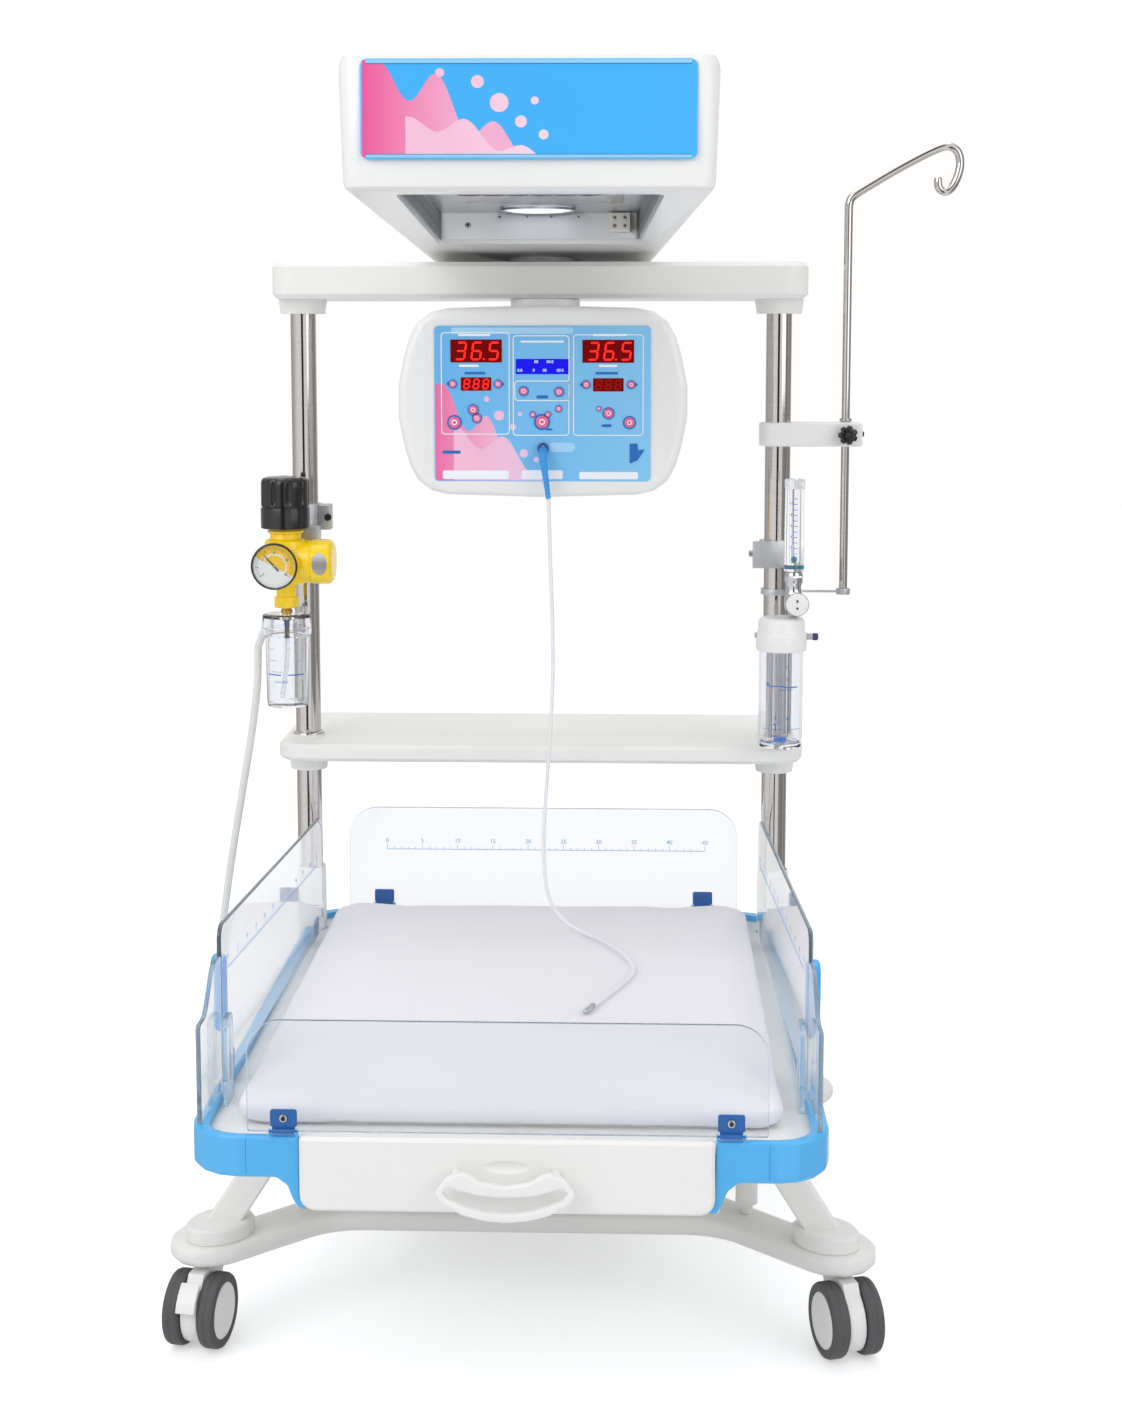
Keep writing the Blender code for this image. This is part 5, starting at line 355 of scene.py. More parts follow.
def turned(name, profile, place, look, body="frame", steps=48, closed=False, crease=35):
    """A profile of radii and heights spun round its Z axis, then set in its place."""
    profile = mm(profile) if isinstance(profile, str) else profile
    edges = [(i, i + 1) for i in range(len(profile) - 1)]
    edges += [(len(profile) - 1, 0)] if closed else []
    piece = new_piece(name, [(r, 0, z) for r, z in profile], edges, [])
    in_edit((bpy.ops.mesh.spin, {"steps": steps, "angle": 2 * math.pi, "center": (0, 0, 0), "axis": (0, 0, 1),
        "dupli": False}), (bpy.ops.mesh.remove_doubles, {"threshold": 1e-05}), OUTWARDS)
    piece.data.transform(place)
    return settle(piece, look, body, crease)


def toward(place, direction):
    """A place whose Z axis points in a direction."""
    return Matrix.Translation(place) @ Vector(direction).to_track_quat("Z", "Y").to_matrix().to_4x4()


connector_blue = moulded("connector_blue", (44, 108, 205), 0.35, 0.001, 0.03)
end_way = (coil_points[-1] - coil_points[-2]).normalized()
connector_place = toward(coil_points[-1] + Vector((0, 0, 0.00225)), end_way)
connector = turned("hose_connector_moulded", "0 0.3, 6.8 0.3, 7.5 1.2, 7.5 8, 6.6 8.8, 6.6 11.2, 7.5 12, 7.5 18, "
    "6.6 18.8, 6.6 21.2, 7.5 22, 7.5 32.8, 6.4 34, 4 34.2, 3.4 38, 4 38.4, 3.4 43, 4 43.4, 3 48, 1.8 48, 1.8 40, "
    "0 40", connector_place, connector_blue, steps=32)
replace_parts(connector, "hose_connector")

# ---- Probe cable and skin probe ----
# A limp 5 mm white silicone lead from the blue plug on the control panel. It hangs free to the
# mattress, lies on it in a loose curve, and ends in a short stainless skin probe.
PROBE_ROUTE = mm("16.6 -144 945.9, 17.2 -144 930, 18.8 -143 870, 21.5 -140.5 790, 21.5 -137 700, 16.5 -134 610, "
    "11 -133 530, 10 -135 470, 16 -133 418, 34 -132 388, 60 -144 374.5, 90 -185 373.1, 117 -245 373.1, "
    "129 -305 373.1, 118 -356 373.1, 99 -405 373.1, 82 -450 373.1")
lead_points = smooth_route([at(*point) for point in PROBE_ROUTE], 0.018)
lead_silicone = moulded("lead_silicone", (236, 235, 240), 0.35, 0.003, 0.02, 0.015)
lead = round_tube("probe_lead", lead_points, 0.005, lead_silicone)
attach(lead, "frame")
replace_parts(lead, "probe_cable")
lead_way = (lead_points[-1] - lead_points[-2]).normalized()
probe_steel = moulded("probe_steel", (196, 198, 202), 0.18, 0.0006, 0.05, 0.04, metallic=1.0)
probe_tip = turned("skin_probe", "0 0.3, 2.2 0.3, 3 0.8, 3.2 4, 2.8 4.6, 2.8 5.6, 3.2 6.2, 3.2 24, 2.9 27.5, "
    "2.2 29.2, 1 30, 0 30.1", toward(lead_points[-1] + Vector((0, 0, 0.0007)), lead_way), probe_steel, steps=32)
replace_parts(probe_tip, "probe_tip")

# ---- Base ----
# A cast base plate with raking arms and post sockets, powder-coated white, and above it two
# pressed struts, two round columns and two channels that carry the bed.
def modified(piece, kind, **settings):
    """Gives a piece a modifier and applies it."""
    pick(piece)
    modifier = piece.modifiers.new("change", kind)
    for name, value in settings.items():
        setattr(modifier, name, value)
    bpy.ops.object.modifier_apply(modifier=modifier.name)


def carried(node, look, name, round_off=0.0, crease=35):
    """A clean copy of a CAD node's mesh that stands for the node, its sharp edges rounded."""
    piece = bpy.data.objects.new(name, frame["nodes"][node].data.copy())
    bpy.context.collection.objects.link(piece)
    pick(piece)
    bpy.ops.mesh.customdata_custom_splitnormals_clear()
    in_edit((bpy.ops.mesh.remove_doubles, {"threshold": 2e-05}), (bpy.ops.mesh.dissolve_limited,
        {"angle_limit": math.radians(0.6)}))
    if round_off:
        modified(piece, "BEVEL", width=round_off, segments=3, limit_method="ANGLE", angle_limit=math.radians(40))
    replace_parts(piece, node)
    return settle(piece, look, frame["nodes"][node]["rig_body"], crease)


# The powder coat's hollows darken with painted shade.
white_paint = moulded("white_powder_coat", (236, 236, 233), 0.42, 0.0011, 0.05, 0.012, hollow_shading=0.22)


def softened(piece, voxel, rounds):
    """Evens out a coarse outline: one fine mesh, relaxed until its facets and its edges turn round."""
    modified(piece, "REMESH", mode="VOXEL", voxel_size=voxel)
    modified(piece, "SMOOTH", factor=0.5, iterations=rounds)
    bpy.ops.object.shade_smooth_by_angle(angle=math.radians(50), keep_sharp_edges=False)
    return piece


softened(carried("base_frame", white_paint, "base_casting"), 0.003, 14)
carried("bed_supports", white_paint, "bed_struts", 0.0008)

# ---- Casters ----
# Four twin-wheel casters: a white nylon housing on a stem, two grey rubber tyres on white discs,
# and a steel axle. The front left one has a foot brake.
white_plastic = moulded("white_moulding", (239, 239, 237), 0.36, 0.0016, 0.03, 0.012, coat=0.12)
# The tyre rubber's hollows darken with painted shade.
tyre_rubber = moulded("grey_tyre_rubber", (84, 84, 86), 0.62, 0.0008, 0.12, 0.07, hollow_shading=0.3)
axle_steel = moulded("axle_steel", (176, 177, 180), 0.28, 0.0005, 0.06, 0.05, metallic=1.0)
joints = {joint["name"]: joint for joint in frame["joints"]}


def joined(name, pieces):
    """Several meshes of one finish made one piece."""
    bpy.ops.object.select_all(action="DESELECT")
    for piece in pieces:
        piece.select_set(True)
    bpy.context.view_layer.objects.active = pieces[0]
    bpy.ops.object.join()
    pieces[0].name = name
    return pieces[0]


TYRE = ("31.8 -8.8, 34 -9.8, 38.5 -10, 41.2 -8.8, 42.5 -6, 42.6 -0.6, 42.2 0, 42.6 0.6, 42.5 6, 41.2 8.8, 38.5 10, "
    "34 9.8, 31.8 8.8")
DISC = ("0 10.6, 1.6 10.6, 2.2 11.2, 6 11.2, 18 10.9, 27 10.2, 30.6 9.4, 31.6 8.4, 31.6 -7, 30 -8, 24 -6, 11 -6, "
    "10 -9.8, 4.3 -9.8, 4.3 -4, 0 -4")
for corner in ("fl", "fr", "rl", "rr"):
    spin = joints["wheels_" + corner + "_spin"]
    axle = Vector(spin["axis"]).normalized()
    centre = Vector(spin["pos_m"])
    rubber, discs = [], []
    for hand in (-1, 1):
        seat = toward(centre + axle * hand * 0.021, axle * hand)
        rubber.append(turned("tyre", TYRE, seat, tyre_rubber, "wheels_" + corner, 64, True))
        discs.append(turned("disc", DISC, seat, white_plastic, "wheels_" + corner, 64))
    tyres = joined("caster_" + corner + "_rubber_tyres", rubber)
    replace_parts(tyres, "caster_" + corner + "_tyres")
    joined("caster_" + corner + "_wheel_discs", discs)
    turned("caster_" + corner + "_axle", "0 -16.8, 3.4 -16.8, 4 -16.2, 4 16.2, 3.4 16.8, 0 16.8",
        toward(centre, axle), axle_steel, "wheels_" + corner, 32)
    carried("caster_" + corner + "_housing", white_plastic, "caster_" + corner + "_body", 0.0014)
softened(carried("caster_fl_brake", white_plastic, "caster_fl_brake_lever"), 0.0009, 8)

# ---- Bed deck and bumper ----
# A white moulded deck tray with the drawer's housing under it, edged by a sky-blue bumper in
# three lengths. Its hinge ears carry the clear sides.
# The bumper's hollows darken with painted shade.
bumper_blue = moulded("bumper_blue", (82, 180, 240), 0.34, 0.0014, 0.03, 0.02, coat=0.15, hollow_shading=0.25)
carried("bed_deck", white_plastic, "deck_tray", 0.001)


def cut(piece, tools):
    """Cuts tool shapes out of a piece and deletes them."""
    for tool in tools:
        modified(piece, "BOOLEAN", operation="DIFFERENCE", solver="EXACT", object=tool)
        bpy.data.objects.remove(tool)


def block(name, low, high, soft=0.0):
    """A box between two corners, its edges rounded, with its place in its mesh."""
    bpy.ops.object.select_all(action="DESELECT")
    size = Vector(high) - Vector(low)
    bpy.ops.mesh.primitive_cube_add(size=1, location=(Vector(low) + Vector(high)) / 2, scale=size)
    piece = bpy.context.object
    piece.name = name
    bpy.ops.object.transform_apply(location=True, rotation=True, scale=True)
    if soft:
        in_edit((bpy.ops.mesh.bevel, {"offset": soft, "segments": 3, "affect": "EDGES"}))
    return piece


SEAM_X = 0.267
for side, name in ((-1, "left"), (1, "right")):
    bumper = softened(carried("bumper_" + name, bumper_blue, "bumper_" + name + "_length"), 0.0015, 8)
    half = 0.0003
    cut(bumper, [block("seam", at(side * SEAM_X - half, -0.8, 0.29), at(side * SEAM_X + half, -0.7972, 0.346)),
        block("seam", at(side * SEAM_X - half, -0.8, 0.3433), at(side * SEAM_X + half, -0.779, 0.346))])
    settle(bumper, bumper_blue)
carried("bumper_rear", bumper_blue, "bumper_rear_length")

# ---- Drawer ----
# A shallow white storage drawer under the bed, with a shallow oval finger recess in its face and
# a moulded bow handle on two feet.
drawer = carried("drawer", white_plastic, "storage_drawer")
bpy.ops.object.select_all(action="DESELECT")
bpy.ops.mesh.primitive_uv_sphere_add(segments=64, ring_count=32, radius=1, location=at(0, -0.806 - 0.03, 0.3178),
    scale=(0.056, 0.033, 0.017))
recess = bpy.context.object
bpy.ops.object.transform_apply(location=True, rotation=True, scale=True)
cut(drawer, [recess])
settle(drawer, white_plastic, "drawer")
for face in drawer.data.polygons:
    if face.normal.y < -0.998:
        face.use_smooth = False
softened(carried("drawer_handle", white_plastic, "drawer_bow_handle"), 0.0011, 12)

# ---- Mattress ----
# A thin foam pad in a white cotton cover with tucked corners, laid on the deck between the clear
# sides. It swells a little between its corners, and the cover creases at them.
def cotton(name, colour, thread):
    """Plain-woven cotton: crossed threads in relief, soft sheen and faint unevenness."""
    made, tree, surface = new_finish(name)
    place = on_object(tree)
    warp, weft = (add_node(tree, "TexWave", {"Vector": place, "Scale": 1 / thread / 20, "Distortion": 0.6,
        "Detail": 1.0}, bands_direction=way) for way in "XY")
    weave = combined(tree, "MULTIPLY", warp.outputs["Fac"], weft.outputs["Fac"])
    broad = add_node(tree, "TexNoise", {"Vector": place, "Scale": 7.0, "Detail": 5.0})
    deep = tuple(c * 0.955 for c in colour[:3]) + (1,)
    tone = add_node(tree, "Mix", {0: broad.outputs[0], 6: deep, 7: colour}, data_type="RGBA")
    shade = add_node(tree, "VectorMath", {0: tone.outputs[2], "Scale": ranged(tree, weave, 0.975, 1.0)},
        operation="SCALE")
    crease = add_node(tree, "TexNoise", {"Vector": place, "Scale": 34.0, "Detail": 3.0, "Roughness": 0.45})
    low_bump = bumped(tree, crease.outputs[0], 0.1, 0.004)
    fill(surface, {"Base Color": shade.outputs[0], "Normal": bumped(tree, weave, 0.12, 0.0003, low_bump),
        "Roughness": 0.92, "Sheen Weight": 0.25, "Sheen Roughness": 0.5, "Specular IOR Level": 0.25})
    return made


white_cotton = cotton("white_cotton_cover", linear(240, 239, 245), 0.0007)
pad_low, pad_high = (Vector(corner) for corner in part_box("mattress"))
SHRINK = Vector((0.004, 0.004, 0.0016))
mattress = block("mattress_cover", pad_low + SHRINK, pad_high - SHRINK * 1.4)
pick(mattress)
bpy.ops.object.mode_set(mode="EDIT")
bpy.ops.mesh.select_mode(type="EDGE")
bpy.ops.mesh.select_all(action="DESELECT")
bpy.ops.object.mode_set(mode="OBJECT")
for edge in mattress.data.edges:
    a, b = (mattress.data.vertices[i].co for i in edge.vertices)
    edge.select = abs(a.z - b.z) > 0.01
bpy.ops.object.mode_set(mode="EDIT")
bpy.ops.mesh.bevel(offset=0.026, segments=6, affect="EDGES")
bpy.ops.mesh.select_all(action="SELECT")
bpy.ops.mesh.select_mode(type="VERT")
bpy.ops.object.mode_set(mode="OBJECT")
modified(mattress, "BEVEL", width=0.008, segments=4, limit_method="ANGLE")
modified(mattress, "REMESH", mode="VOXEL", voxel_size=0.006)


def points_of(piece):
    """The mesh's points as an array."""
    places = np.empty(len(piece.data.vertices) * 3)
    piece.data.vertices.foreach_get("co", places)
    return places.reshape(-1, 3)


def set_points(piece, places):
    piece.data.vertices.foreach_set("co", places.ravel())
    piece.data.update()


start = points_of(mattress)
cloth = mattress.modifiers.new("cover", "CLOTH")
for name, value in (("use_pressure", True), ("uniform_pressure_force", 4), ("mass", 0.3), ("tension_stiffness",
        12), ("quality", 4)):
    setattr(cloth.settings, name, value)
cloth.settings.effector_weights.gravity = 0
for number in range(1, 21):
    bpy.context.scene.frame_set(number)
bpy.ops.object.modifier_apply(modifier=cloth.name)
bpy.context.scene.frame_set(1)
moved = points_of(mattress) - start
far = np.linalg.norm(moved, axis=1, keepdims=True)
start = start + moved * np.minimum(1.0, 0.006 / np.maximum(far, 1e-09))
x, y, z = start[:, 0], start[:, 1], start[:, 2]
middle = np.array((pad_low + pad_high) / 2)
half_size = np.array((pad_high - pad_low) / 2)
up = (z - pad_low.z) / (pad_high.z - pad_low.z)
for corner_x, corner_y, seed in ((-1, -1, 0.3), (1, -1, 1.9), (-1, 1, 4.1), (1, 1, 5.2)):
    from_x = x - (middle[0] + corner_x * (half_size[0] - 0.02))
    from_y = y - (middle[1] + corner_y * (half_size[1] - 0.02))
    reach = np.hypot(from_x, from_y)
    fold = np.cos(np.arctan2(from_y, from_x) * 5 + seed + reach * 30) * np.exp(-(reach / 0.075) ** 2)
    start[:, 2] -= 0.0016 * (fold + 1) * np.clip(up * 2 - 0.7, 0, 1)
front_fall = np.exp(-((y - pad_low.y) / 0.012) ** 2)
wave = np.sin(x * 21 + 0.6) * 0.6 + np.sin(x * 47 + 2.0) * 0.3 + np.sin(x * 9) * 0.5
edge_pull = 0.4 + 0.6 * np.abs((x - middle[0]) / half_size[0]) ** 2
start[:, 1] += front_fall * edge_pull * 0.0014 * (1 + wave * np.sin(up * 5.0 + x * 9)) * np.clip(1.2 - up, 0, 1)
for edge_side in (-1, 1):
    side_fall = np.exp(-((x - (middle[0] + edge_side * half_size[0])) / 0.012) ** 2)
    ripple = np.sin(y * 17 + edge_side) * 0.6 + np.sin(y * 39) * 0.4
    start[:, 0] -= edge_side * side_fall * 0.0012 * (1 + ripple) * np.clip(1.2 - up, 0, 1)
top_roll = np.sin(x * 31 + y * 9) * np.sin(y * 23 - x * 7) + 0.6 * np.sin(y * 11 + x * 13 + 1.0)
start[:, 2] -= 0.00045 * (top_roll + 1.6) * np.clip(up * 3 - 2, 0, 1)
for axis in (0, 1):
    reach = np.abs(start[:, axis] - middle[axis]).max()
    start[:, axis] = middle[axis] + (start[:, axis] - middle[axis]) * (half_size[axis] - 0.0006) / reach
start[:, 2] = np.clip(pad_low.z + (start[:, 2] - pad_low.z) * 1.07, pad_low.z + 0.0002, pad_high.z)
set_points(mattress, start)
modified(mattress, "SUBSURF", levels=1, render_levels=1)
settle(mattress, white_cotton, crease=180)
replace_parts(mattress, "mattress")

# ---- Clear sides ----
# Four sheets of 5 mm clear acrylic, laser-cut and flame-polished, each hinged on two blue plates
# that are screwed to its foot. The rear and long sides carry a printed blue ruler.
def acrylic(name, colour, roughness, clarity=1.0):
    """Clear cast acrylic that lets lamp light through, with faint unevenness in its polish."""
    made, tree, surface = new_finish(name)
    polish = add_node(tree, "TexNoise", {"Vector": on_object(tree), "Scale": 60.0, "Detail": 3.0}).outputs[0]
    fill(surface, {"Roughness": ranged(tree, polish, roughness * 0.5, roughness * 1.5), "Normal": bumped(tree, polish,
        0.02, 0.001), "Base Color": colour, "Transmission Weight": clarity, "IOR": 1.49})
    ray = add_node(tree, "LightPath")
    clear = add_node(tree, "BsdfTransparent", {"Color": (0.93, 0.945, 0.96, 1)})
    share = add_node(tree, "MixShader", {0: ray.outputs["Is Shadow Ray"], 1: surface.outputs[0], 2: clear.outputs[0]})
    fill(tree.nodes["Material Output"], {"Surface": share.outputs[0]})
    return made


clear_acrylic = acrylic("clear_acrylic", (0.965, 0.975, 0.985, 1), 0.03)
acrylic_rim = acrylic("acrylic_cut_edge", (0.6, 0.76, 0.9, 1), 0.2, 0.85)
bracket_blue = moulded("bracket_blue", (38, 100, 172), 0.35, 0.0009, 0.04, 0.04, coat=0.2)
grip_blue = moulded("grip_blue", (58, 165, 238), 0.3, 0.0012, 0.03, 0.03, coat=0.2)
ruler_ink = moulded("ruler_ink", (104, 158, 222), 0.5, 0.0008, 0.02, 0.08)
screw_steel = moulded("screw_steel", (188, 188, 190), 0.25, 0.0004, 0.08, 0.05, metallic=1.0)
# A dark finish for the black bolt, pins and valve cage, also used as painted shade in screw sockets.
dark_and_socket_shade = moulded("screw_socket", (38, 38, 42), 0.5, 0.0004, 0.05, 0.05)


def rounded_corners(corners, radii, steps=8):
    """A closed outline whose corners are turned in arcs."""
    outline = []
    for i, (corner, radius) in enumerate(zip(corners, radii)):
        here = Vector(corner)
        back = (Vector(corners[i - 1]) - here).normalized()
        ahead = (Vector(corners[(i + 1) % len(corners)]) - here).normalized()
        half = back.angle(ahead) / 2
        if radius <= 0 or half > math.radians(89):
            outline.append(tuple(here))
            continue
        centre = here + (back + ahead).normalized() * radius / math.sin(half)
        first = here + back * radius / math.tan(half) - centre
        last = here + ahead * radius / math.tan(half) - centre
        for j in range(steps + 1):
            ray = first.slerp(last, j / steps).normalized() * radius
            outline.append(tuple(centre + ray))
    return outline


def standing(origin, along, up=(0, 0, 1)):
    """A place whose X axis runs along, whose Y axis runs up, and whose Z axis faces out of them."""
    x_way = Vector(along).normalized()
    y_way = Vector(up).normalized()
    z_way = x_way.cross(y_way)
    turn = Matrix((x_way, y_way, z_way)).transposed().to_4x4()
    return Matrix.Translation(origin) @ turn


def box_corners(left, right, low, high):
    return [(left, low), (right, low), (right, high), (left, high)]


def rounded_box(left, right, low, high, radius, steps=8):
    """The outline of a box with rounded corners."""
    return rounded_corners(box_corners(left, right, low, high), (radius,) * 4, steps)


def flat_shaded(piece, out, share, rimmed):
    """Faces that look one way are flat-shaded, and with a rim the others take the second finish."""
    for face in piece.data.polygons:
        flat = abs(face.normal.dot(out)) > share
        face.use_smooth = not flat
        face.material_index = 1 if rimmed and (not flat) else 0


def plate(name, outline, low, high, place, look, body="frame", soft=0.0006, crease=35, rim=None, segments=2):
    """A flat outline extruded from low to high, its edges rounded, then set in its place."""
    piece = new_piece(name, [(x, y, low) for x, y in outline], [], [tuple(range(len(outline)))])
    in_edit((bpy.ops.mesh.extrude_region_move, {"TRANSFORM_OT_translate": {"value": (0, 0, high - low)}}), OUTWARDS)
    if soft:
        modified(piece, "BEVEL", width=soft, segments=segments, limit_method="ANGLE", angle_limit=math.radians(50))
    piece.data.transform(place)
    settle(piece, look, body, crease)
    if rim:
        piece.data.materials.append(rim)
    flat_shaded(piece, place.to_3x3() @ Vector((0, 0, 1)), 0.999, bool(rim))
    return piece


def arc(radius, start, stop, steps=40):
    """Points on an arc between two angles in degrees."""
    return [(radius * math.cos(a), radius * math.sin(a)) for a in (math.radians(start + (stop - start) * i / steps)
        for i in range(steps + 1))]


def screw(name, place, body, diameter=0.009):
    """A domed socket screw: a steel head with a chamfered rim, and a dark hexagon in its recess as painted shade for
    the hexagonal socket.
    """
    r = diameter / 2
    head = turned(name + "_head", [(r, 0), (r, 0.0009), (r * 0.9, 0.0019), (r * 0.55, 0.0026), (r * 0.5, 0.0026),
        (r * 0.46, 0.001), (0, 0.001)], place, screw_steel, body, 32)
    # Painted shade: a dark hexagonal plate in the head's round recess stands for the shade inside the socket.
    plate(name + "_socket", arc(r * 0.44, 0, 300, 5), 0.001, 0.0016, place, dark_and_socket_shade, body, 0.0001)
    return head


def hinge_plate(name, place, body):
    """The blue hinge plate: a square upper part over the knuckle, and its screw."""
    upper = rounded_corners(box_corners(-0.0138, 0.0138, 0.0042, 0.0222), (0.0012, 0.0012, 0.0028, 0.0028))
    foot = rounded_corners(box_corners(-0.0118, 0.0118, -0.0022, 0.005), (0.0006, 0.0006, 0.0006, 0.0006))
    made = [plate("upper", upper, -0.0004, 0.0021, place, bracket_blue, body, 0.0005), plate("foot", foot, -0.0004,
        0.0019, place, bracket_blue, body, 0.0004)]
    joined(name, made)
    across = place.to_3x3() @ Vector((1, 0, 0))
    axis = place @ Vector((0, 0, 0.004))
    turned(name + "_knuckle", "0 -15, 1.4 -15, 1.4 -11.8, 2.6 -11.6, 2.7 0, 2.6 11.6, 1.4 11.8, 1.4 15, 0 15",
        toward(axis, across), bracket_blue, body, 24)
    screw(name + "_screw", place @ Matrix.Translation((0, 0.0132, 0.0021)), body)


def ruler(name, place, length, major, body, size=0.0062):
    """A printed scale: a base line, ticks at three heights, and numbers over the long ticks."""
    marks = [plate("line", box_corners(0, length, -0.0004, 0.0004), 0, 0.00012, place, ruler_ink, body, 0)]
    count = round(length / 0.01)
    for i in range(count + 1):
        tall = 0.0075 if i % major == 0 else 0.0052 if i % 5 == 0 else 0.0034
        x = length * i / count
        marks.append(plate("tick", box_corners(x - 0.0003, x + 0.0003, 0.0004, tall), 0, 0.00012, place, ruler_ink,
            body, 0))
        if i % major == 0:
            marks.append(lettering("number", str(i), size, place @ Matrix.Translation((x, 0.0095, 0)), ruler_ink,
                body))
    return joined(name, marks)


def lettering(name, words, size, place, look, body="frame", depth=0.00012):
    """Printed figures: text made a thin mesh, then set in its place."""
    data = bpy.data.curves.new(name, "FONT")
    data.body = words
    data.size = size
    data.align_x = "CENTER"
    data.extrude = depth / 2
    data.resolution_u = 3
    text = bpy.data.objects.new(name, data)
    bpy.context.collection.objects.link(text)
    pick(text)
    bpy.ops.object.convert(target="MESH")
    text = bpy.context.object
    text.data.transform(place @ Matrix.Translation((0, 0, depth / 2)))
    return settle(text, look, body, 20)


HINGE_Z = 0.35
for end, y, way, wide, tall, corner, hinge_x in (("front", -0.7947, 1, 0.266, 0.115, 0.035, 0.228), ("rear", 0.0717,
        -1, 0.275, 0.142, 0.041, 0.2262)):
    place = standing(at(0, y, HINGE_Z), (way, 0, 0))
    outline = rounded_corners(box_corners(-wide, wide, -0.0025, tall), (0.003, 0.003, corner, corner), 12)
    sheet = plate(end + "_clear_side", outline, -0.005, 0, place, clear_acrylic, end + "_side", 0.0007,
        rim=acrylic_rim)
    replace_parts(sheet, end + "_panel")
    for side, name in ((-1, "left"), (1, "right")):
        hinge_plate(end + "_hinge_" + name, place @ Matrix.Translation((side * way * hinge_x, 0, 0)), end + "_side")
ruler("rear_ruler", standing(at(-0.221, 0.0666, 0.432), (1, 0, 0)), 0.45, 5, "rear_side", 0.0085)

# The long sides toe out towards the front, and rise a little. Each has a blue finger grip outside.
SIDE_LENGTH = 0.6322
for side, name in ((-1, "left"), (1, "right")):
    body = name + "_side"
    hinge = joints[name + "_side_hinge"]
    along = Vector((side * 0.02689, -0.99964, 0)).normalized()
    out = Vector((side * 0.99964, 0.02689, 0)).normalized()
    foot_place = standing(Vector(hinge["pos_m"]) - out * 0.0058, along)
    hand = -side
    outline = rounded_corners([(0, -0.0025), (SIDE_LENGTH, -0.0025), (SIDE_LENGTH, 0.176), (0, 0.153)],
        (0.003, 0.003, 0.016, 0.022), 10)
    sheet = plate(name + "_clear_side", outline, -0.0025, 0.0025, foot_place, clear_acrylic, body, 0.0007,
        rim=acrylic_rim)
    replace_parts(sheet, name + "_panel")
    for share, where in ((0.05, "rear"), (0.5852, "front")):
        face = standing(foot_place @ Vector((share, 0, hand * 0.0025)), along * hand)
        hinge_plate(name + "_hinge_" + where, face, body)
    grip_place = standing(foot_place @ Vector((0.6142, 0.0975, hand * 0.0025)), along * hand)
    grip_outline = rounded_box(-0.015, 0.015, -0.0425, 0.0425, 0.0136, 8)
    plate(name + "_finger_grip", grip_outline, -0.0004, 0.009, grip_place, grip_blue, body, 0.0036, 50, segments=5)
    rise = 0.0484
    slope = (along + Vector((0, 0, rise))).normalized()
    reading = -slope if side < 0 else slope
    from_rear = 0.6 if side < 0 else 0.04
    foot = foot_place @ Vector((from_rear, 0.0924 + from_rear * rise, -hand * 0.00251))
    mark_place = standing(foot, reading, (-out).cross(reading))
    ruler(name + "_ruler", mark_place, 0.55, 5, body, 0.0075)

# ---- Corner wings and slotted guides ----
# A clear wing stands on the bumper at each front corner. A bolt holds it to a slotted clear
# plate just inside it, which steadies the front end of the long side.
for side, name in ((-1, "left"), (1, "right")):
    wing = carried(name + "_guide", clear_acrylic, name + "_wing_and_guide", 0.0006)
    wing.data.materials.append(acrylic_rim)
    flat_shaded(wing, Vector((1, 0, 0)), 0.98, True)
    screw(name + "_wing_bolt", standing(at(side * 0.3198, -0.683, 0.352), (0, -side, 0)), "frame", 0.0095)

# ---- Posts ----
# Two polished stainless tubes, 34 mm across, from the base sockets up through the shelf into the
# crossbar. Light runs down them in long bands, and the polish shows faint rings.
def brushed(name, stretch, detail, dark, pale, least, most, relief, smear=0):
    """Drawn steel: fine stretched lines in gloss and relief, and its tone with them or in broad smears."""
    made, tree, surface = new_finish(name)
    place = on_object(tree)
    stretched = add_node(tree, "Mapping", {"Vector": place, "Scale": stretch}).outputs[0]
    lines = add_node(tree, "TexNoise", {"Vector": stretched, "Scale": 1.0, "Detail": detail}).outputs[0]
    cloud = lines
    if smear:
        cloud = add_node(tree, "TexNoise", {"Vector": place, "Scale": smear, "Detail": 3.0}).outputs[0]
    tone = add_node(tree, "Mix", {0: cloud, 6: linear(*dark), 7: linear(*pale)}, data_type="RGBA")
    fill(surface, {"Base Color": tone.outputs[2], "Roughness": ranged(tree, lines, least, most),
        "Normal": bumped(tree, lines, relief, 0.0003), "Metallic": 1.0})
    return made


polished_steel = brushed("polished_steel_tube", (40.0, 40.0, 900.0), 3.0, (192, 188, 186),
    (214, 211, 209), 0.05, 0.11, 0.03)
for name in ("post_left", "post_right"):
    low, high = (Vector(corner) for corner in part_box(name))
    r = (high.x - low.x) / 2
    span = high.z - low.z
    tube = turned(name + "_tube", [(0, 0), (r - 0.001, 0), (r, 0.001), (r, span - 0.001), (r - 0.001, span),
        (0, span)], Matrix.Translation(((low.x + high.x) / 2, (low.y + high.y) / 2, low.z)), polished_steel, steps=96)
    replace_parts(tube, name)

# ---- Shelf and crossbar ----
# A thick white moulded shelf with collars that grip the posts, and the crossbar that caps them and
# carries the hood. Both are powder-coated, with rounded ends.
carried("shelf", white_paint, "tray_shelf")
carried("crossbar", white_paint, "top_crossbar")
cap_place = Matrix.Translation(at(-0.3, -0.05, 0.6085))
turned("shelf_screw_cover", "4.4 -0.2, 4.4 0.6, 3.6 1.3, 1.6 1.5, 0 1.5", cap_place, white_plastic, steps=24)
for side, name in ((-1, "left"), (1, "right")):
    turned(name + "_post_shelf_ring",
        "17.4 611.5, 21.5 611.5, 22.2 612.2, 21.8 613.4, 19.6 614.6, 18 615, 17.4 614.6",
        Matrix.Translation(at(side * 0.3202, 0, 0)), polished_steel, steps=64, closed=True)

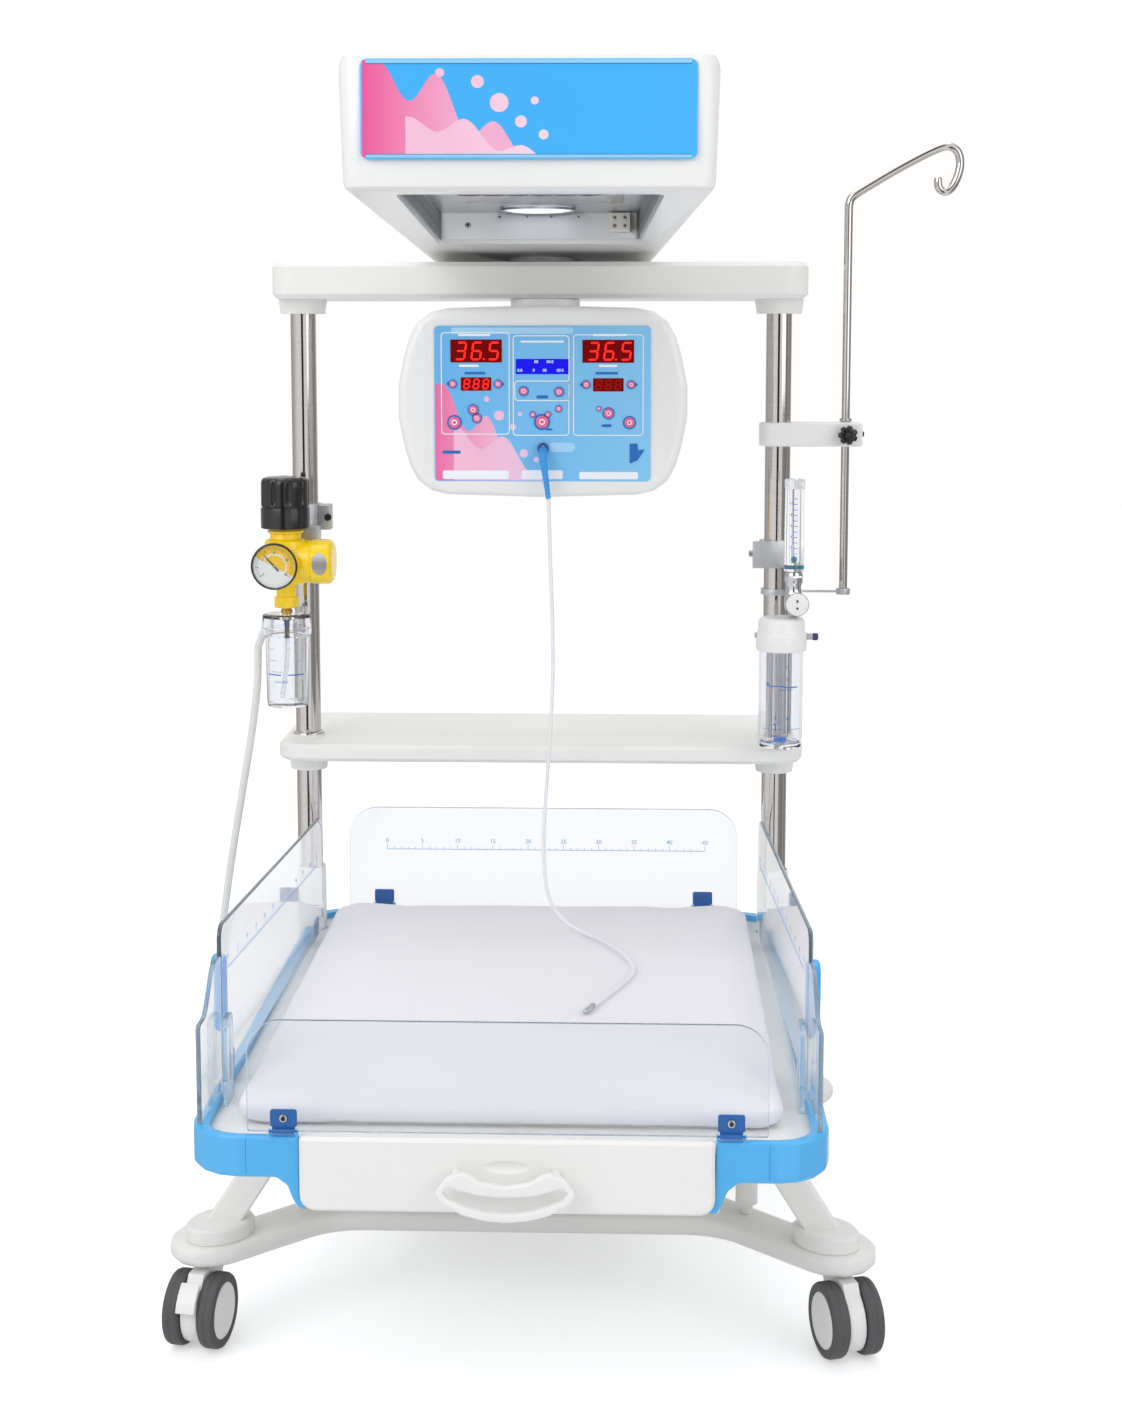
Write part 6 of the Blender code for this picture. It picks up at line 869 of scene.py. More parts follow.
# ---- Hood ----
# A tapered white moulded hood that leans forward from its swivel foot on the crossbar. It turns
# on a slotted steel disc, and a thick printed acrylic plate is let into its front.
hood_place = Matrix.Translation(at(0, 0.06, 1.259)) @ Matrix.Rotation(math.radians(1.45), 4,
    "Z") @ Matrix.Rotation(math.radians(-3.4), 4, "X")
shell_plastic = moulded("hood_moulding", (238, 238, 237), 0.3, 0.0018, 0.03, 0.01, coat=0.2)
carried("hood_shell", shell_plastic, "hood_moulded_shell", crease=40)
# The disc steel's hollows darken with painted shade.
bright_steel = moulded("bright_disc_steel", (196, 197, 200), 0.22, 0.0005, 0.06, 0.05,
    metallic=1.0, hollow_shading=0.5)
disc_foot = Matrix.Translation(at(0, 0.06, 0))
disc = turned("slotted_swivel_disc", "0 1252.6, 58 1252.6, 58.9 1253, 58.9 1254.2, 58 1254.6, 22.4 1254.6, "
    "22.2 1270, 0 1270.2", disc_foot, bright_steel, steps=96)
slot_outline = rounded_box(-0.006, 0.006, 0.049, 0.053, 0.0019, 5)
cut(disc, [plate("slot", slot_outline, 1.25, 1.26, disc_foot @ Matrix.Rotation(math.radians(45 * i + 22.5), 4, "Z"),
    bright_steel, soft=0) for i in range(8)])
settle(disc, bright_steel)
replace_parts(disc, "swivel_disc")
plate_blue = moulded("plate_sky_blue", (72, 182, 250), 0.12, 0.004, 0.02, 0.015, coat=0.8)


def graded(name, left, right, from_x, to_x, roughness, coat):
    """A print whose colour passes from one shade to another along X, on its own glossy film."""
    made, tree, surface = new_finish(name)
    place = on_object(tree)
    across = add_node(tree, "SeparateXYZ", {0: place}).outputs["X"]
    share = ranged(tree, across, 0, 1, MIDDLE.x + from_x, MIDDLE.x + to_x)
    tone = add_node(tree, "Mix", {0: share, 6: linear(*left), 7: linear(*right)}, data_type="RGBA")
    speck = add_node(tree, "TexNoise", {"Vector": place, "Scale": 1500.0, "Detail": 2.0})
    fill(surface, {"Base Color": tone.outputs[2], "Coat Weight": coat, "Roughness": ranged(tree, speck.outputs[0],
        roughness * 0.8, roughness * 1.2)})
    return made


PLATE_W = 0.342
PLATE_H = 0.101
plate_place = hood_place @ standing((0, -0.7502, 0.08), (1, 0, 0))
plate_outline = rounded_box(-PLATE_W / 2, PLATE_W / 2, -PLATE_H / 2, PLATE_H / 2, 0.008, 10)
printed_plate = plate("hood_printed_plate", plate_outline, 0, 0.004, plate_place, plate_blue, "hood", 0.0012,
    segments=4)
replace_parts(printed_plate, "hood_front_plate")
pink_print = graded("pink_wave_print", (240, 70, 148), (246, 178, 212), -0.165, -0.045, 0.12, 0.8)
pale_print = graded("pale_wave_print", (248, 196, 222), (250, 222, 236), -0.06, 0.05, 0.12, 0.8)


def oval(x, y, wide, tall, steps=32):
    """Points round an oval."""
    return [(x + wide / 2 * math.cos(a), y + tall / 2 * math.sin(a)) for a in (2 * math.pi * i / steps
        for i in range(steps))]


def wave_outline(left, right, low, high, crests, sway, phase, steps=60):
    """A region closed along its left and bottom edges, whose top falls to the right in soft waves."""
    outline = [(left, low), (right, low)]
    for i in range(steps + 1):
        t = 1 - i / steps
        fall = (1 - t) ** 0.75 if t < 1 else 0
        swell = sway * math.sin(t * crests * math.pi + phase) * t * (1 - t) * 4
        outline.append((left + (right - left) * t, low + (high - low) * min(1.0, max(0.004, fall + swell))))
    return outline


edge_x, edge_y = PLATE_W / 2 - 0.002, PLATE_H / 2 - 0.002
plate("hood_print_wave", wave_outline(-edge_x, -0.008, -edge_y, edge_y, 5.0, 0.24, 0.4), 0.004, 0.00412, plate_place,
    pink_print, "hood", 0)
plate("hood_print_pale_wave", wave_outline(-0.125, 0.01, -edge_y, -0.008, 4.0, 0.3, 2.2), 0.00412, 0.00422,
    plate_place, pale_print, "hood", 0)
# Painted highlight and shade: flat pale strips stand for the light on the plate's top and bottom bevels, and thin
# darker lines for the shade at the bevels' inner edges.
bevel_painted_highlight = moulded("plate_edge_pale", (150, 212, 250), 0.12, 0.004, 0.02, 0.015, coat=0.8)
bevel_painted_shade_line = moulded("plate_edge_deep", (58, 128, 190), 0.12, 0.004, 0.02, 0.015, coat=0.8)
for name, low, high, look in (("top_bevel", 0.0455, 0.0492, bevel_painted_highlight), ("bottom_bevel", -0.0492, -0.0462, bevel_painted_highlight),
        ("top_line", 0.0446, 0.0454, bevel_painted_shade_line), ("bottom_line", -0.0461, -0.0455, bevel_painted_shade_line)):
    plate("hood_plate_" + name, box_corners(-edge_x + 0.004, edge_x - 0.004, low, high), 0.00422, 0.00434,
        plate_place, look, "hood", 0)
joined("hood_print_bubbles", [plate("bubble", oval(x, y, d, d, 40), 0.004, 0.00414, plate_place, pale_print, "hood",
    0) for x, y, d in mm("-30 6 19, -8 -13 12, 6 8 8, -52 27 13, 15 -26 10, -90 36 9")])

# ---- Heater under the hood ----
# A folded bright-steel liner with a hexagonal guard over three quartz rods, an oval lamp lens, a
# ceramic terminal block and small fixing screws. Perforated rails run along both sides.
liner_steel = brushed("brushed_liner_steel", (14.0, 14.0, 700.0), 4.0, (178, 181, 185),
    (222, 224, 226), 0.26, 0.42, 0.08, 9.0)
carried("reflector", liner_steel, "folded_liner")
guard_steel = moulded("guard_steel", (190, 192, 196), 0.25, 0.0005, 0.06, 0.05, metallic=1.0)
carried("heater_guard", guard_steel, "hexagonal_guard", 0.0003)
quartz_red = moulded("quartz_rod", (128, 46, 34), 0.35, 0.002, 0.04, 0.25, coat=0.6)
ceramic_white = moulded("steatite_ceramic", (232, 228, 218), 0.55, 0.0006, 0.06, 0.04)
rods = []
ends = []
for y in (-0.543, -0.485, -0.427):
    rod_place = hood_place @ toward((0, y, 0.078), (1, 0, 0))
    rods.append(turned("rod", "0 -85, 5 -85, 6 -84, 6 84, 5 85, 0 85", rod_place, quartz_red, "hood", 32))
    for hand in (-1, 1):
        cap_place = hood_place @ toward((hand * 0.0795, y, 0.078), (hand, 0, 0))
        ends.append(turned("end", "6 0, 8.2 0, 9 1, 9 13, 8 14, 8 17.2, 0 17.2", cap_place, ceramic_white, "hood",
            32))
element = joined("quartz_heater_rods", rods)
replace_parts(element, "heater_element")
joined("heater_rod_ends", ends)
lens_glow, tree, surface = new_finish("lamp_lens")
reed = add_node(tree, "TexWave", {"Vector": on_object(tree), "Scale": 60.0}, bands_direction="X")
reed = reed.outputs["Fac"]
fill(surface, {"Normal": bumped(tree, reed, 0.2, 0.0005), "Roughness": ranged(tree, reed, 0.25, 0.4),
    "Base Color": linear(244, 247, 252), "Emission Color": linear(244, 248, 255), "Emission Strength": 0.55})
lens = turned("oval_lamp_lens", "0 -5, 20 -4.6, 33 -3.6, 40 -1.8, 42 0, 0 0", Matrix.Diagonal((1.03, 0.6, 1, 1)),
    lens_glow, "hood", 64)
lens.data.transform(hood_place @ Matrix.Translation((0, -0.268, 0.0372)))
lens_rim = turned("oval_lamp_rim", "42.4 0, 42.4 -2.2, 43.6 -3, 45.2 -2.6, 45.8 0", Matrix.Diagonal((1.03, 0.62, 1,
    1)), guard_steel, "hood", 64)
lens_rim.data.transform(hood_place @ Matrix.Translation((0, -0.268, 0.0372)))
terminal = block("terminal_block", (0.088, -0.232, 0.014), (0.115, -0.216, 0.037), 0.0014)
terminal.data.transform(hood_place)
settle(terminal, ceramic_white, "hood")
for i, (x, z) in enumerate(((0.095, 0.03), (0.108, 0.03), (0.095, 0.02), (0.108, 0.02))):
    screw("terminal_screw_" + str(i), hood_place @ standing((x, -0.2318, z), (1, 0, 0)), "hood", 0.0055)
screw("liner_screw", hood_place @ standing((-0.09, -0.2142, 0.023), (1, 0, 0)), "hood", 0.008)
for i, x in enumerate((-0.05, -0.015, 0.015, 0.05)):
    screw("lip_screw_" + str(i), hood_place @ standing((x, -0.2142, 0.0335), (1, 0, 0)), "hood", 0.0036)
rail_grey = moulded("rail_grey", (148, 150, 154), 0.4, 0.0008, 0.05, 0.06, metallic=0.6)
for side, name in ((-1, "left"), (1, "right")):
    foot = Vector((side * 0.1255, -0.22, 0.0045))
    tip = Vector((side * 0.137, -0.7, 0.0045))
    along = tip - foot
    rail_place = hood_place @ standing(foot, along, (0, 0, 1))
    strip = rounded_box(0.004, along.length - 0.006, 0.002, 0.03, 0.002, 4)
    hand = 1 if side < 0 else -1
    rail = plate(name + "_perforated_rail", strip, min(0, hand * 0.0012), max(0, hand * 0.0012), rail_place,
        rail_grey, "hood", 0)
    cutters = []
    for i in range(22):
        bpy.ops.object.select_all(action="DESELECT")
        bpy.ops.mesh.primitive_cylinder_add(vertices=20, radius=0.0042, depth=0.02, location=(0.024 + 0.021 * i,
            0.016, 0))
        tool = bpy.context.object
        bpy.ops.object.transform_apply(location=True, rotation=True, scale=True)
        tool.data.transform(rail_place)
        cutters.append(tool)
    cut(rail, [joined("holes", cutters)])
    settle(rail, rail_grey, "hood", 30)

# ---- Examination lamp ----
# A small lamp behind the hood's front lip that lights the liner's rear wall.
lamp_data = bpy.data.lights.new("examination_lamp", "AREA")
lamp_data.shape = "RECTANGLE"
lamp_data.size = 0.11
lamp_data.size_y = 0.02
lamp_data.energy = 0.022
lamp_data.spread = math.radians(110)
lamp = bpy.data.objects.new("examination_lamp", lamp_data)
bpy.context.collection.objects.link(lamp)
lamp.matrix_world = hood_place @ Matrix.Translation((0, -0.64, 0.016)) @ Matrix.Rotation(math.radians(-92), 4,
    "X") @ Matrix.Rotation(math.radians(180), 4, "Y")

# ---- Control box ----
# A white moulded box that hangs under the crossbar on a boss. A printed keypad film lies in its
# bezel, with lit displays behind it and domed keys in it, and the probe plugs in at its foot.
bezel = carried("control_bezel", shell_plastic, "control_bezel_moulded")
middle = at(0.008, 0, 0.95)
places = points_of(bezel)
places[:, 0] = middle.x + (places[:, 0] - middle.x) * 1.068
places[:, 2] = middle.z + (places[:, 2] - middle.z) * 1.022
set_points(bezel, places)
softened(bezel, 0.0016, 16)
carried("control_back", shell_plastic, "control_rear_case", 0.0008)
panel = standing(at(0.008, -0.1243, 1.068), (1, 0, 0))
ledge = rounded_box(-0.1475, 0.1475, -0.1072, 0.1072, 0.011, 8)
cut(bezel, [plate("ledge", ledge, -0.0001, 0.01, panel, shell_plastic, soft=0)])
settle(bezel, shell_plastic)
film_blue = graded("keypad_film_blue", (104, 184, 240), (136, 204, 246), -0.13, 0.15, 0.3, 0.2)
film_outline = rounded_box(-0.14, 0.14, -0.1003, 0.1003, 0.006, 8)
film = plate("keypad_film", film_outline, -0.0015, 0, panel, film_blue, soft=0.0003)
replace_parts(film, "control_overlay")
PRINT = 0.0001
pink_film = graded("keypad_pink", (240, 112, 172), (248, 196, 220), -0.13, -0.03, 0.3, 0.2)
pale_film = graded("keypad_pale_pink", (248, 190, 218), (236, 208, 236), -0.07, 0.01, 0.3, 0.2)
white_film = moulded("keypad_white", (240, 246, 252), 0.3, 0.0006, 0.01, 0.01)
light_film = moulded("keypad_light_blue", (168, 216, 248), 0.3, 0.0006, 0.01, 0.01)
deep_film = moulded("keypad_deep_blue", (36, 112, 190), 0.3, 0.0006, 0.01, 0.02)
key_pink = moulded("key_pink", (236, 96, 148), 0.25, 0.0008, 0.02, 0.03, coat=0.5)


def printed(name, outline, level, look):
    """A flat print on the film, one layer over another."""
    return plate(name, outline, PRINT * level, PRINT * (level + 1), panel, look, "frame", 0)


def band(name, outline, inner, level, look):
    """A printed line or rim between two outlines of as many points."""
    count = len(outline)
    points = [(x, y, PRINT * z) for z in (level, level + 1) for ring in (outline, inner) for x, y in ring]
    faces = []
    top = 2 * count
    for a in range(count):
        b = (a + 1) % count
        c, d = count + b, count + a
        faces += [(d, c, b, a), (top + a, top + b, top + c, top + d), (a, b, top + b, top + a), (c, d, top + d, top
            + c)]
    return settle(new_piece(name, points, [], faces, panel), look, "frame", 20)


def frame_line(left, right, low, high, wide=0.0013, corner=0.005):
    return band("line", rounded_box(left, right, low, high, corner, 6), rounded_box(left + wide, right - wide, low
        + wide, high - wide, corner - wide, 6), 4, white_film)


printed("keypad_wave", wave_outline(-0.1388, -0.03, -0.0991, 0.026, 3.4, 0.2, 0.9), 0, pink_film)
printed("keypad_pale_wave", wave_outline(-0.115, 0.002, -0.0991, -0.028, 3.0, 0.26, 2.4), 1, pale_film)
joined("keypad_bubbles", [printed("bubble", oval(x, y, d, d), 0, pale_film) for x, y,
    d in mm("-56 -15 13, -38 -30 8, -29 -13 5.6, -24 -64 11, -8 -72 7, -72 6 7")])
joined("keypad_shine", [printed("shine", rounded_box(0.008, 0.042, -0.062, -0.05, 0.006, 6), 0, light_film),
    printed("shine", rounded_box(-0.118, 0.04, 0.09, 0.098, 0.003, 6), 0, light_film)])
joined("keypad_frames", [frame_line(-0.1312, -0.0421, -0.0398, 0.0921), frame_line(-0.0382, 0.035, -0.0412, 0.0881),
    frame_line(0.0398, 0.1307, -0.0412, 0.0894), frame_line(-0.0362, 0.0358, 0.0037, 0.0301)])
joined("keypad_label_places", [printed("label", rounded_box(left, right, low, high, 0.0025, 5), 3, white_film)
    for left, right, low, high in mm("-129.4 -43.5 -97.4 -86.2, -27 26.5 -97.4 -85.6, 47.7 124 -97.4 -87.8")])


def captions(name, rows, look, more=()):
    """Short rounded bars that stand for lines of small print."""
    joined(name, [printed("caption", rounded_box(x - wide / 2, x + wide / 2, y - tall / 2, y + tall / 2, tall * 0.4,
        4), 5, look) for x, y, wide, tall in rows] + list(more))


captions("keypad_white_captions", mm("-88 88.5 42 3, 87 88.5 44 3, -95 49 26 3, 85 49 24 3, 0 80 56 2.6"), white_film)
captions("keypad_blue_captions", mm("-87 39.5 27 3.2, 83 39.5 29 3.2, 0 9 15 4, 83 -28 13 3.4, -118 -62.5 24 4, "
    "9 -33 8 2.4"), deep_film, [printed("pointer", rounded_corners([(0.113, -0.077), (0.123, -0.073), (0.133, -0.058),
    (0.124, -0.06), (0.123, -0.051), (0.113, -0.051)], (0.001,) * 6, 4), 5, deep_film)])

# ---- Lit displays ----
# Red segment displays and one blue character display behind smoked windows in the keypad film.
# Each figure is cut from slanted bars.
display_dark, tree, surface = new_finish("display_window")
dots = add_node(tree, "TexVoronoi", {"Vector": on_object(tree), "Scale": 900.0}).outputs["Distance"]
fill(surface, {"Emission Strength": ranged(tree, dots, 0.1, 0.22), "Emission Color": linear(190, 0, 0),
    "Base Color": linear(92, 6, 8), "Roughness": 0.12})


def lit(name, colour, strength, grain=700.0):
    """A lit print, a little uneven, as behind a film."""
    made, tree, surface = new_finish(name)
    uneven = add_node(tree, "TexNoise", {"Vector": on_object(tree), "Scale": grain, "Detail": 2.0})
    fill(surface, {"Emission Strength": ranged(tree, uneven.outputs[0], strength * 0.8, strength * 1.2),
        "Emission Color": linear(*colour), "Base Color": linear(*colour), "Roughness": 0.2})
    return made


lit_red = lit("lit_red", (255, 34, 26), 0.9)
dim_red = lit("dim_red", (150, 8, 8), 0.25)
lit_blue = lit("lcd_blue", (16, 10, 205), 0.55, 300.0)
lit_white = lit("lcd_white", (190, 215, 255), 0.8)
SEGMENTS = {"3": "abcdg", "6": "acdefg", "5": "acdfg", "8": "abcdefg"}


def figure(sign, x, y, wide, tall, thick, level, look):
    """One seven-segment figure, slanted, with its middle at x, y."""
    w, h, t = wide / 2, tall / 2, thick / 2
    bars = {"a": (-w, h, w, h), "b": (w, h, w, 0), "c": (w, 0, w, -h), "d": (-w, -h, w, -h), "e": (-w, -h, -w, 0),
        "f": (-w, 0, -w, h), "g": (-w, 0, w, 0)}
    made = []
    for key in SEGMENTS[sign]:
        x0, y0, x1, y1 = bars[key]
        way = Vector((x1 - x0, y1 - y0)).normalized()
        side = Vector((-way.y, way.x)) * t
        start = Vector((x0, y0)) + way * t * 0.25
        end = Vector((x1, y1)) - way * t * 0.25
        corners = [start, start + way * t + side, end - way * t + side, end, end - way * t - side, start + way * t
            - side]
        made.append(printed("bar", [(x + p.x + p.y * 0.14, y + p.y) for p in corners], level, look))
    return made


bars, windows, unlit = [], [], []
for x, y, digits_x in ((-0.0855, 0.068, (-0.0197, 0.0008, 0.0229)), (0.085, 0.0676, (-0.019, 0.0015, 0.0236))):
    windows.append(printed("window", box_corners(x - 0.0333, x + 0.0333, y - 0.0147, y + 0.0147), 5, display_dark))
    for sign, step in zip("365", digits_x):
        bars += figure(sign, x + step, y, 0.0112, 0.0215, 0.0026, 6, lit_red)
    bars.append(printed("point", oval(x + 0.01, y - 0.0105, 0.0026, 0.0026, 16), 6, lit_red))
for x, y, look, into in ((-0.0858, 0.0256, lit_red, bars), (0.0852, 0.0246, dim_red, unlit)):
    windows.append(printed("window", box_corners(x - 0.0197, x + 0.0197, y - 0.0085, y + 0.0085), 5, display_dark))
    for step in (-0.012, 0.0003, 0.0126):
        into += figure("8", x + step, y, 0.0066, 0.0118, 0.0019, 6, look)
joined("display_windows", windows)
joined("display_lit_figures", bars)
joined("display_dim_figures", unlit)
printed("character_display", box_corners(-0.0342, 0.0339, 0.0383, 0.0578), 5, lit_blue)
characters = []
for x, y, words in ((-0.008, 0.0525, "00"), (0.01, 0.0525, "00:0"), (-0.029, 0.0415, "0.0"), (-0.011, 0.0415, "0"),
        (0.003, 0.0415, "00"), (0.023, 0.0415, "00.0")):
    characters.append(lettering("characters", words, 0.0052, panel @ Matrix.Translation((x, y, PRINT * 6)), lit_white,
        depth=PRINT))
joined("character_display_figures", characters)

# ---- Keys ----
# Low domed rubber keys pressed up through the film, each in a printed blue rim.
rims, domes, marks = [], [], []
for x, y, size in mm("-115.8 25.6 9.6, -57.3 25.6 9.6, 56.8 24.8 9.6, 114.7 24.8 9.6, -113.9 -24 16, -89.5 -7.7 12, "
        "-84.7 -18.7 11, -24.1 16.4 11, 21.7 15.6 11, -0.4 -23.2 17.2, -12.4 -13.7 7.2, 7.3 -13.7 7.2, 21.1 -6.3 8, "
        "85.5 -12.1 13, 73 -6 6, 112.6 -24 14"):
    place = panel @ Matrix.Translation((x, y, 0))
    rims.append(band("rim", oval(x, y, size * 1.22, size * 1.22, 36), oval(x, y, size * 0.92, size * 0.92, 36), 7,
        deep_film))
    r = size / 2
    domes.append(turned("dome", [(r, 0), (r, 0.0004), (r * 0.9, 0.0009), (r * 0.6, 0.0013), (0, 0.0015)], place,
        key_pink, steps=32, crease=60))
    marks.append(band("mark", oval(x, y, size * 0.46, size * 0.46, 24), oval(x, y, size * 0.28, size * 0.28, 24),
        14.5, white_film))
joined("key_rims", rims)
joined("key_domes", domes)
joined("key_marks", marks)
lobes = []
for x, y, turn in ((-0.1158, 0.0256, 180), (-0.0573, 0.0256, 0), (0.0568, 0.0248, 180), (0.1147, 0.0248, 0)):
    way = math.radians(turn)
    tip = Vector((math.cos(way), math.sin(way)))
    side = Vector((-tip.y, tip.x))
    base = Vector((x, y)) + tip * 0.0052
    lobes.append(printed("arrow", [tuple(base - side * 0.003), tuple(base + tip * 0.0034), tuple(base + side
        * 0.003)], 7, deep_film))
joined("key_arrows", lobes)

# ---- Probe socket ----
# A round blue socket in the film with the lead's plug in it. The plug's long ribbed strain relief
# curves out and down over the box's lower edge.
socket_blue = moulded("socket_blue", (24, 92, 160), 0.35, 0.0008, 0.04, 0.04, coat=0.3)
relief_blue = moulded("relief_blue", (52, 150, 226), 0.42, 0.001, 0.04, 0.03)


def skinned(name, rings, look, body, crease, place=Matrix()):
    """A closed solid through rings of as many points, with a face over each end."""
    sides = len(rings[0])
    faces = [tuple(range(sides))[::-1], tuple((len(rings) - 1) * sides + k for k in range(sides))]
    for i in range(0, (len(rings) - 1) * sides, sides):
        for k in range(sides):
            n = (k + 1) % sides
            faces.append((i + k, i + n, i + sides + n, i + sides + k))
    piece = new_piece(name, [point for ring in rings for point in ring], [], faces, place)
    in_edit(OUTWARDS)
    return settle(piece, look, body, crease)


def tapered(name, points, radii, look, body="frame", sides=20):
    """A closed round body along the points, its radius at each of them given."""
    rings = []
    side = Vector((1, 0, 0))
    for i, point in enumerate(points):
        way = (points[min(i + 1, len(points) - 1)] - points[max(i - 1, 0)]).normalized()
        side = (side - way * side.dot(way)).normalized()
        up = way.cross(side)
        rings.append([point + (side * x + up * y) * radii[i] for x, y in oval(0, 0, 2, 2, sides)])
    return skinned(name, rings, look, body, 50)


socket_ring = turned("probe_socket_collar", "0 0.1, 6.8 0.1, 7.5 1, 7.5 5.8, 6.8 6.8, 5.8 7, 5.4 6, 0 5.8",
    toward(at(0.0092, -0.1246, 1.0107), (0, -1, 0)), socket_blue, steps=40)
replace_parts(socket_ring, "probe_socket")
knee, end = at(0.0092, -0.1396, 0.9997), at(0.0166, -0.144, 0.9465)
relief_points = smooth_route([at(0.0092, -0.13, 1.0085), at(0.0092, -0.1365, 1.006), knee, knee.lerp(end, 0.4), end],
    0.0016)
relief_radii = []
for i in range(len(relief_points)):
    share = i / (len(relief_points) - 1)
    waist = 0.0055 + (0.0033 - 0.0055) * share
    ribbed = i % 3 == 1 and 0.35 < share < 0.97
    relief_radii.append(waist * (0.86 if ribbed else 1.0))
tapered("probe_strain_relief", relief_points, relief_radii, relief_blue)
turned("probe_plug_pin", "0 6.8, 1.6 6.8, 2 7.2, 1.8 8, 0 8.2", toward(at(0.0092, -0.1246, 1.013), (0, -1, 0)),
    key_pink, steps=24)

# ---- Suction regulator ----
# A yellow painted die-cast regulator body with a side barrel, a stepped neck and a hexagonal nut.
# A black fluted knob on top sets the suction, and a round gauge is screwed into its front.
VACUUM = (-0.3345, -0.085)
vacuum_foot = Matrix.Translation(at(*VACUUM, 0))
# The enamel's hollows darken with painted shade.
yellow_paint = moulded("yellow_enamel", (253, 216, 8), 0.24, 0.0022, 0.04, 0.02, coat=0.4, hollow_shading=0.15)
casting = [turned("casting", "0 830, 15 830, 24 828.5, 27.2 831, 28 834.5, 28 882, 26.8 886, 24 888, 21 889, "
    "20.5 890.5, 20.5 896, 19.5 897.5, 19.5 901.8, 0 901.8", vacuum_foot, yellow_paint, steps=64),
    turned("neck", "0 810, 12.5 810, 13.2 813, 13.2 825, 15 831, 0 832", vacuum_foot, yellow_paint),
    plate("nut", arc(0.0162, 12, 312, 5), 0.7965, 0.8115, vacuum_foot, yellow_paint, soft=0.0009), turned("flange",
    "0 896.2, 23.2 896.2, 23.8 897, 23.8 899.2, 22.8 900.3, 0 900.3", vacuum_foot, yellow_paint)]
barrel_place = toward(at(VACUUM[0], VACUUM[1], 0.858), (1, 0, 0))
casting.append(turned("barrel", "0 10, 28.4 10, 28.8 30, 29 33, 28.4 33.8, 28.4 35.2, 29.6 36.4, 29.8 56, "
    "29.2 59.6, 27.4 61.8, 25.6 62.4, 24.4 64.2, 0 64.4", barrel_place, yellow_paint, steps=64))
body = joined("regulator_casting", casting)
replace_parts(body, "vacuum_body")
label_steel = moulded("label_foil", (176, 178, 180), 0.4, 0.0007, 0.1, 0.12, metallic=0.9)
LABEL_RINGS, LABEL_BEND = 6, 0.03
label_rings = []
for ring in range(1, LABEL_RINGS + 2):
    share = min(1.0, ring / LABEL_RINGS)
    out = LABEL_BEND + (0.0003 if ring <= LABEL_RINGS else -0.0012)
    label_rings.append([])
    for x, y in oval(0, 0, 2, 2, 40):
        lean = 0.0152 * share * y / LABEL_BEND - 0.02
        label_rings[-1].append(at(-0.286 + 0.0098 * share * x, VACUUM[1] - out * math.cos(lean), 0.858 + out
            * math.sin(lean)))
skinned("oval_foil_label", label_rings, label_steel, "frame", 60)
brass = moulded("brass_fitting", (196, 160, 84), 0.28, 0.0006, 0.06, 0.06, metallic=1.0)
knob_black = moulded("knob_black", (15, 16, 18), 0.24, 0.001, 0.03, 0.06, coat=0.3)


def fluted(name, rows, flutes, sharp, place, look, body="frame", sides=128):
    """A solid of rings given as height, radius and flute depth, its flutes sunk evenly round it."""
    rings = []
    for z, radius, depth in mm(rows):
        ring = []
        for x, y in oval(0, 0, 2, 2, sides):
            sink = radius - depth * max(0.0, math.cos(math.atan2(y, x) * flutes)) ** sharp
            ring.append(Vector((sink * x, sink * y, z)))
        rings.append(ring)
    return skinned(name, rings, look, body, 40, place)


regulator_knob = fluted("fluted_suction_knob", "902.7 29 0, 902.7 31.4 0, 903.6 32.3 0, 929 32.4 0, 930 32.1 0, "
    "930.6 30.8 0, 931.8 30.7 0, 932.5 31.7 0.2, 934.5 31.8 2.6, 940 31.8 3, 956 31.7 3, 964 31.5 2.4, "
    "966.8 30.6 1.2, 969 28.5 0.3, 970.4 24 0, 971.1 15 0, 971.3 5.2 0, 970.9 4 0, 968 3.8 0", 10, 1.6, vacuum_foot,
    knob_black, "vacuum_knob")
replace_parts(regulator_knob, "vacuum_knob")

# ---- Suction gauge ----
# A round gauge in a yellow case with a dark rim. Its dial is yellow above and white below under a
# glass, with printed ticks and a black needle on a brass pin.
GAUGE = (-0.343, 0.8557)
gauge_place = toward(at(GAUGE[0], -0.115, GAUGE[1]), (0, -1, 0))
case = turned("gauge_case", "0 0, 29.5 0, 30.8 1, 31 3, 31 12.8, 30.2 13.4, 30 12, 0 12", gauge_place, yellow_paint,
    steps=72)
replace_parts(case, "vacuum_gauge")
rim_dark = moulded("gauge_rim", (52, 56, 60), 0.24, 0.0008, 0.03, 0.05, metallic=0.7)
turned("gauge_rim", "30.4 12.2, 30.9 14, 30.4 15.5, 29.4 16, 28.4 15.5, 28.2 12.2", gauge_place, rim_dark, steps=72,
    closed=True)
dial = standing(at(GAUGE[0], -0.115 - 0.01205, GAUGE[1]), (1, 0, 0))
dial_white = moulded("dial_white", (236, 236, 232), 0.45, 0.0006, 0.01, 0.02)
dial_yellow = moulded("dial_yellow", (246, 200, 14), 0.45, 0.0006, 0.01, 0.02)
dial_ink = moulded("dial_ink", (40, 42, 46), 0.5, 0.0006, 0.01, 0.03)
dial_red = moulded("dial_red", (214, 66, 40), 0.5, 0.0006, 0.01, 0.03)


def on_dial(name, outline, level, look):
    """A flat print on the gauge's dial."""
    return plate(name, outline, 0.00012 * level, 0.00012 * (level + 1), dial, look, "frame", 0)


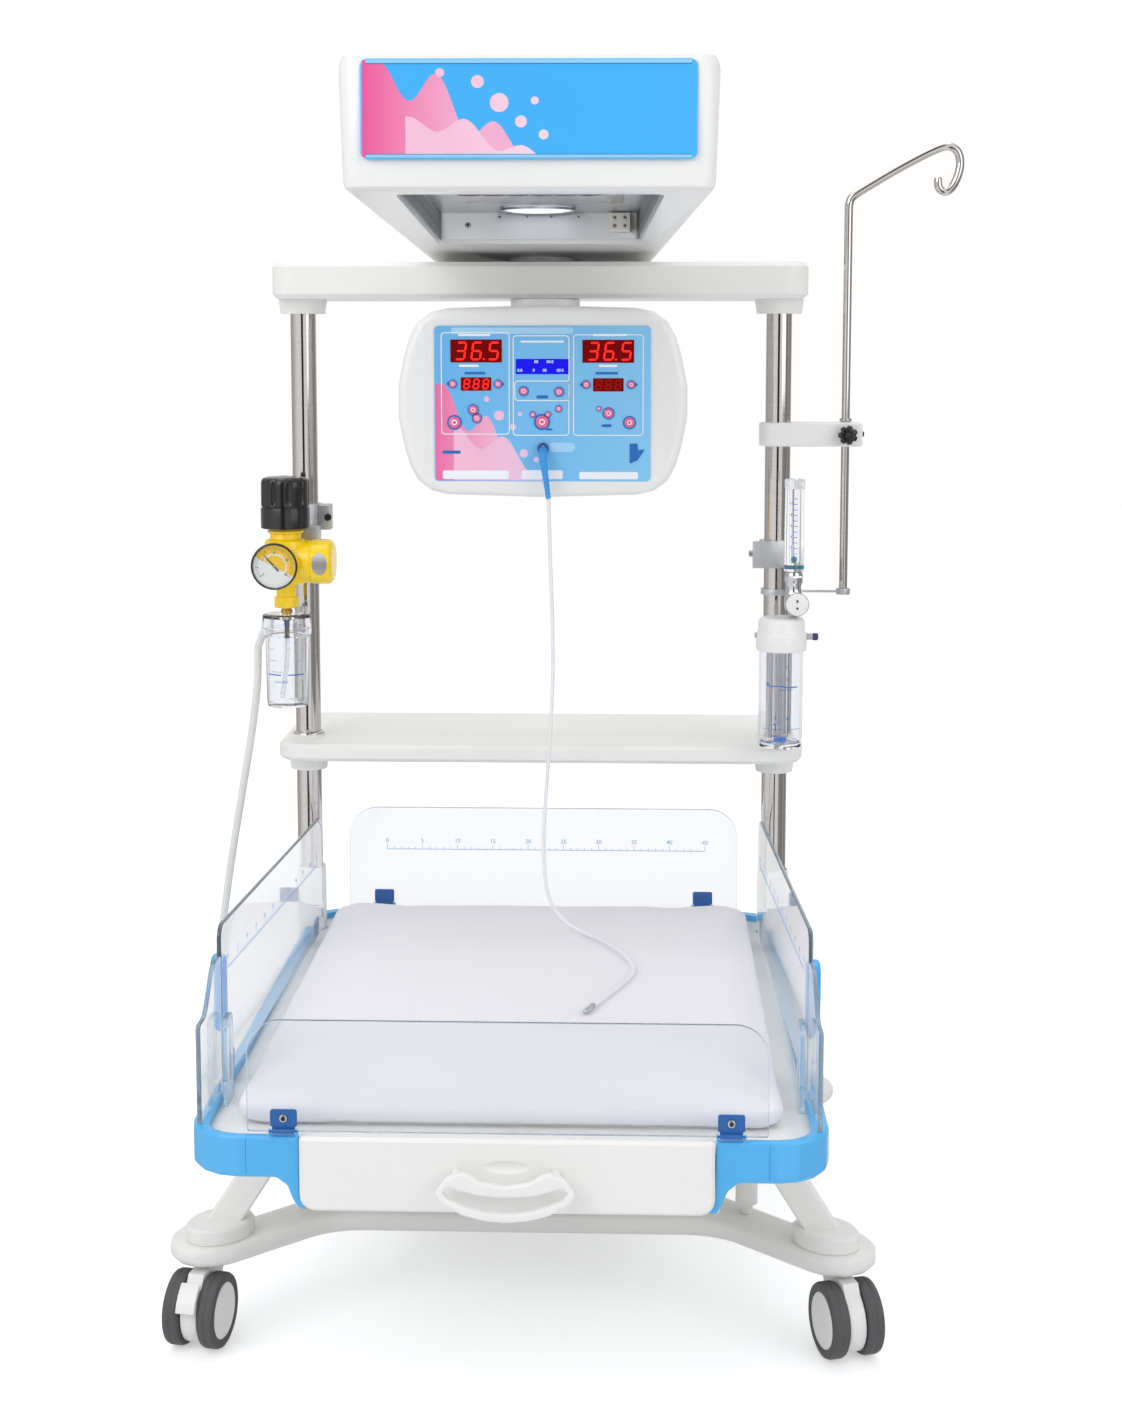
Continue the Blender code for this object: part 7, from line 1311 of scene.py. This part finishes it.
on_dial("dial_face", arc(0.0284, 0, 359, 72), 0, dial_white)
on_dial("dial_upper_field", arc(0.0283, -28, 152, 48), 1, dial_yellow)
on_dial("dial_inner_field", arc(0.017, -28, 152, 40), 2, dial_white)
on_dial("dial_centre_field", arc(0.0148, -28, 152, 40), 3, dial_yellow)
ticks, reds = [], []
for i in range(41):
    a = math.radians(215 - 250 * i / 40)
    long = i % 5 == 0
    way, side = (Vector((math.cos(a), math.sin(a))), Vector((-math.sin(a), math.cos(a))) * (0.0003 if long
        else 0.00018))
    inner, outer = way * (0.0205 if long else 0.0222), way * 0.0246
    into = reds if i > 33 else ticks
    into.append(on_dial("tick", [tuple(inner - side), tuple(outer - side), tuple(outer + side), tuple(inner + side)],
        4, dial_red if i > 33 else dial_ink))
    if i % 10 == 0:
        spot = way * 0.018
        ticks.append(lettering("tick_number", str(i), 0.004, dial @ Matrix.Translation((spot.x, spot.y - 0.0014,
            0.00012 * 4)), dial_ink))
joined("dial_ticks", ticks)
joined("dial_red_ticks", reds)
needle_way = Matrix.Rotation(math.radians(132), 4, "Z")
pointer = plate("gauge_pointer", [(-0.008, -0.0011), (-0.004, -0.0008), (0.0, -0.0011), (0.0225, -0.0002),
    (0.0229, 0), (0.0225, 0.0002), (0.0, 0.0011), (-0.004, 0.0008), (-0.008, 0.0011)], 0.0012, 0.0018, dial
    @ needle_way, knob_black, "gauge_needle", 0.00015)
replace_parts(pointer, "gauge_needle")
turned("gauge_pin", "0 0.6, 1.8 0.6, 1.8 2, 1.2 2.4, 0 2.5", dial, brass, "gauge_needle", 24)
clear_plastic = acrylic("clear_moulded_plastic", (0.93, 0.94, 0.965, 1), 0.05)
turned("gauge_glass", "0 14.3, 28.1 14.3, 28.1 15, 0 15.1", gauge_place, clear_acrylic, steps=64)

# ---- Suction jar ----
# A clear moulded jar under a clear screw lid, hung on a brass fitting. Inside, a dark blue float
# valve sits over a thin slanting dip tube, and the hose's barb leaves the lid's side.
turned("brass_fitting", "0 786, 6 786, 6 788.5, 7.8 789, 7.8 793.2, 6.6 793.6, 6.6 796.6, 0 796.6", vacuum_foot,
    brass, steps=40)
lid = turned("suction_clear_lid", "6.8 787, 30 788, 31.8 787.2, 32.4 785, 32.5 764, 32 760.5, 30.6 759.2, "
    "29.6 759.4, 29.6 770, 28 770.4, 28 783, 6.8 782.6", vacuum_foot, clear_plastic, steps=72, closed=True)
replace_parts(lid, "suction_lid")
suction_bowl = turned("suction_clear_jar", "0 664.5, 24 664.3, 26.2 665, 27.1 667.2, 27.4 670, 29 768.6, "
    "27.2 768.8, 25.7 670.6, 25 668, 23.5 666.8, 0 667", vacuum_foot, clear_plastic, steps=72)
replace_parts(suction_bowl, "suction_jar")
valve_navy = moulded("valve_navy", (46, 52, 104), 0.35, 0.0008, 0.04, 0.05)
turned("float_valve", "0 769, 3 769, 3.6 770, 3.6 776, 5 776.8, 5 781.8, 0 781.8", vacuum_foot, valve_navy, steps=36)
turned("valve_cage", "0 756, 3.8 756, 4.2 757, 4.2 759, 3 760, 3 768.8, 0 768.8", vacuum_foot, dark_and_socket_shade, steps=36)
dip_points = [at(VACUUM[0] + x, VACUUM[1] + y, z) for x, y, z in mm("0 0 756, 0 1 740, -2 2 715, -6 4 690, -9 5 673")]
frosted = acrylic("frosted_tube", (0.9, 0.92, 0.95, 1), 0.3, 0.7)
dip_line = smooth_route(dip_points, 0.006)
tapered("suction_dip_tube", dip_line, [0.0031] * len(dip_line), frosted, sides=16)
print_blue = moulded("scale_print_blue", (60, 118, 205), 0.5, 0.0006, 0.01, 0.05)


def wrapped(name, x, y, radius, start, stop, low, high, look, steps=10):
    """A thin printed mark wrapped on an upright cylinder, between two bearings from the front."""
    points, faces = [], []
    for i in range(steps + 1):
        a = math.radians(start + (stop - start) * i / steps)
        for depth in (radius - 5e-05, radius + 0.00012):
            points += [at(x + depth * math.sin(a), y - depth * math.cos(a), z) for z in (low, high)]
    for i in range(steps):
        a, b = 4 * i, 4 * i + 4
        faces += [(a + 2, b + 2, b + 3, a + 3), (a + 1, b + 1, b, a), (a, b, b + 2, a + 2), (a + 3, b + 3, b + 1, a
            + 1)]
    faces += [(0, 2, 3, 1), (4 * steps + 1, 4 * steps + 3, 4 * steps + 2, 4 * steps)]
    return settle(new_piece(name, points, [], faces), look, "frame", 30)


marks = []
for z, start, stop, thick in ((0.7085, -55, -8, 0.0016), (0.7085, 10, 58, 0.0016), (0.713, -40, -6, 0.0005),
        (0.699, -30, 12, 0.0006), (0.728, -48, -20, 0.0005), (0.728, 40, 44, 0.0009), (0.693, -34, -31, 0.0009),
        (0.743, -48, -30, 0.0005), (0.701, -30, 10, 0.0004)):
    marks.append(wrapped("mark", *VACUUM, 0.0272 + (z - 0.67) * 0.0162, start, stop, z, z + thick, print_blue))
joined("suction_jar_marks", marks)
barb_foot = at(*VACUUM, 0.779)
turned("hose_barb", "0 29, 4 29, 5 31, 5 32.4, 4 32.6, 4 36, 4.8 36.4, 4 39.5, 4.6 39.9, 3.4 43.8, 2.2 43.8, "
    "2.2 42, 0 42", toward(barb_foot, BARB_WAY), frosted, steps=32)

# ---- Suction clamp ----
# An extruded aluminium clamp round the left post, closed by a black-headed bolt on its side.
clamp_alloy = moulded("clamp_alloy", (206, 207, 210), 0.42, 0.0012, 0.06, 0.03, metallic=0.75)
carried("vacuum_clamp", clamp_alloy, "suction_post_clamp", 0.0012)
lug = block("suction_clamp_lug", at(-0.301, -0.015, 0.8936), at(-0.284, 0.006, 0.9284), 0.0022)
settle(lug, clamp_alloy)
bolt_place = toward(at(-0.288, -0.015, 0.911), (0.1, -1, 0))
turned("suction_clamp_bolt", "0 -4, 4.8 -4, 4.8 4.2, 4 5, 2.6 5, 2.4 3, 0 3", bolt_place, dark_and_socket_shade, steps=32)

# ---- Flowmeter ----
# A chromed brass valve body that carries a thick clear tube with a printed scale, a teal float and
# a ribbed clear cap. A white-faced knob in a chrome rim opens the needle valve.
FLOW = (0.337, -0.095)
flow_foot = Matrix.Translation(at(*FLOW, 0))
chrome = moulded("bright_chrome", (214, 216, 220), 0.1, 0.001, 0.03, 0.03, metallic=1.0)
valve = [turned("valve", "0 788.4, 6 788.4, 6.5 789, 6.5 793.5, 8 795, 10.5 797, 11.8 800, 12 804, 12 815, "
    "11.2 820, 10 823, 9.8 829, 11.2 833, 11.8 835, 11.8 844, 11 846, 11 847.7, 0 847.7", flow_foot, chrome,
    steps=64), plate("gland", arc(0.0078, 8, 308, 5), 0.7888, 0.7945, flow_foot, chrome), turned("gland_collar",
    "0 6, 10.5 6, 11 6.8, 11 11, 10 11.8, 0 11.8", toward(at(0.3385, -0.095, 0.8075), (0, -1, 0)), chrome)]
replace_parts(joined("flow_valve_body", valve), "flow_body")
plate("tube_seat", arc(0.0134, 20, 320, 5), 0.836, 0.843, flow_foot, chrome, soft=0.0008)
tube = turned("flow_clear_tube", "0 848.2, 12 848.2, 13 848.8, 13.3 850, 12.6 956, 12.6 957, 5 957, 4.4 860.6, "
    "3.6 860, 0 860", flow_foot, clear_plastic, steps=72)
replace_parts(tube, "flow_tube")
fluted("flow_tube_cap", "957.2 12.5 0, 957.2 13 0, 958 13.3 0.6, 967 13.3 0.8, 968.5 13.1 0.4, 969.5 12.2 0, "
    "969.9 9.5 0, 969.9 6 0", 16, 1.2, flow_foot, frosted, sides=96)
float_teal = moulded("float_teal", (10, 120, 138), 0.3, 0.0006, 0.03, 0.05, coat=0.3)
ball = turned("flow_float_ball", [(x, 0.8647 + y) for x, y in arc(0.0043, -90, 90, 16)], flow_foot, float_teal,
    "flow_float", 32)
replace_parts(ball, "flow_float")
turned("flow_tube_teal_seat", "4.6 852, 9 852, 9.8 853, 9.8 856, 9 857, 4.6 857", flow_foot, float_teal, steps=40,
    closed=True)
marks = []
for i in range(11):
    z = 0.872 + 0.0072 * i
    marks.append(wrapped("mark", *FLOW, 0.0133 - (z - 0.85) * 0.0066, -6 if i % 2 else -14, 12, z, z + 0.0009,
        print_blue, 6))
for i, z in enumerate((0.879, 0.893, 0.908, 0.922, 0.937)):
    marks.append(lettering("figure", str(2 * i + 2), 0.0058, standing(at(FLOW[0] - 0.005, FLOW[1] - 0.0126, z),
        (1, 0.3, 0)), print_blue))
joined("flow_scale", marks)
knob_face = toward(at(0.34, -0.1071, 0.8075), (0, -1, 0))
knob = fluted("flow_knob_rim", "0.2 14 0, 0.6 15.2 0.6, 3 15.5 0.9, 12 15.5 0.9, 15 15.4 0.3, 15.6 15.2 0, "
    "15.6 15 0, 15 14.8 0", 30, 1.0, knob_face, chrome, "flow_knob", 180)
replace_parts(knob, "flow_knob")
turned("flow_knob_white_face", "0 14.8, 14.3 14.8, 14.7 15.3, 14 15.8, 0 16", knob_face, white_plastic, "flow_knob")
face = standing(at(0.34, -0.1071 - 0.01595, 0.8075), (1, 0, 0))
joined("flow_knob_marks", [plate("mark", rounded_box(-0.0012, 0.0012, 0.0025, 0.0062, 0.0008, 4), 0, 0.00012, face,
    dial_ink, "flow_knob", 0), plate("mark", oval(0, -0.005, 0.003, 0.0034), 0, 0.00012, face,
    dial_ink, "flow_knob", 0)])

# ---- Humidifier ----
# A white screw cap with a stepped top over a clear bottle. Three steel tubes reach into the
# bottle, a grey spout with a dark blue end leaves the cap, and blue level marks are printed on it.
HUMIDIFIER = (0.3215, -0.095)
humidifier_foot = Matrix.Translation(at(*HUMIDIFIER, 0))
cap = turned("humidifier_screw_cap", "0 743.8, 31 743.8, 33 744.4, 33.4 746, 33.4 764, 33.1 766.8, 32.2 768.2, "
    "31.2 768.6, 30.8 769.4, 30.6 780, 30 784, 28.6 786.3, 26.2 787.4, 16 787.5, 12 786.8, 0 786.8", humidifier_foot,
    white_plastic, steps=96)
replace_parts(cap, "humidifier_cap")
spout_place = toward(at(HUMIDIFIER[0] + 0.03, HUMIDIFIER[1], 0.762), (1, -0.25, 0.02))
spout_grey = moulded("spout_grey", (176, 180, 184), 0.3, 0.0008, 0.03, 0.04, coat=0.3)
turned("humidifier_spout", "0 0, 5.2 0, 5.2 4, 4.2 5, 4.2 12.8, 3 13, 0 13", spout_place, spout_grey, steps=36)
turned("humidifier_spout_end", "3 12, 4.6 12, 4.9 13, 4.9 17.2, 4.3 18.2, 3.2 18.2, 2.6 17.2, 2.4 14", spout_place,
    valve_navy, steps=36, closed=True)
turned("humidifier_relief_valve", "0 30, 3.6 30, 3.6 34.5, 2.8 35.5, 0 35.5", toward(at(*HUMIDIFIER, 0.764),
    (-1, -0.1, 0)), spout_grey, steps=28)
bottle = turned("humidifier_bottle", "0 617, 20 616, 26.2 615.7, 28 617, 28.6 620, 28.8 630, 29 743, 29 743.4, "
    "27.3 743.4, 27.1 630, 26.6 621.5, 24 619.5, 0 620", humidifier_foot, clear_plastic, steps=72)
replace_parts(bottle, "humidifier_jar")
steel_tube = moulded("tube_steel", (172, 174, 178), 0.22, 0.0006, 0.05, 0.05, metallic=1.0)
tubes = []
for x, y, r, low, high in mm("1 0 4.4 627 743.6, -13 4 2.6 625 743.6, 12 6 3 630 743.6"):
    rows = [(0, low), (r * 0.7, low), (r, low + 0.0006)]
    z = low + 0.004
    while z < low + 0.064 and r < 0.004:
        rows += [(r, z), (r * 0.86, z + 0.0004), (r * 0.86, z + 0.0012), (r, z + 0.0016)]
        z += 0.0032
    rows += [(r, high), (0, high)]
    tubes.append(turned("tube", rows, Matrix.Translation(at(HUMIDIFIER[0] + x, HUMIDIFIER[1] + y, 0)), steel_tube,
        steps=28))
joined("humidifier_tubes", tubes)
turned("humidifier_diffuser", "0 621.5, 7.5 621.5, 8.5 622.5, 8.5 626, 6 627.5, 0 627.5", humidifier_foot, print_blue,
    steps=36)
marks = []
for z, start, stop, thick in ((0.699, -40, 6, 0.0016), (0.6975, 2, 44, 0.0016), (0.701, -42, -36, 0.003),
        (0.6945, -8, 30, 0.0007), (0.724, 10, 14, 0.0014), (0.716, 16, 19, 0.001), (0.708, 12, 16, 0.0012),
        (0.656, 12, 18, 0.003), (0.648, -22, -14, 0.0024), (0.629, 38, 41, 0.0012), (0.642, -60, 60, 0.0005),
        (0.624, -70, -20, 0.001), (0.623, 10, 60, 0.001)):
    marks.append(wrapped("mark", *HUMIDIFIER, 0.029, start, stop, z, z + thick, print_blue))
joined("humidifier_level_marks", marks)
carried("flow_clamp", clamp_alloy, "flow_post_clamp", 0.001)
turned("flow_clamp_bolt", "0 -3, 4.4 -3, 4.4 3.6, 3.6 4.4, 2.2 4.4, 2 2.4, 0 2.4", toward(at(0.2866, -0.012, 0.863),
    (-1, 0, 0)), screw_steel, steps=32)

# ---- Infusion pole ----
# A white moulded bracket clamped on the right post guides a polished steel rod. A black star knob
# locks it, and the rod's bent top ends in a hook for the infusion bag.
carried("iv_bracket", white_plastic, "infusion_pole_bracket", 0.0008)
turned("bracket_side_pin", "0 0, 3.2 0, 3.6 0.6, 3.6 3, 3 4, 2.4 4, 2.2 2.6, 0 2.6", toward(at(0.4319, 0, 1.024),
    (1, 0, 0)), dark_and_socket_shade, steps=28)
star_place = toward(at(0.411, -0.0232, 1.024), (0, -1, 0))
star = fluted("infusion_star_knob", "0.2 3.8 0, 6 4 0, 6.2 10.4 1, 7 12.2 1.8, 8.4 13 2.4, 14 13 2.4, 16 12.3 2, "
    "17.2 10.6 1.4, 17.6 7.6 0.6, 17.6 4.6 0, 17 4 0", 7, 0.9, star_place, knob_black, "iv_knob", 144)
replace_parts(star, "iv_knob")
turned("star_knob_cap", "0 16.8, 3.8 16.8, 3.9 17.4, 3 17.8, 0 17.9", star_place, dark_and_socket_shade, "iv_knob", 28)
HOOK = mm("412 1331, 417 1340, 442 1356, 480 1378, 520 1398.5, 540 1404.5, 553 1398, 557 1380, 551 1358, "
    "540 1345.5, 530 1350, 528 1364")
hook_line = smooth_route([at(0.411, 0, 1.318), at(0.4111, 0, 1.325)] + [at(x, 0, z) for x, z in HOOK], 0.003)
pole_points = [at(0.411, 0, 0.8083), at(0.411, 0, 0.8092)] + [at(0.411, 0, 0.83 + 0.06 * i)
    for i in range(9)] + hook_line
pole_radii = [0.005] + [0.0056] * (len(pole_points) - 3) + [0.0054, 0.0046]
pole = tapered("infusion_pole", pole_points, pole_radii, polished_steel, "iv_pole", 32)
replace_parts(pole, "iv_pole")
turned("pole_stop_ring", "5.7 -2, 7.8 -2, 8.2 -1.4, 8.2 1.4, 7.8 2, 5.7 2", Matrix.Translation(at(0.411, 0, 1.043)),
    screw_steel, "iv_pole", 36, True)
